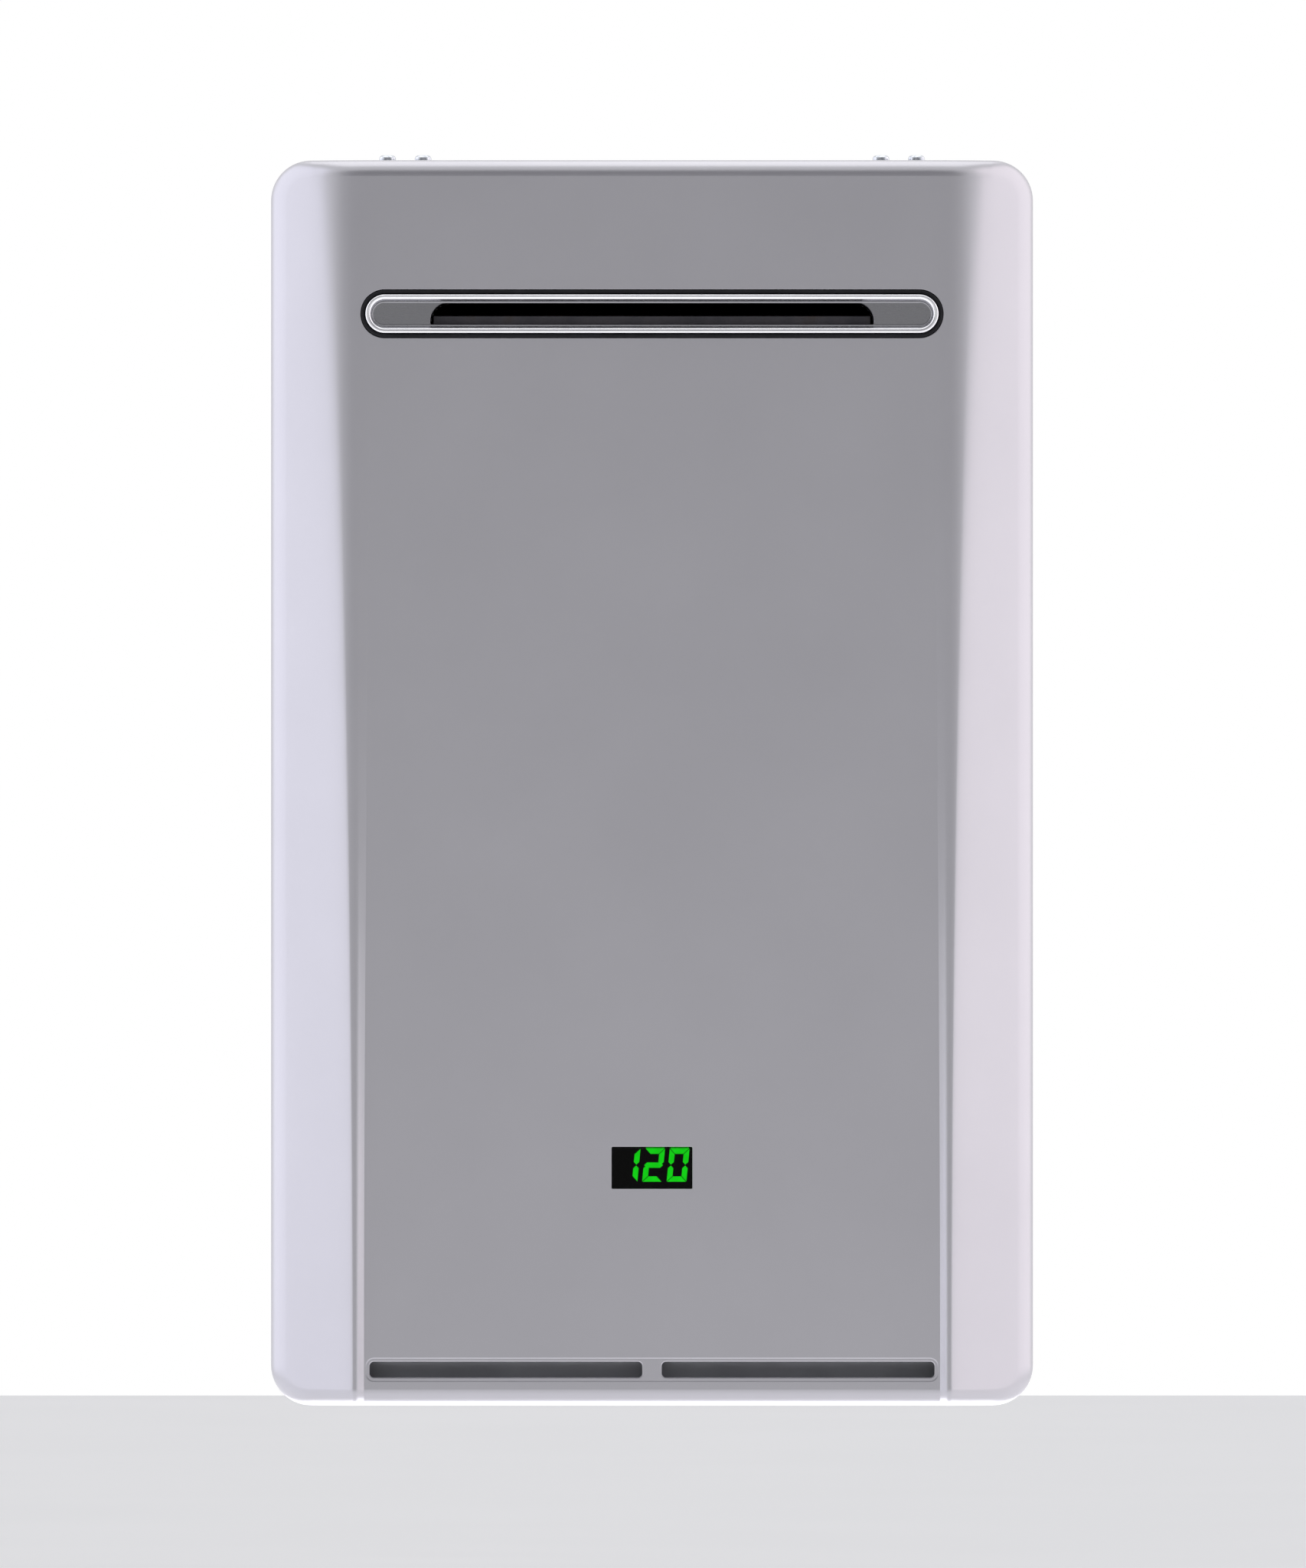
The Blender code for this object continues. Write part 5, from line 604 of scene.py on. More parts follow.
def half_section(z, edge_x):
    """Half of the front's section at a height, as (distance from the middle, set-back) points."""
    top = [(0, PANEL_SET_BACK)]
    for i in range(BEND_STEPS + 1):
        angle = FLANK_ANGLE * i / BEND_STEPS
        set_back = PANEL_SET_BACK + FLANK_BEND * (1 - math.cos(angle))
        top.append((BEND_X + FLANK_BEND * math.sin(angle), set_back))
    shoulder = FLANK_X - (FLANK_SET_BACK - CREST_ROUND) / math.tan(FLANK_ANGLE)
    inner = shoulder - CREST_WIDTH
    foot = inner - CREST_WALL
    bottom = [
        (0, PANEL_SET_BACK), (foot, PANEL_SET_BACK),
        ((foot + inner) / 2, (PANEL_SET_BACK + CREST_ROUND) / 2), (inner, CREST_ROUND / 2),
        ((inner + shoulder) / 2, CREST_SET_BACK), (shoulder, CREST_ROUND), (FLANK_X, FLANK_SET_BACK),
    ]
    down = 1 - (1 - min(max((TOP - z) / HEIGHT, 0), 1)) ** 2
    points = [(a[0] + (b[0] - a[0]) * down, a[1] + (b[1] - a[1]) * down)
              for a, b in zip(top, bottom)]
    points.append((edge_x, flank_set_back(edge_x)))
    for _ in range(SMOOTHINGS):
        finer = [points[0]]
        for (ax, ay), (bx, by) in zip(points, points[1:]):
            finer.append((ax * 0.75 + bx * 0.25, ay * 0.75 + by * 0.25))
            finer.append((ax * 0.25 + bx * 0.75, ay * 0.25 + by * 0.75))
        points = finer[:1] + finer[2:-1] + [points[-1]]
    return points


def cover_rows():
    """Rows of the front as (height, half width, outward direction at its end), bottom first."""
    inner = CORNER - COVER_EDGE
    turns = [math.pi / 2 * i / COVER_CORNER_STEPS for i in range(COVER_CORNER_STEPS + 1)]
    rows = []
    for t in turns[::-1]:
        place = (BOTTOM + CORNER - inner * math.sin(t), SIDE - CORNER + inner * math.cos(t))
        rows.append((*place, (math.cos(t), -math.sin(t))))
    for i in range(1, COVER_ROWS):
        z = BOTTOM + CORNER + (HEIGHT - 2 * CORNER) * i / COVER_ROWS
        rows.append((z, SIDE - COVER_EDGE, (1, 0)))
    for t in turns:
        place = (TOP - CORNER + inner * math.sin(t), SIDE - CORNER + inner * math.cos(t))
        rows.append((*place, (math.cos(t), math.sin(t))))
    return rows


def cover_skin():
    """The cover's outer skin: the front, its rounded edge and its walls, open at the rear."""
    bm = bmesh.new()
    rows = cover_rows()
    grid = []
    for z, edge_x, _ in rows:
        half = half_section(z, edge_x)
        left = [(-x, FRONT + s, z) for x, s in half[:0:-1]]
        grid.append([bm.verts.new(p) for p in left + [(x, FRONT + s, z) for x, s in half]])
    for low, high in zip(grid, grid[1:]):
        for i in range(len(low) - 1):
            bm.faces.new((low[i], low[i + 1], high[i + 1], high[i]))
    last = len(grid[0]) - 1
    border = [(0, c, (0, -1)) for c in range(last)]
    border += [(r, last, rows[r][2]) for r in range(len(rows) - 1)]
    border += [(len(rows) - 1, c, (0, 1)) for c in range(last, 0, -1)]
    border += [(r, 0, (-rows[r][2][0], rows[r][2][1])) for r in range(len(rows) - 1, 0, -1)]
    loop = [grid[r][c] for r, c, _ in border]
    starts = [vertex.co.copy() for vertex in loop]
    for step in range(1, COVER_EDGE_STEPS + 2):
        turn = math.pi / 2 * min(step, COVER_EDGE_STEPS) / COVER_EDGE_STEPS
        out = COVER_EDGE * math.sin(turn)
        drop = COVER_EDGE * (1 - math.cos(turn))
        outer = []
        for start, (_, _, way) in zip(starts, border):
            x = start.x + way[0] * out
            y = start.y + abs(way[0]) * out * math.tan(FLANK_ANGLE) + drop
            if step > COVER_EDGE_STEPS:
                y = COVER_REAR
            outer.append(bm.verts.new((x, y, start.z + way[1] * out)))
        for i in range(len(loop)):
            j = (i + 1) % len(loop)
            bm.faces.new((loop[i], outer[i], outer[j], loop[j]))
        loop = outer
    return bm


def eased_cut(name, centre, half_wide, half_high, corner, front, ease, depth, steps=CORNER_STEPS):
    """A cutter through a sheet, its mouth eased as a punch leaves it."""
    def grown(growth):
        return about(centre, half_wide + growth, half_high + growth, corner + growth, steps)

    stations = [(grown(ease), front - OVERRUN)]
    for i in range(EASE_STEPS + 1):
        turn = math.pi / 2 * i / EASE_STEPS
        stations.append((grown(ease * (1 - math.sin(turn))), front + ease * (1 - math.cos(turn))))
    return skinned(name, "Y", stations + [(grown(0), front + depth)])


def outlet_outline(inset):
    """The stadium of the flue outlet, drawn in by an inset."""
    half = OUTLET_HEIGHT / 2 - inset
    return about((0, OUTLET_Z), OUTLET_WIDTH / 2 - inset, half, half, OUTLET_STEPS)


EASE_STEPS = 2
EDGE_EASE = 0.3 * MM
SLOT_EASE = 0.55 * MM
CUT_DEPTH = 3 * SHEET
OUTLET_CUT = 12 * MM
OUTLET_STEPS = 20
WINDOW_STEPS = 4
COIN_MARGIN = 1.5 * MM
COIN_SLOPE = 0.55 * MM
COIN_DEPTH = 0.22 * MM


def make_cover():
    """The cover: its skin as a sheet, with the coined frame, air slots, outlet, window and holes."""
    cover = object_from("pressed_cover", cover_skin())
    wall = cover.modifiers.new("sheet", "SOLIDIFY")
    wall.thickness = SHEET
    wall.offset = -1
    applied(cover)
    centre = (0, BOTTOM + SLOT_RISE + SLOT_HEIGHT / 2)
    coin = (SLOT_BRIDGE / 2 + SLOT_LENGTH + COIN_MARGIN, SLOT_HEIGHT / 2 + COIN_MARGIN,
            SLOT_CORNER + COIN_MARGIN)
    foot = about(centre, *coin)
    mouth = about(centre, *[size + COIN_SLOPE for size in coin])
    cut(cover, skinned("coined_frame", "Y", [
        (mouth, PANEL_Y - OVERRUN), (mouth, PANEL_Y), (foot, PANEL_Y + COIN_DEPTH),
    ]))
    for side in (-1, 1):
        middle = (side * (SLOT_BRIDGE + SLOT_LENGTH) / 2, centre[1])
        cut(cover, eased_cut("slot", middle, SLOT_LENGTH / 2, SLOT_HEIGHT / 2, SLOT_CORNER,
                             PANEL_Y + COIN_DEPTH, SLOT_EASE, CUT_DEPTH))
    half = OUTLET_HEIGHT / 2
    cut(cover, eased_cut("outlet", (0, OUTLET_Z), OUTLET_WIDTH / 2, half, half,
                         PANEL_Y, EDGE_EASE, OUTLET_CUT, OUTLET_STEPS))
    cut(cover, eased_cut("window", (0, DISPLAY_Z), DISPLAY_WIDTH / 2, DISPLAY_HEIGHT / 2, DISPLAY_CORNER,
                         PANEL_Y, EDGE_EASE, CUT_DEPTH, WINDOW_STEPS))
    for x in SCREW_X:
        hole = circle((x, SCREW_Y), SCREW_HOLE, 16)
        cut(cover, extruded("screw_hole", [hole], "Z", TOP - 2 * SHEET, TOP + OVERRUN))
    cover.data.set_sharp_from_angle(angle=COVER_SHARP)
    placed(cover, "front_cover")


# The flue outlet: rubber gasket, and the pressed rim with its dish and duct
GASKET_INSET = 0.3 * MM
GASKET_WALL = 1.7 * MM
GASKET_PROUD = 0.6 * MM
GASKET_DEPTH = 8 * MM
RIM_INSET = 2.3 * MM
RIM_Y = PANEL_Y - 2 * MM
RIM_DEPTH = 9 * MM
RIM_ROUND = 0.9 * MM
RIM_FACE = 1.26 * MM
RIM_SLOPE = 2.8 * MM
DISH_DEPTH = 3.2 * MM
DISH_Y = RIM_Y + DISH_DEPTH
MOUTH_WIDTH = 207 * MM
MOUTH_HEIGHT = 10.4 * MM
MOUTH_HIGH_CORNER = 8.8 * MM
MOUTH_LOW_CORNER = 1.2 * MM
MOUTH_EASE = 0.25 * MM
DUCT_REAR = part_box("flue_hood")[1].y
# Where the painted shade in the outlet dish begins, and where it is full
DISH_SHADE_FROM = RIM_Y + 0.7 * DISH_DEPTH
DISH_SHADE_TO = DISH_Y + 0.02 * MM


def mouth_outline(growth=0):
    """The duct's mouth in the dish, its upper corners wide and its lower ones tight."""
    low, high = MOUTH_LOW_CORNER + growth, MOUTH_HIGH_CORNER + growth
    half_wide, half_high = MOUTH_WIDTH / 2 + growth, MOUTH_HEIGHT / 2 + growth
    return about((0, OUTLET_Z), half_wide, half_high, (low, high, high, low), OUTLET_STEPS)


def painted_dish_shade(tree, place):
    """Painted highlight and shade: nought on the rim, one down in the dish and the duct."""
    depth = add(tree, "ShaderNodeSeparateXYZ", {}, {"Vector": place}, "Y")
    span = {"From Min": DISH_SHADE_FROM, "From Max": DISH_SHADE_TO}
    return add(tree, "ShaderNodeMapRange", span, {"Value": depth})


# Rolled stainless with painted light: a painted highlight on the rim, painted shade in the dish and duct
PAINTED_FLUE_STAINLESS = surface(
    "stainless_with_painted_highlight_and_shade", [(0.0, "F0F0F4"), (0.5, "A2A2A6"), (1.0, "88888C")], 26 * MM, 0.8 * MM,
    (0.2, 0.3), 0.003 * MM, (0.05, 1, 1), pattern=painted_dish_shade, Metallic=1.0,
)


def make_hood():
    """Over the rim and down its slope into the dish, back along the duct and round behind."""
    path = [(RIM_INSET, RIM_Y + RIM_DEPTH), (RIM_INSET, RIM_Y + RIM_ROUND)]
    path += quarter(path[-1], (RIM_INSET + RIM_ROUND, RIM_Y), "v")
    start = (RIM_INSET + RIM_FACE, RIM_Y)
    middle = (start[0] + RIM_SLOPE / 2, (RIM_Y + DISH_Y) / 2)
    path += [start] + quarter(start, middle, "u", 4)[:3]
    path += quarter(middle, (start[0] + RIM_SLOPE, DISH_Y), "v", 4)[1:]
    stations = [(outlet_outline(inset), y) for inset, y in path]
    behind = outlet_outline(RIM_INSET + SHEET)
    stations += [
        (mouth_outline(MOUTH_EASE), DISH_Y), (mouth_outline(), DISH_Y + MOUTH_EASE),
        (mouth_outline(), DUCT_REAR), (mouth_outline(SHEET), DUCT_REAR),
        (mouth_outline(SHEET), DISH_Y + SHEET), (behind, DISH_Y + SHEET), (behind, RIM_Y + RIM_DEPTH),
    ]
    # The hood's finish carries the painted highlight on the rim and the painted shade in the dish
    placed(skinned("outlet_hood", "Y", stations, closed=True), "flue_hood", look=PAINTED_FLUE_STAINLESS)


def make_gasket():
    """A rubber ring whose front is half round."""
    front = PANEL_Y - GASKET_PROUD
    rear = front + GASKET_DEPTH
    outer, inner = GASKET_INSET, GASKET_INSET + GASKET_WALL
    crown = ((outer + inner) / 2, front)
    shoulder = front + (inner - outer) / 2
    lip = [(outer, rear), (outer, shoulder)] + quarter((outer, shoulder), crown, "v", 4)
    lip += quarter(crown, (inner, shoulder), "u", 4) + [(inner, rear)]
    stations = [(outlet_outline(inset), y) for inset, y in lip]
    placed(skinned("outlet_gasket", "Y", stations, closed=True), "flue_gasket")


# The display: lens in the cover, and the lit digits on the module behind it
LENS_LOW, LENS_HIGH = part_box("display_window")
LENS_GAP = 0.3 * MM
LENS_EASE = 0.25 * MM
LENS_FLANGE = 1.2 * MM
DIGITS = "120"
DIGIT_HEIGHT = 15.5 * MM
DIGIT_WIDTH = 9.2 * MM
DIGIT_STROKE = 2.5 * MM
DIGIT_PITCH = 11.43 * MM
DIGIT_GAP = 0.2 * MM
DIGIT_SLANT = math.tan(math.radians(5.5))
DIGIT_THICKNESS = 0.12 * MM
DIGITS_MIDDLE_X = 0.73 * MM
DIGITS_MIDDLE_Z = DISPLAY_Z + 1.2 * MM
SEGMENTS = {"1": "bc", "2": "abged", "0": "abcdef"}


def segment_outline(name):
    """One bar of a seven-segment digit about its centre, with mitred ends."""
    half_wide, half_high = DIGIT_WIDTH / 2, DIGIT_HEIGHT / 2
    inset = DIGIT_STROKE / 2
    long = half_wide - DIGIT_GAP
    if name == "g":
        short = long - inset
        return [(-long, 0), (-short, -inset), (short, -inset),
                (long, 0), (short, inset), (-short, inset)]
    if name in "ad":
        way = 1 if name == "a" else -1
        outer, inner = way * half_high, way * (half_high - DIGIT_STROKE)
        short = long - DIGIT_STROKE
        return [(-long, outer), (-short, inner), (short, inner), (long, outer)]
    side = 1 if name in "bc" else -1
    way = 1 if name in "bf" else -1
    outer, inner = side * half_wide, side * (half_wide - DIGIT_STROKE)
    end, near = way * (half_high - DIGIT_GAP), way * DIGIT_GAP
    return [(outer, end), (inner, end - way * DIGIT_STROKE), (inner, near + way * inset),
            ((outer + inner) / 2, near), (outer, near + way * inset)]


def make_display():
    def window(half_wide, half_high):
        return about((0, DISPLAY_Z), half_wide, half_high, DISPLAY_CORNER, WINDOW_STEPS)

    half_wide, half_high = DISPLAY_WIDTH / 2 - LENS_GAP, DISPLAY_HEIGHT / 2 - LENS_GAP
    plug = window(half_wide, half_high)
    flange = window(LENS_HIGH.x, (LENS_HIGH.z - LENS_LOW.z) / 2)
    behind = LENS_HIGH.y - LENS_FLANGE
    nose = window(half_wide - LENS_EASE, half_high - LENS_EASE)
    placed(skinned("display_lens", "Y", [
        (nose, LENS_LOW.y), (plug, LENS_LOW.y + LENS_EASE), (plug, behind),
        (flange, behind), (flange, LENS_HIGH.y),
    ]), "display_window")
    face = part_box("display_module")[0].y
    bars = []
    for number, digit in enumerate(DIGITS):
        middle_x = DIGITS_MIDDLE_X + (number - 1) * DIGIT_PITCH
        for name in SEGMENTS[digit]:
            bars.append([(middle_x + u + v * DIGIT_SLANT, DIGITS_MIDDLE_Z + v)
                         for u, v in segment_outline(name)])
    digits = extruded("display_digits", bars, "Y", face, face - DIGIT_THICKNESS)
    placed(digits, "display_module", look=LIT_SEGMENT, replaces=False)


# Cover screws: pan heads with a cross recess
SCREW_HEAD = 3.9 * MM
SCREW_HEAD_HEIGHT = 2.6 * MM
SCREW_HEAD_RIM = 0.9 * MM
SCREW_HEAD_FLAT = 0.55 * SCREW_HEAD
SCREW_SHANK = 2 * MM
SCREW_ROOT = 0.8 * SCREW_SHANK
SCREW_TIP = 0.6 * SCREW_SHANK
SCREW_TIP_LENGTH = 1.5 * MM
SCREW_THREAD_FROM = 2 * MM
SCREW_THREAD_SHORT = 1 * MM
SCREW_PITCH = 0.7 * MM
SCREW_SIDES = 32
RECESS_HALF = 2.1 * MM
RECESS_WALL = 0.42 * MM
RECESS_DEPTH = 1.4 * MM


def make_screws():
    for number, x in enumerate(SCREW_X, start=1):
        node = f"cover_screw_{number}"
        low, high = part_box(node)
        seat = high.z - SCREW_HEAD_HEIGHT
        rim = (SCREW_HEAD, seat + SCREW_HEAD_RIM)
        profile = [(0, low.z), (SCREW_TIP, low.z), (SCREW_SHANK, low.z + SCREW_TIP_LENGTH)]
        turn = low.z + SCREW_THREAD_FROM
        while turn < seat - SCREW_THREAD_SHORT:
            profile += [(SCREW_ROOT, turn), (SCREW_SHANK, turn + SCREW_PITCH / 2)]
            turn += SCREW_PITCH
        profile += [(SCREW_ROOT, seat), (SCREW_HEAD, seat), rim]
        profile += quarter(rim, (SCREW_HEAD_FLAT, high.z), "v", 5) + [(0, high.z)]
        screw = turned(f"pan_head_screw_{number}", profile, "Z", (x, SCREW_Y), SCREW_SIDES)
        for half in ((RECESS_HALF, RECESS_WALL), (RECESS_WALL, RECESS_HALF)):
            arm = about((x, SCREW_Y), *half, 0.4 * RECESS_WALL, 2)
            cut(screw, extruded("recess", [arm], "Z", high.z - RECESS_DEPTH, high.z + OVERRUN))
        placed(screw, node)


make_cover()
make_hood()
make_gasket()
make_display()
make_screws()


# Pieces that keep the model's own outline, with their edges rounded as a die, a mould or a brake
# leaves them, each by its width
EASED = {
    "flue_baffle": 0.4 * MM, "flue_collector": 0.9 * MM, "burner_box": 0.45 * MM,
    "fan_housing": 0.6 * MM, "bottom_plate": 0.35 * MM, "flow_sensor": 1 * MM,
    "flow_turbine": 0.3 * MM, "water_valve": 1.2 * MM, "water_valve_plug": 0.5 * MM,
    "valve_servo": 1.4 * MM, "gas_valve": 1.5 * MM, "gas_plunger": 0.5 * MM,
    "cable_gland": 0.8 * MM, "controller_case": 0.6 * MM, "controller_board": 0.25 * MM,
    "controller_lid": 0.7 * MM, "display_module": 0.4 * MM, "igniter": 1.6 * MM,
    "outlet_thermistor": 0.6 * MM,
}
FLAT_ANGLE = math.radians(1)


def eased(node, width):
    """The node's own shape with rounded edges."""
    obj = bpy.data.objects.new(f"eased_{node}", frame["nodes"][node].data.copy())
    bpy.context.scene.collection.objects.link(obj)
    bm = bmesh.new()
    bm.from_mesh(obj.data)
    bmesh.ops.remove_doubles(bm, verts=bm.verts, dist=WELD)
    bmesh.ops.dissolve_limit(bm, angle_limit=FLAT_ANGLE, verts=bm.verts, edges=bm.edges)
    bm.to_mesh(obj.data)
    bm.free()
    modifier = obj.modifiers.new("edge", "BEVEL")
    modifier.width = width
    modifier.segments = 2
    modifier.limit_method = "ANGLE"
    modifier.angle_limit = SOFT_ANGLE
    return placed(applied(obj), node)


for node, width in EASED.items():
    eased(node, width)


# The casing: wrapper and back panel, each as millimetres of (inset from the casing's outline, y)
MIDDLE_Z = (TOP + BOTTOM) / 2
WRAPPER_PATH = (
    (0, -8.3), (0, -204.2), (0.5, -204.7), (1.6, -204.7), (1.6, -216.4), (1.9, -216.7), (2.5, -216.7),
    (2.8, -216.4), (2.8, -203.5), (1.2, -203.5), (1.2, -8.3), (0.9, -8), (0.3, -8),
)
BACK_PATH = (
    (3.5, -9.2), (2.7, -10), (2.7, -19.7), (2.4, -20), (1.8, -20), (1.5, -19.7), (1.5, -8.9), (2.4, -8),
)
# Ribs pressed into the back, outside and inside, as millimetres of (half width, y)
RIB_PATH = ((8, -8.6), (8, -9.3), (7.2, -9.9), (5.4, -12.2), (4.4, -12.7))
GROOVE_PATH = ((7.6, -6), (6.8, -8.1), (6, -8.7), (4.2, -11), (3.4, -11.5))
RIB_X = 62 * MM
RIB_MIDDLE = -250.5 * MM
RIB_STRAIGHT = 212.5 * MM
RIB_CORNER = 0.98
OPENING_MIDDLE = (0, -106.35 * MM)
OPENING_HALF = (160 * MM, 80.35 * MM)
OPENING_CORNER = 6 * MM
NOTCH_HALF = 2.5 * MM
NOTCH_FRONT, NOTCH_REAR = -218 * MM, -208.2 * MM
NOTCH_CORNER = 2.4 * MM


def casing_stations(path):
    return [(about((0, MIDDLE_Z), SIDE - inset, HEIGHT / 2 - inset, CORNER - inset), y)
            for inset, y in metres(path)]


def ribs(name, path):
    pieces = []
    for x in (-RIB_X, RIB_X):
        stations = [(about((x, RIB_MIDDLE), wide, RIB_STRAIGHT + wide, wide * RIB_CORNER), y)
                    for wide, y in metres(path)]
        pieces.append(skinned(name, "Y", stations))
    return pieces


def make_casing():
    wrapper = skinned("folded_wrapper", "Y", casing_stations(WRAPPER_PATH), closed=True)
    opening = about(OPENING_MIDDLE, *OPENING_HALF, OPENING_CORNER)
    cut(wrapper, extruded("pipe_opening", [opening], "Z", BOTTOM - OVERRUN, BOTTOM + OVERRUN))
    for x in SCREW_X:
        notch = rounded((x - NOTCH_HALF, NOTCH_FRONT), (x + NOTCH_HALF, NOTCH_REAR), NOTCH_CORNER, 6)
        cut(wrapper, extruded("screw_notch", [notch], "Z", TOP - 2 * OVERRUN, TOP + OVERRUN))
    placed(wrapper, "casing_wrapper")
    panel = skinned("ribbed_back_panel", "Y", casing_stations(BACK_PATH))
    fuse(panel, *ribs("rib", RIB_PATH))
    cut(panel, *ribs("groove", GROOVE_PATH))
    placed(panel, "back_panel")


# Bent brackets in millimetres: path of (y, z), sheet thickness, bend and half length
BRACKET_SECTION = ((-6.1, -24), (-6.1, -14), (-0.02, -14), (-0.02, 14), (-6.1, 14), (-6.1, 24))
BRACKET_DROP = 501
BENT = {
    "cross_brace": (((-189.7, -454), (-201.7, -454), (-201.7, -406), (-189.7, -406)), 1.2, 1.8, 176.5),
    "stack_bracket": (((-44.7, -276), (-44.7, -298), (-11.1, -298), (-11.1, -320)), 1.6, 2.2, 45),
    "inlet_deflector": (
        ((-199, -528.6), (-199, -514.6), (-248.8, -514.6), (-237.8, -531.9)), 1.2, 1.6, 135.65),
    "wall_bracket_top": (BRACKET_SECTION, 1.6, 2.2, 100),
    "wall_bracket_bottom": (tuple((y, z - BRACKET_DROP) for y, z in BRACKET_SECTION), 1.6, 2.2, 100),
}
KEYHOLE_X = 60 * MM
KEYHOLE_HALF = (3.5 * MM, 8 * MM)
KEYHOLE_CORNER = 3.4 * MM

# Plain zinc-dipped sheet without crystals: smooth pale grey with a soft rolling grain
PLAIN_ZINC = surface(
    "plain_zinc_sheet", [(0.3, "CACBD0"), (0.7, "D6D7DC")], 30 * MM, 0.9 * MM, (0.34, 0.44), 0.004 * MM,
    (0.1, 1, 1), Metallic=0.8,
)


def make_brackets():
    for node, (path, thickness, bend, half) in BENT.items():
        section = bent_sheet(metres(path), thickness * MM, bend * MM)
        bracket = extruded(f"bent_{node}", [section], "X", -half * MM, half * MM)
        if node.startswith("wall"):
            low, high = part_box(node)
            for x in (-KEYHOLE_X, KEYHOLE_X):
                hole = about((x, (low.z + high.z) / 2), *KEYHOLE_HALF, KEYHOLE_CORNER, 8)
                cut(bracket, extruded("keyhole", [hole], "Y", -2 * OVERRUN, OVERRUN))
        placed(bracket, node, look=PLAIN_ZINC if node == "inlet_deflector" else None)


make_casing()
make_brackets()


# The heat exchanger: copper wall with stiffening beads, packed fins, serpentine, shell and coil
STACK_Y = -110 * MM
STACK_HALF_WIDE = 120 * MM
STACK_HALF_DEEP = 65 * MM
STACK_CORNER = 12 * MM
TUBE_Y = [y * MM for y in (-150.5, -123.5, -96.5, -69.5)]
TUBE_Z = -95.3 * MM
TUBE_RADIUS = 7 * MM
TUBE_GAP = 0.5 * MM
STUB_X = 126 * MM
TURN_X = 134 * MM
TURN_BEND = 13 * MM
WALL_FOOT, WALL_TOP = -130.3 * MM, -60.3 * MM
WALL_BEADS = (-116 * MM, -74.6 * MM)
WALL_INSIDE, WALL_OUTSIDE = 117 * MM, 123 * MM
SHELL_FOOT, SHELL_TOP = -257.7 * MM, -130.6 * MM
SHELL_BEADS = (-251 * MM, -137 * MM)
COPPER_SHEET = 1 * MM
BEAD_DEPTH = 0.6 * MM
BEAD_HALF = 1.8 * MM
FIN_COUNT = 56
FIN_PITCH = 4 * MM
FIN_SHEET = 0.4 * MM
FIN_LOW, FIN_HIGH = (-173.7 * MM, -122.3 * MM), (-46.3 * MM, -68.3 * MM)
FIN_CORNER = 2 * MM
COIL_X = 127.3 * MM
COIL_FOOT = -273.7 * MM
COIL_BASE = -237.7 * MM
COIL_PITCH = 28 * MM
COIL_TURNS = 3
COIL_BEND = 10 * MM
COIL_RETURN_X = 139 * MM
COIL_RETURN_BEND = 8 * MM
COIL_STUB_GAP = 0.3 * MM


def stack_outline(inset=0.0):
    return about((0, STACK_Y), STACK_HALF_WIDE - inset, STACK_HALF_DEEP - inset, STACK_CORNER - inset)


def copper_ring(name, foot, top, beads):
    """A ring of sheet round the stack, with beads pressed inwards at the given heights."""
    path = [(0, foot)]
    for z in beads:
        path += [(0, z - BEAD_HALF), (BEAD_DEPTH, z - BEAD_HALF / 3),
                 (BEAD_DEPTH, z + BEAD_HALF / 3), (0, z + BEAD_HALF)]
    path.append((0, top))
    path += [(inset + COPPER_SHEET, z) for inset, z in path[::-1]]
    return skinned(name, "Z", [(stack_outline(inset), z) for inset, z in path], closed=True)


def make_exchanger():
    wall = copper_ring("beaded_exchanger_wall", WALL_FOOT, WALL_TOP, WALL_BEADS)
    for y in TUBE_Y:
        for low, high in ((-WALL_OUTSIDE, -WALL_INSIDE), (WALL_INSIDE, WALL_OUTSIDE)):
            cut(wall, rod("tube_hole", TUBE_RADIUS + TUBE_GAP, "X", (y, TUBE_Z), low, high, sides=32))
    placed(wall, "exchanger_wall")
    shell = copper_ring("beaded_combustion_shell", SHELL_FOOT, SHELL_TOP, SHELL_BEADS)
    placed(shell, "combustion_shell")
    pieces = []
    outline = rounded(FIN_LOW, FIN_HIGH, FIN_CORNER, 3)
    for i in range(FIN_COUNT):
        x = (i - (FIN_COUNT - 1) / 2) * FIN_PITCH
        pieces.append(extruded("fin", [outline], "X", x - FIN_SHEET / 2, x + FIN_SHEET / 2))
    route = [(STUB_X, TUBE_Y[0], TUBE_Z)]
    for number, (first, second) in enumerate(zip(TUBE_Y, TUBE_Y[1:])):
        end = TURN_X if number % 2 else -TURN_X
        route += [(end, first, TUBE_Z), (end, second, TUBE_Z)]
    route.append((STUB_X, TUBE_Y[-1], TUBE_Z))
    pieces.append(tube("serpentine", filleted(route, TURN_BEND), TUBE_RADIUS))
    placed(joined("finned_serpentine", pieces), "fin_block")


def coil_route():
    """Up beside the shell, round it on a rising rounded rectangle, then up and into the first tube."""
    lap = stack_outline(STACK_HALF_WIDE - COIL_X)
    corner = CORNER_STEPS + 1
    laps = lap[corner:] + lap * (COIL_TURNS - 1) + lap[:corner]
    around = sum(math.dist(a, b) for a, b in zip(lap, lap[1:] + lap[:1]))
    gone = 0
    turns = []
    for before, place in zip([(COIL_X, STACK_Y)] + laps, laps):
        gone += math.dist(before, place)
        turns.append((*place, COIL_BASE + COIL_PITCH * gone / around))
    start = filleted([(COIL_X, STACK_Y, COIL_FOOT), (COIL_X, STACK_Y, COIL_BASE), turns[0]], COIL_BEND)
    leave = Vector(turns[-1])
    first = TUBE_Y[0]
    finish = filleted([
        leave, (COIL_X, (first + leave.y) / 2, leave.z), (COIL_RETURN_X, first, (leave.z + TUBE_Z) / 2),
        (COIL_RETURN_X, first, TUBE_Z), (STUB_X + COIL_STUB_GAP, first, TUBE_Z),
    ], COIL_RETURN_BEND)
    return start[:-1] + turns[:-1] + finish


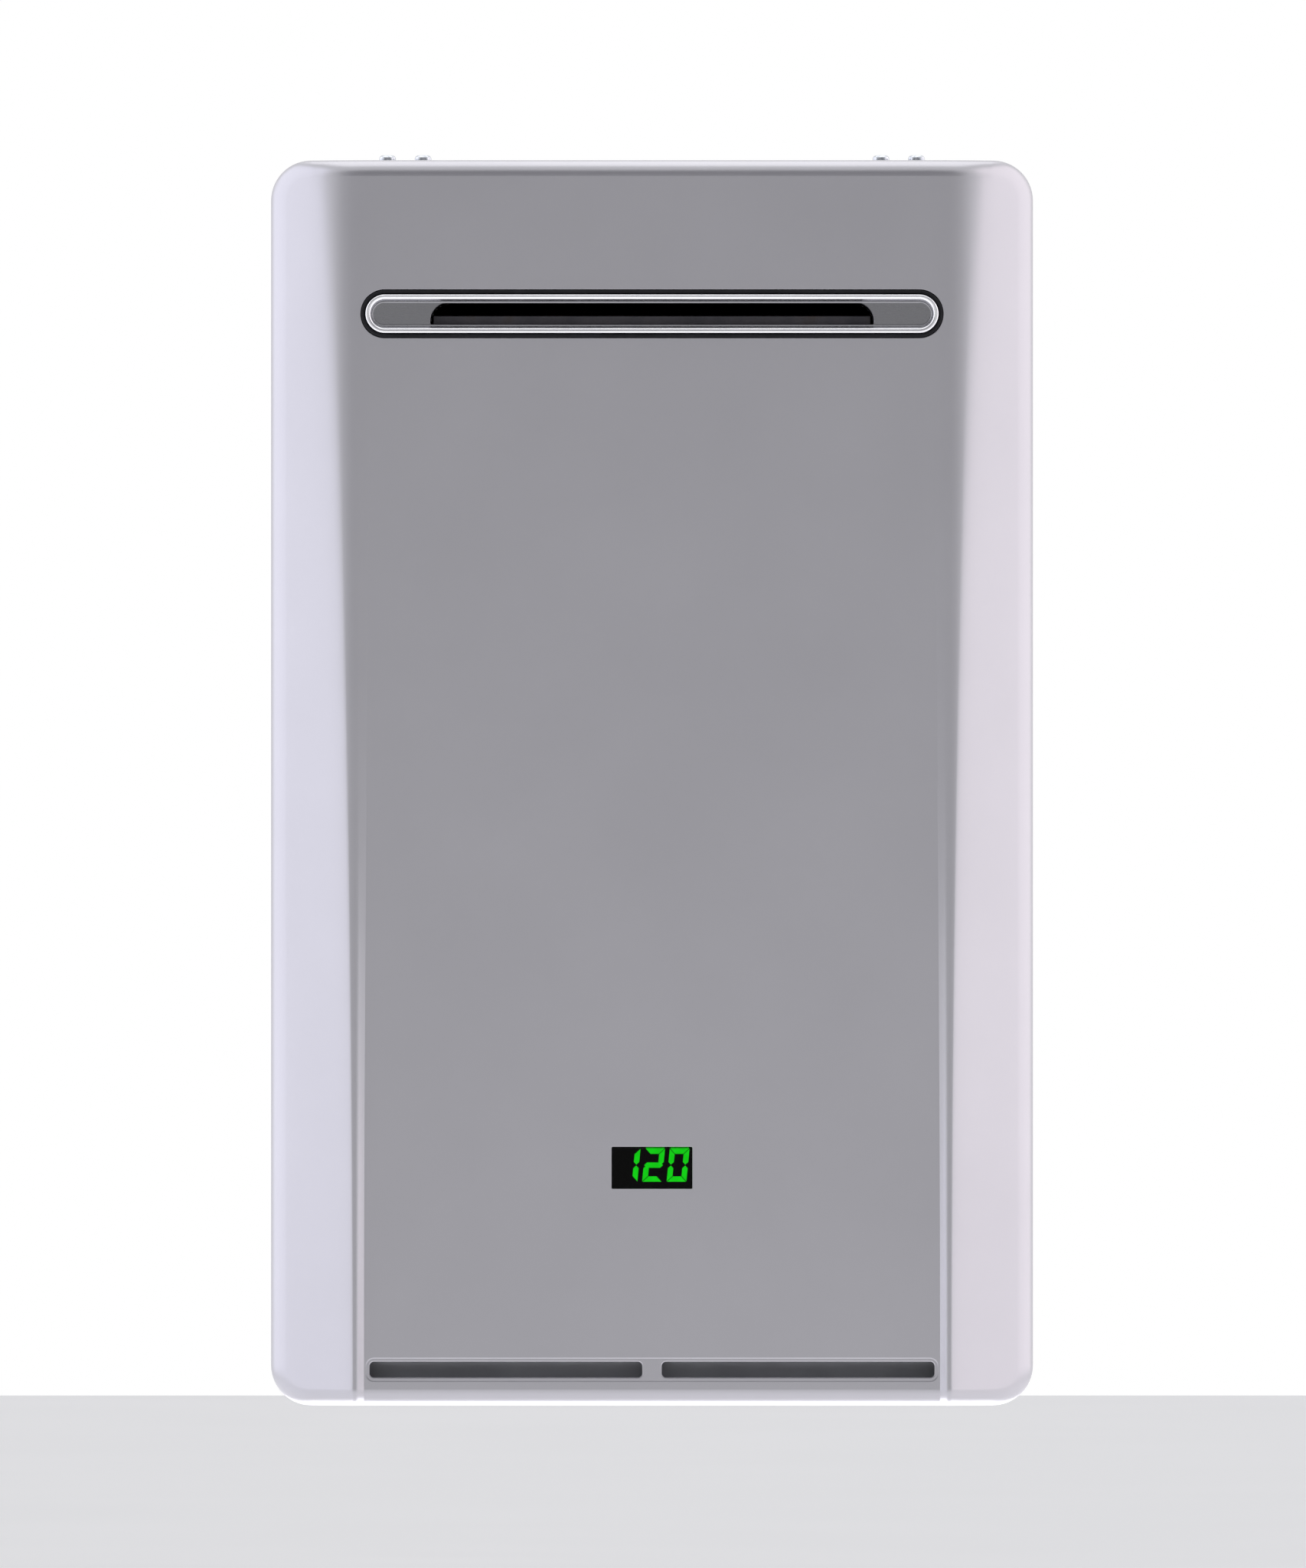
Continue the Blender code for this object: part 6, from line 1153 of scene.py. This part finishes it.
# Pipes and the spark lead in millimetres: route, radius and bend
RUNS = {
    "cold_feed_pipe": (
        ((118, -122, -398.9), (118, -122, -384.9), (127.3, -110, -360.9), (127.3, -110, -274)), 7, 12),
    "hot_outlet_pipe": (((126.3, -69.5, -95.3), (148, -69.5, -95.3), (148, -69.5, -477.5)), 7, 12),
    "gas_pipe": (
        ((-140, -90, -419.2), (-140, -90, -314), (-140, -190, -314), (-104.3, -190, -314)), 7.5, 12),
    "ignition_lead": (
        ((-163.5, -150.3, -294.7), (-163.5, -184, -294.7), (-145.5, -210.1, -294.7),
         (-58, -210.1, -272), (-24, -210.1, -272), (-24, -192.1, -272)), 2.5, 9),
}


def make_pipes():
    placed(tube("wound_coil", coil_route(), TUBE_RADIUS), "exchanger_coil")
    for node, (points, radius, bend) in RUNS.items():
        placed(tube(f"bent_{node}", filleted(metres(points), bend * MM), radius * MM), node)


make_exchanger()
make_pipes()


# Burners: seven bars with a comb of ports, two cross bars, the manifold and its jets, and the spark
# and flame rods in their ceramics
BURNER_X = [i * 30 * MM for i in range(-3, 4)]
BURNER_REAR, BURNER_FRONT = -53 * MM, -167 * MM
BURNER_FOOT, BURNER_TOP = -333.5 * MM, -287.5 * MM
BURNER_HALF = 6.5 * MM
BURNER_EDGE = 4 * MM
PORT_BASE = -296 * MM
PORT_HALF = 3.6 * MM
PORT_COUNT = 22
PORT_DEPTH = 4 * MM
BAR_FOOT, BAR_TOP, BAR_DEEP = -336.5 * MM, -330.5 * MM, 14 * MM
BAR_HALF = 103 * MM
BAR_EDGE = 0.8 * MM
MANIFOLD_Y, MANIFOLD_Z = -190 * MM, -314 * MM
RAIL_RADIUS = 8 * MM
RAIL_HALF = 100 * MM
PLUG_FLATS = 13 * MM
PLUG_LENGTH = 4.5 * MM
PLUG_X = (-104 * MM, 99.5 * MM)
JET_RADIUS = 3 * MM
JET_TIP = -171 * MM
JET_EDGE = 0.6 * MM
JET_FLATS = 8 * MM
JET_HEXAGON = (-183 * MM, -177 * MM)
ROD_Z = -272 * MM
ROD_X = {"ignition_electrode": -24 * MM, "flame_rod": 24 * MM}
# A ceramic with its rod, in millimetres of (radius, y): the ribbed tail, and the collar and wire
CERAMIC_TAIL = ((0, -191.8), (3.4, -191.8), (4, -191.2))
CERAMIC_RIBS = (-189.5, -186.5, -183.5, -180.5)
CERAMIC_RIB = ((4, -0.9), (3.2, -0.5), (3.2, 0.5), (4, 0.9))
CERAMIC_NOSE = (
    (4, -177.8), (6.5, -177.8), (7, -177.3), (7, -175.8), (6.5, -175.3), (4, -175.3), (3.4, -167),
    (2.8, -166.3), (1.1, -166.3), (1.1, -148.6), (0.8, -148.3), (0, -148.3),
)


def port_comb():
    """The burner's top edge from the side, its ports cut down from the top."""
    pitch = (BURNER_REAR - BURNER_FRONT) / PORT_COUNT
    floor = BURNER_TOP - PORT_DEPTH
    outline = [(BURNER_REAR, PORT_BASE), (BURNER_REAR, BURNER_TOP)]
    for i in range(1, PORT_COUNT):
        middle = BURNER_REAR - pitch * i
        near, far = middle + pitch / 5, middle - pitch / 5
        outline += [(near, BURNER_TOP), (near, floor), (far, floor), (far, BURNER_TOP)]
    return outline + [(BURNER_FRONT, BURNER_TOP), (BURNER_FRONT, PORT_BASE)]


def make_burners():
    pieces = []
    for x in BURNER_X:
        pieces.append(block("burner_body", (x - BURNER_HALF, BURNER_FRONT, BURNER_FOOT),
                            (x + BURNER_HALF, BURNER_REAR, PORT_BASE), BURNER_EDGE))
        pieces.append(extruded("ports", [port_comb()], "X", x - PORT_HALF, x + PORT_HALF))
    for y in (BURNER_FRONT, BURNER_REAR - BAR_DEEP):
        pieces.append(block("cross_bar", (-BAR_HALF, y, BAR_FOOT), (BAR_HALF, y + BAR_DEEP, BAR_TOP),
                            BAR_EDGE))
    placed(joined("ported_burners", pieces), "burner_rack")
    centre = (MANIFOLD_Y, MANIFOLD_Z)
    pieces = [rod("rail", RAIL_RADIUS, "X", centre, -RAIL_HALF, RAIL_HALF, BAR_EDGE, 32)]
    pieces += [nut("end_plug", centre, PLUG_FLATS, "X", x, x + PLUG_LENGTH) for x in PLUG_X]
    for x in BURNER_X:
        centre = (x, MANIFOLD_Z)
        pieces.append(rod("jet", JET_RADIUS, "Y", centre, MANIFOLD_Y, JET_TIP, JET_EDGE, 24))
        pieces.append(nut("jet_hexagon", centre, JET_FLATS, "Y", *JET_HEXAGON))
    placed(joined("jetted_manifold", pieces), "gas_manifold")


def make_rods():
    ribbed = [(radius, y + step) for y in CERAMIC_RIBS for radius, step in CERAMIC_RIB]
    path = [*CERAMIC_TAIL, *ribbed, *CERAMIC_NOSE]
    for node, x in ROD_X.items():
        placed(turned(f"ribbed_{node}", metres(path), "Y", (x, ROD_Z), 32), node)


# Fan: a wheel of forward-curved blades on its shaft, and the motor behind with grooves round it, in
# millimetres of inner and outer radius, width and y
FAN_CENTRE = (-48 * MM, -398.3 * MM)
BLADE_COUNT = 36
BLADE_STEPS = 4
BLADE_INNER, BLADE_OUTER = 34 * MM, 41.4 * MM
BLADE_SWEEP = 14
BLADE_SHEET = 0.8 * MM
BLADE_FRONT, BLADE_REAR = -164 * MM, -124 * MM
# The wheel's turned parts, in millimetres of (radius, y)
WHEEL_PARTS = {
    "plate": ((0, -125.2), (9, -125.2), (41.6, -125.2), (42, -124.8), (42, -123.6), (0, -123.6)),
    "hoop": ((33.6, -164.4), (41.6, -164.4), (42, -164), (42, -162.8), (33.6, -162.8)),
    "hub": ((3, -147.6), (7.6, -147.6), (9, -146.2), (9, -124), (3, -124)),
    "shaft": ((0, -147), (2.6, -147), (3, -146.6), (3, -101.5), (0, -101.5)),
}
MOTOR_EDGE = 1.5 * MM
MOTOR_GROOVES = (28.6, 30.4, 3, (-110, -104, -98, -92))


def grooves(centre, inner, outer, wide, places, sides=ROUND_SIDES):
    """Rings along Y that cut grooves round a barrel, their sizes in millimetres."""
    rings = []
    for y in places:
        low, high = y - wide / 2, y + wide / 2
        path = ((inner, low), (outer, low), (outer, high), (inner, high))
        rings.append(turned("groove", metres(path), "Y", centre, sides))
    return rings


def blade_outline(number):
    """One blade from in front: a thin crescent that leans the way the wheel turns."""
    x, z = FAN_CENTRE
    faces = []
    for shift in (0, BLADE_SHEET):
        face = []
        for step in range(BLADE_STEPS + 1):
            part = step / BLADE_STEPS
            radius = BLADE_INNER + (BLADE_OUTER - BLADE_INNER) * part
            turn = math.radians(360 * number / BLADE_COUNT + BLADE_SWEEP * part * part) + shift / radius
            face.append((x + radius * math.cos(turn), z + radius * math.sin(turn)))
        faces.append(face)
    return faces[0] + faces[1][::-1]


def make_fan():
    outlines = [blade_outline(i) for i in range(BLADE_COUNT)]
    pieces = [extruded("blades", outlines, "Y", BLADE_FRONT, BLADE_REAR)]
    pieces += [turned(name, metres(path), "Y", FAN_CENTRE) for name, path in WHEEL_PARTS.items()]
    placed(joined("bladed_wheel", pieces), "fan_impeller")
    motor = eased("fan_motor", MOTOR_EDGE)
    motor.name = "ribbed_motor"
    cut(motor, *grooves(FAN_CENTRE, *MOTOR_GROOVES))


# Water and gas fittings: threaded spigots, each in a lipped grommet
FITTINGS = {
    "cold_inlet": (118, -122, "cold_grommet"), "hot_outlet": (148, -69.5, "hot_grommet"),
    "gas_inlet": (-140, -120, "gas_grommet"),
}
FITTING_EDGE = 0.5 * MM
THREAD_RADIUS = 13.2 * MM
THREAD_CREST = THREAD_RADIUS + 0.05 * MM
THREAD_ROOT = THREAD_RADIUS - 0.8 * MM
THREAD_PITCH = 1.9 * MM
THREAD_FOOT, THREAD_TOP = -533 * MM, -509 * MM
# A grommet with a lip on each side of the plate, in millimetres of (radius, z)
GROMMET_PATH = (
    (13.5, -506.4), (13.9, -506.8), (17.6, -506.8), (18.3, -506.1), (18.3, -505.7), (17.9, -505.3),
    (15.5, -505.3), (15.5, -503.5), (17.9, -503.5), (18.3, -503.1), (18.3, -502.7), (17.6, -502),
    (13.9, -502), (13.5, -502.4),
)


def make_fittings():
    outside = THREAD_RADIUS + OVERRUN
    thread = [(outside, THREAD_FOOT)]
    place = THREAD_FOOT
    while place < THREAD_TOP:
        thread += [(THREAD_CREST, place), (THREAD_ROOT, place + THREAD_PITCH / 2)]
        place += THREAD_PITCH
    thread += [(THREAD_CREST, place), (outside, place)]
    for node, (x, y, grommet) in FITTINGS.items():
        centre = (x * MM, y * MM)
        cut(eased(node, FITTING_EDGE), turned("thread", thread, "Z", centre, 48))
        placed(turned(f"lipped_{grommet}", metres(GROMMET_PATH), "Z", centre), grommet)


# Caps with grips and a coin slot, in millimetres: middle, cap and plug radius. The filter's strainer
# is a cage of wires and hoops.
CAPS = {"filter_cap": ((118, -156), 10, 7.8), "drain_plug": ((148, -99.5), 7, 5)}
CAP_SHOULDER = -510.3 * MM
CAP_EDGE = 0.8 * MM
CAP_SINK = 1 * MM
STEM_EDGE = 0.4 * MM
GRIP_COUNT = 18
GRIP_STEPS = 8
GRIP_DEPTH = 0.03
COIN_SLOT_HALF = (5 * MM, 0.8 * MM)
COIN_SLOT_CORNER = 0.3 * MM
COIN_SLOT_DEPTH = 1.6 * MM
STRAINER_CENTRE = (118 * MM, -156 * MM)
WIRE_COUNT = 20
WIRE_RADIUS = 0.3 * MM
WIRE_CIRCLE = 7.7 * MM
WIRE_FOOT, WIRE_TOP = -502 * MM, -469.5 * MM
HOOP_INNER, HOOP_OUTER = 7.4 * MM, 8 * MM
HOOP_HEIGHT = 0.6 * MM
HOOP_Z = [(-502.4 + 2 * i) * MM for i in range(17)]
STRAINER_ENDS = ((-470.4 * MM, -468.8 * MM, 0.4 * MM), (-503 * MM, -501.6 * MM, 0.3 * MM))


def grip_outline(centre, size):
    """A circle fluted for the fingers."""
    points = []
    for i in range(GRIP_COUNT * GRIP_STEPS):
        turn = math.tau * i / (GRIP_COUNT * GRIP_STEPS)
        reach = size * (1 - GRIP_DEPTH * (1 + math.cos(turn * GRIP_COUNT)))
        points.append((centre[0] + reach * math.cos(turn), centre[1] + reach * math.sin(turn)))
    return points


def make_caps():
    for node, (middle, radius, plug) in CAPS.items():
        centre = tuple(v * MM for v in middle)
        low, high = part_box(node)
        wide = grip_outline(centre, radius * MM)
        narrow = grip_outline(centre, radius * MM - CAP_EDGE)
        cap = skinned(f"gripped_{node}", "Z", [
            (narrow, low.z), (wide, low.z + CAP_EDGE),
            (wide, CAP_SHOULDER - CAP_EDGE / 2), (narrow, CAP_SHOULDER),
        ])
        fuse(cap, rod("stem", plug * MM, "Z", centre, CAP_SHOULDER - CAP_SINK, high.z, STEM_EDGE, 48))
        slot = about(centre, *COIN_SLOT_HALF, COIN_SLOT_CORNER, 2)
        cut(cap, extruded("coin_slot", [slot], "Z", low.z - OVERRUN, low.z + COIN_SLOT_DEPTH))
        placed(cap, node)
    pieces = [rod("wire", WIRE_RADIUS, "Z", place, WIRE_FOOT, WIRE_TOP, sides=8)
              for place in circle(STRAINER_CENTRE, WIRE_CIRCLE, WIRE_COUNT)]
    for z in HOOP_Z:
        top = z + HOOP_HEIGHT
        profile = [(HOOP_INNER, z), (HOOP_OUTER, z), (HOOP_OUTER, top), (HOOP_INNER, top)]
        pieces.append(turned("hoop", profile, "Z", STRAINER_CENTRE, 40))
    for low, high, edge in STRAINER_ENDS:
        pieces.append(rod("end", HOOP_OUTER, "Z", STRAINER_CENTRE, low, high, edge, 40))
    placed(joined("mesh_strainer", pieces), "filter_strainer")


# Electrical pieces: the gas coil, the overheat switch and the mains terminals
SOLENOID_CENTRE = (-140 * MM, -457.5 * MM)
SOLENOID_EDGE = 0.8 * MM
SOLENOID_GROOVES = (13.2, 14.6, 2, (-161, -156, -151, -146, -141), 48)
SWITCH_CENTRE = (62 * MM, -95.3 * MM)
# The switch's can, crimped cap and post, in millimetres of (radius, y)
SWITCH_PATH = (
    (0, -182.3), (2, -182.3), (2.4, -181.9), (2.4, -180.6), (7.2, -180.6), (8, -179.8), (8, -177.2),
    (9.5, -177.2), (10, -176.7), (10, -175.3), (0, -175.3),
)
TERMINAL_EDGE = 0.7 * MM
TERMINAL_X = [x * MM for x in (107.5, 118.5, 129.5, 140.5)]
TERMINAL_Z = -430 * MM
TERMINAL_SCREW = 2.2 * MM
TERMINAL_SCREW_Y = (-212.5 * MM, -209 * MM)
TERMINAL_SCREW_EDGE = 0.4 * MM
DRIVER_SLOT_HALF = (2.4 * MM, 0.35 * MM)
DRIVER_SLOT_CORNER = 0.1 * MM
DRIVER_SLOT_Y = (-213 * MM, -211.6 * MM)


def make_electrics():
    cut(eased("gas_solenoid", SOLENOID_EDGE), *grooves(SOLENOID_CENTRE, *SOLENOID_GROOVES))
    placed(turned("crimped_switch", metres(SWITCH_PATH), "Y", SWITCH_CENTRE), "overheat_switch")
    terminals = eased("terminal_block", TERMINAL_EDGE)
    for number, x in enumerate(TERMINAL_X, start=1):
        centre = (x, TERMINAL_Z)
        screw = rod(f"terminal_screw_{number}", TERMINAL_SCREW, "Y", centre, *TERMINAL_SCREW_Y,
                    TERMINAL_SCREW_EDGE, 24)
        slot = about(centre, *DRIVER_SLOT_HALF, DRIVER_SLOT_CORNER, 1)
        cut(screw, extruded("driver_slot", [slot], "Y", *DRIVER_SLOT_Y))
        placed(screw, "terminal_block", "zinc_plate", replaces=False)
    terminals.name = "welled_terminal_block"


make_burners()
make_rods()
make_fan()
make_fittings()
make_caps()
make_electrics()


# Floor, world and lamps: pale paper in a white surround, and a softbox at each side, one above and
# one below. The front reflects a grey card round the camera, and a darker flag over it draws the
# dark band under the cover's top edge. Neither card shows to the camera.


def seen_rays(tree):
    """One for what the camera sees directly, in a reflection or through a lens, and else nought."""
    path = add(tree, "ShaderNodeLightPath").node
    both = add(tree, "ShaderNodeMath", {"operation": "MAXIMUM"},
               {0: path.outputs["Is Camera Ray"], 1: path.outputs["Is Glossy Ray"]})
    return add(tree, "ShaderNodeMath", {"operation": "MAXIMUM"},
               {0: both, 1: path.outputs["Is Transmission Ray"]})


def white_paper():
    """Seamless paper: matt and faintly fibrous, white round the object and pale grey far off. It is
    clear from below, so that the object can be seen from there."""
    material = surface("white_paper", [(0.3, "F2F2F2"), (0.7, "F6F6F6")], 0.4, 4 * MM,
                       (0.85, 0.95), 0.02 * MM)
    tree = material.node_tree
    lit = tree.nodes["Principled BSDF"].outputs[0]
    seen = add(tree, "ShaderNodeLightPath", out="Is Camera Ray")
    blend = {"operation": "MULTIPLY_ADD", 1: PAPER_GLOW - PAPER_MIRRORED, 2: PAPER_MIRRORED}
    level = add(tree, "ShaderNodeMath", blend, {0: seen})
    glow = add(tree, "ShaderNodeEmission", {}, {"Strength": level})
    both = add(tree, "ShaderNodeAddShader", {}, {0: lit, 1: glow})
    mixed = add(tree, "ShaderNodeMixShader", {}, {0: seen_rays(tree), 1: lit, 2: both})
    under = add(tree, "ShaderNodeNewGeometry", out="Backfacing")
    clear = add(tree, "ShaderNodeBsdfTransparent")
    sheet = add(tree, "ShaderNodeMixShader", {}, {0: under, 1: mixed, 2: clear})
    tree.links.new(sheet, tree.nodes["Material Output"].inputs["Surface"])
    return material


# Light that the paper adds to its own, seen straight and in a reflection
PAPER_GLOW = 0.2
PAPER_MIRRORED = 0.5
FLOOR_DROP = 0.42
FLOOR_HALF = 30.0
CARD_Y = -3.2
CARD_HALF = 4.0
CARD_LEVEL = 0.62
CARD_CLOUD = 2 / 3
FLAG_Y = -2.8
FLAG_HALF = 2.6
FLAG_LOW = 0.42
FLAG_TOP = 2.4
BOARD = 0.01


def make_card(name, half, low, high, y, material):
    """A large flat card that only reflections see."""
    outline = rounded((-half, low), (half, high), half / 20)
    card = extruded(name, [outline], "Y", y, y - BOARD)
    card.data.materials.append(material)
    card.visible_camera = False
    card.visible_shadow = False
    return card


def card_grey():
    """Grey studio card, evenly lit from its own side and faintly mottled."""
    material = surface("grey_card", [(0.3, "101010"), (0.7, "121212")], 0.5, 5 * MM, (0.9, 1.0),
                       0.1 * MM, Emission_Strength=CARD_LEVEL)
    tree = material.node_tree
    place = add(tree, "ShaderNodeTexCoord", out="Object")
    cloud = add(tree, "ShaderNodeTexNoise", {"Scale": 1 / CARD_CLOUD}, {"Vector": place})
    greys = {"stops": [(0.3, "FAFAFA"), (0.7, "FFFFFF")]}
    glow = add(tree, "ShaderNodeValToRGB", greys, {"Fac": cloud})
    tree.links.new(glow, tree.nodes["Principled BSDF"].inputs["Emission Color"])
    return material


def make_stage():
    bm = bmesh.new()
    bmesh.ops.create_grid(bm, x_segments=1, y_segments=1, size=FLOOR_HALF)
    floor = object_from("studio_floor", bm)
    if floor.data.polygons[0].normal.z < 0:
        floor.data.flip_normals()
    floor.location = (0, 0, BOTTOM - FLOOR_DROP)
    floor.data.materials.append(white_paper())
    make_card("grey_card", CARD_HALF, BOTTOM - FLOOR_DROP + BOARD, FLAG_TOP, CARD_Y, card_grey())
    felt = surface("black_felt", [(0.3, "909092"), (0.7, "98989A")], 0.2, 3 * MM, (0.9, 1.0),
                   0.1 * MM)
    flag = make_card("black_flag", FLAG_HALF, FLAG_LOW, FLAG_TOP, FLAG_Y, felt)
    flag.visible_diffuse = False
    world = bpy.data.worlds.new("studio")
    bpy.context.scene.world = world
    world.use_nodes = True
    tree = world.node_tree
    tree.nodes.clear()
    lit = add(tree, "ShaderNodeBackground", {"Color": linear(WORLD_LIGHT), "Strength": 1.0})
    white = add(tree, "ShaderNodeBackground", {"Color": linear("FFFFFF"), "Strength": 1.0})
    mixed = add(tree, "ShaderNodeMixShader", {}, {0: seen_rays(tree), 1: lit, 2: white})
    add(tree, "ShaderNodeOutputWorld", {}, {"Surface": mixed})


WORLD_LIGHT = "C0C0C4"
AIM_Y = -0.2

# Each lamp: name, place, size, power in watts, colour
LAMPS = (
    ("left_softbox", (-1.9, 0.2, 0.3), (2.4, 2.2), 15.5, "EEEEFF"),
    ("right_softbox", (1.9, 0.2, 0.3), (2.4, 2.2), 15, "FFF2F6"),
    ("top_softbox", (0, 0.3, 1.8), (2.4, 2.0), 14.5, "FFFFFF"),
    ("low_reflector", (0, -0.1, BOTTOM - 0.40), (1.0, 1.6), 10, "FFFFFF"),
)


def make_lamps():
    aim = Vector((0, AIM_Y, MIDDLE_Z))
    for name, place, size, power, colour in LAMPS:
        data = bpy.data.lights.new(name, "AREA")
        data.shape = "RECTANGLE"
        data.size, data.size_y = size
        data.energy = power
        data.color = linear(colour)[:3]
        lamp = bpy.data.objects.new(name, data)
        lamp.location = place
        lamp.rotation_euler = (aim - Vector(place)).to_track_quat("-Z", "Y").to_euler()
        lamp.visible_camera = False
        bpy.context.scene.collection.objects.link(lamp)


make_stage()
make_lamps()

view_settings = bpy.context.scene.view_settings
view_settings.view_transform = "Standard"
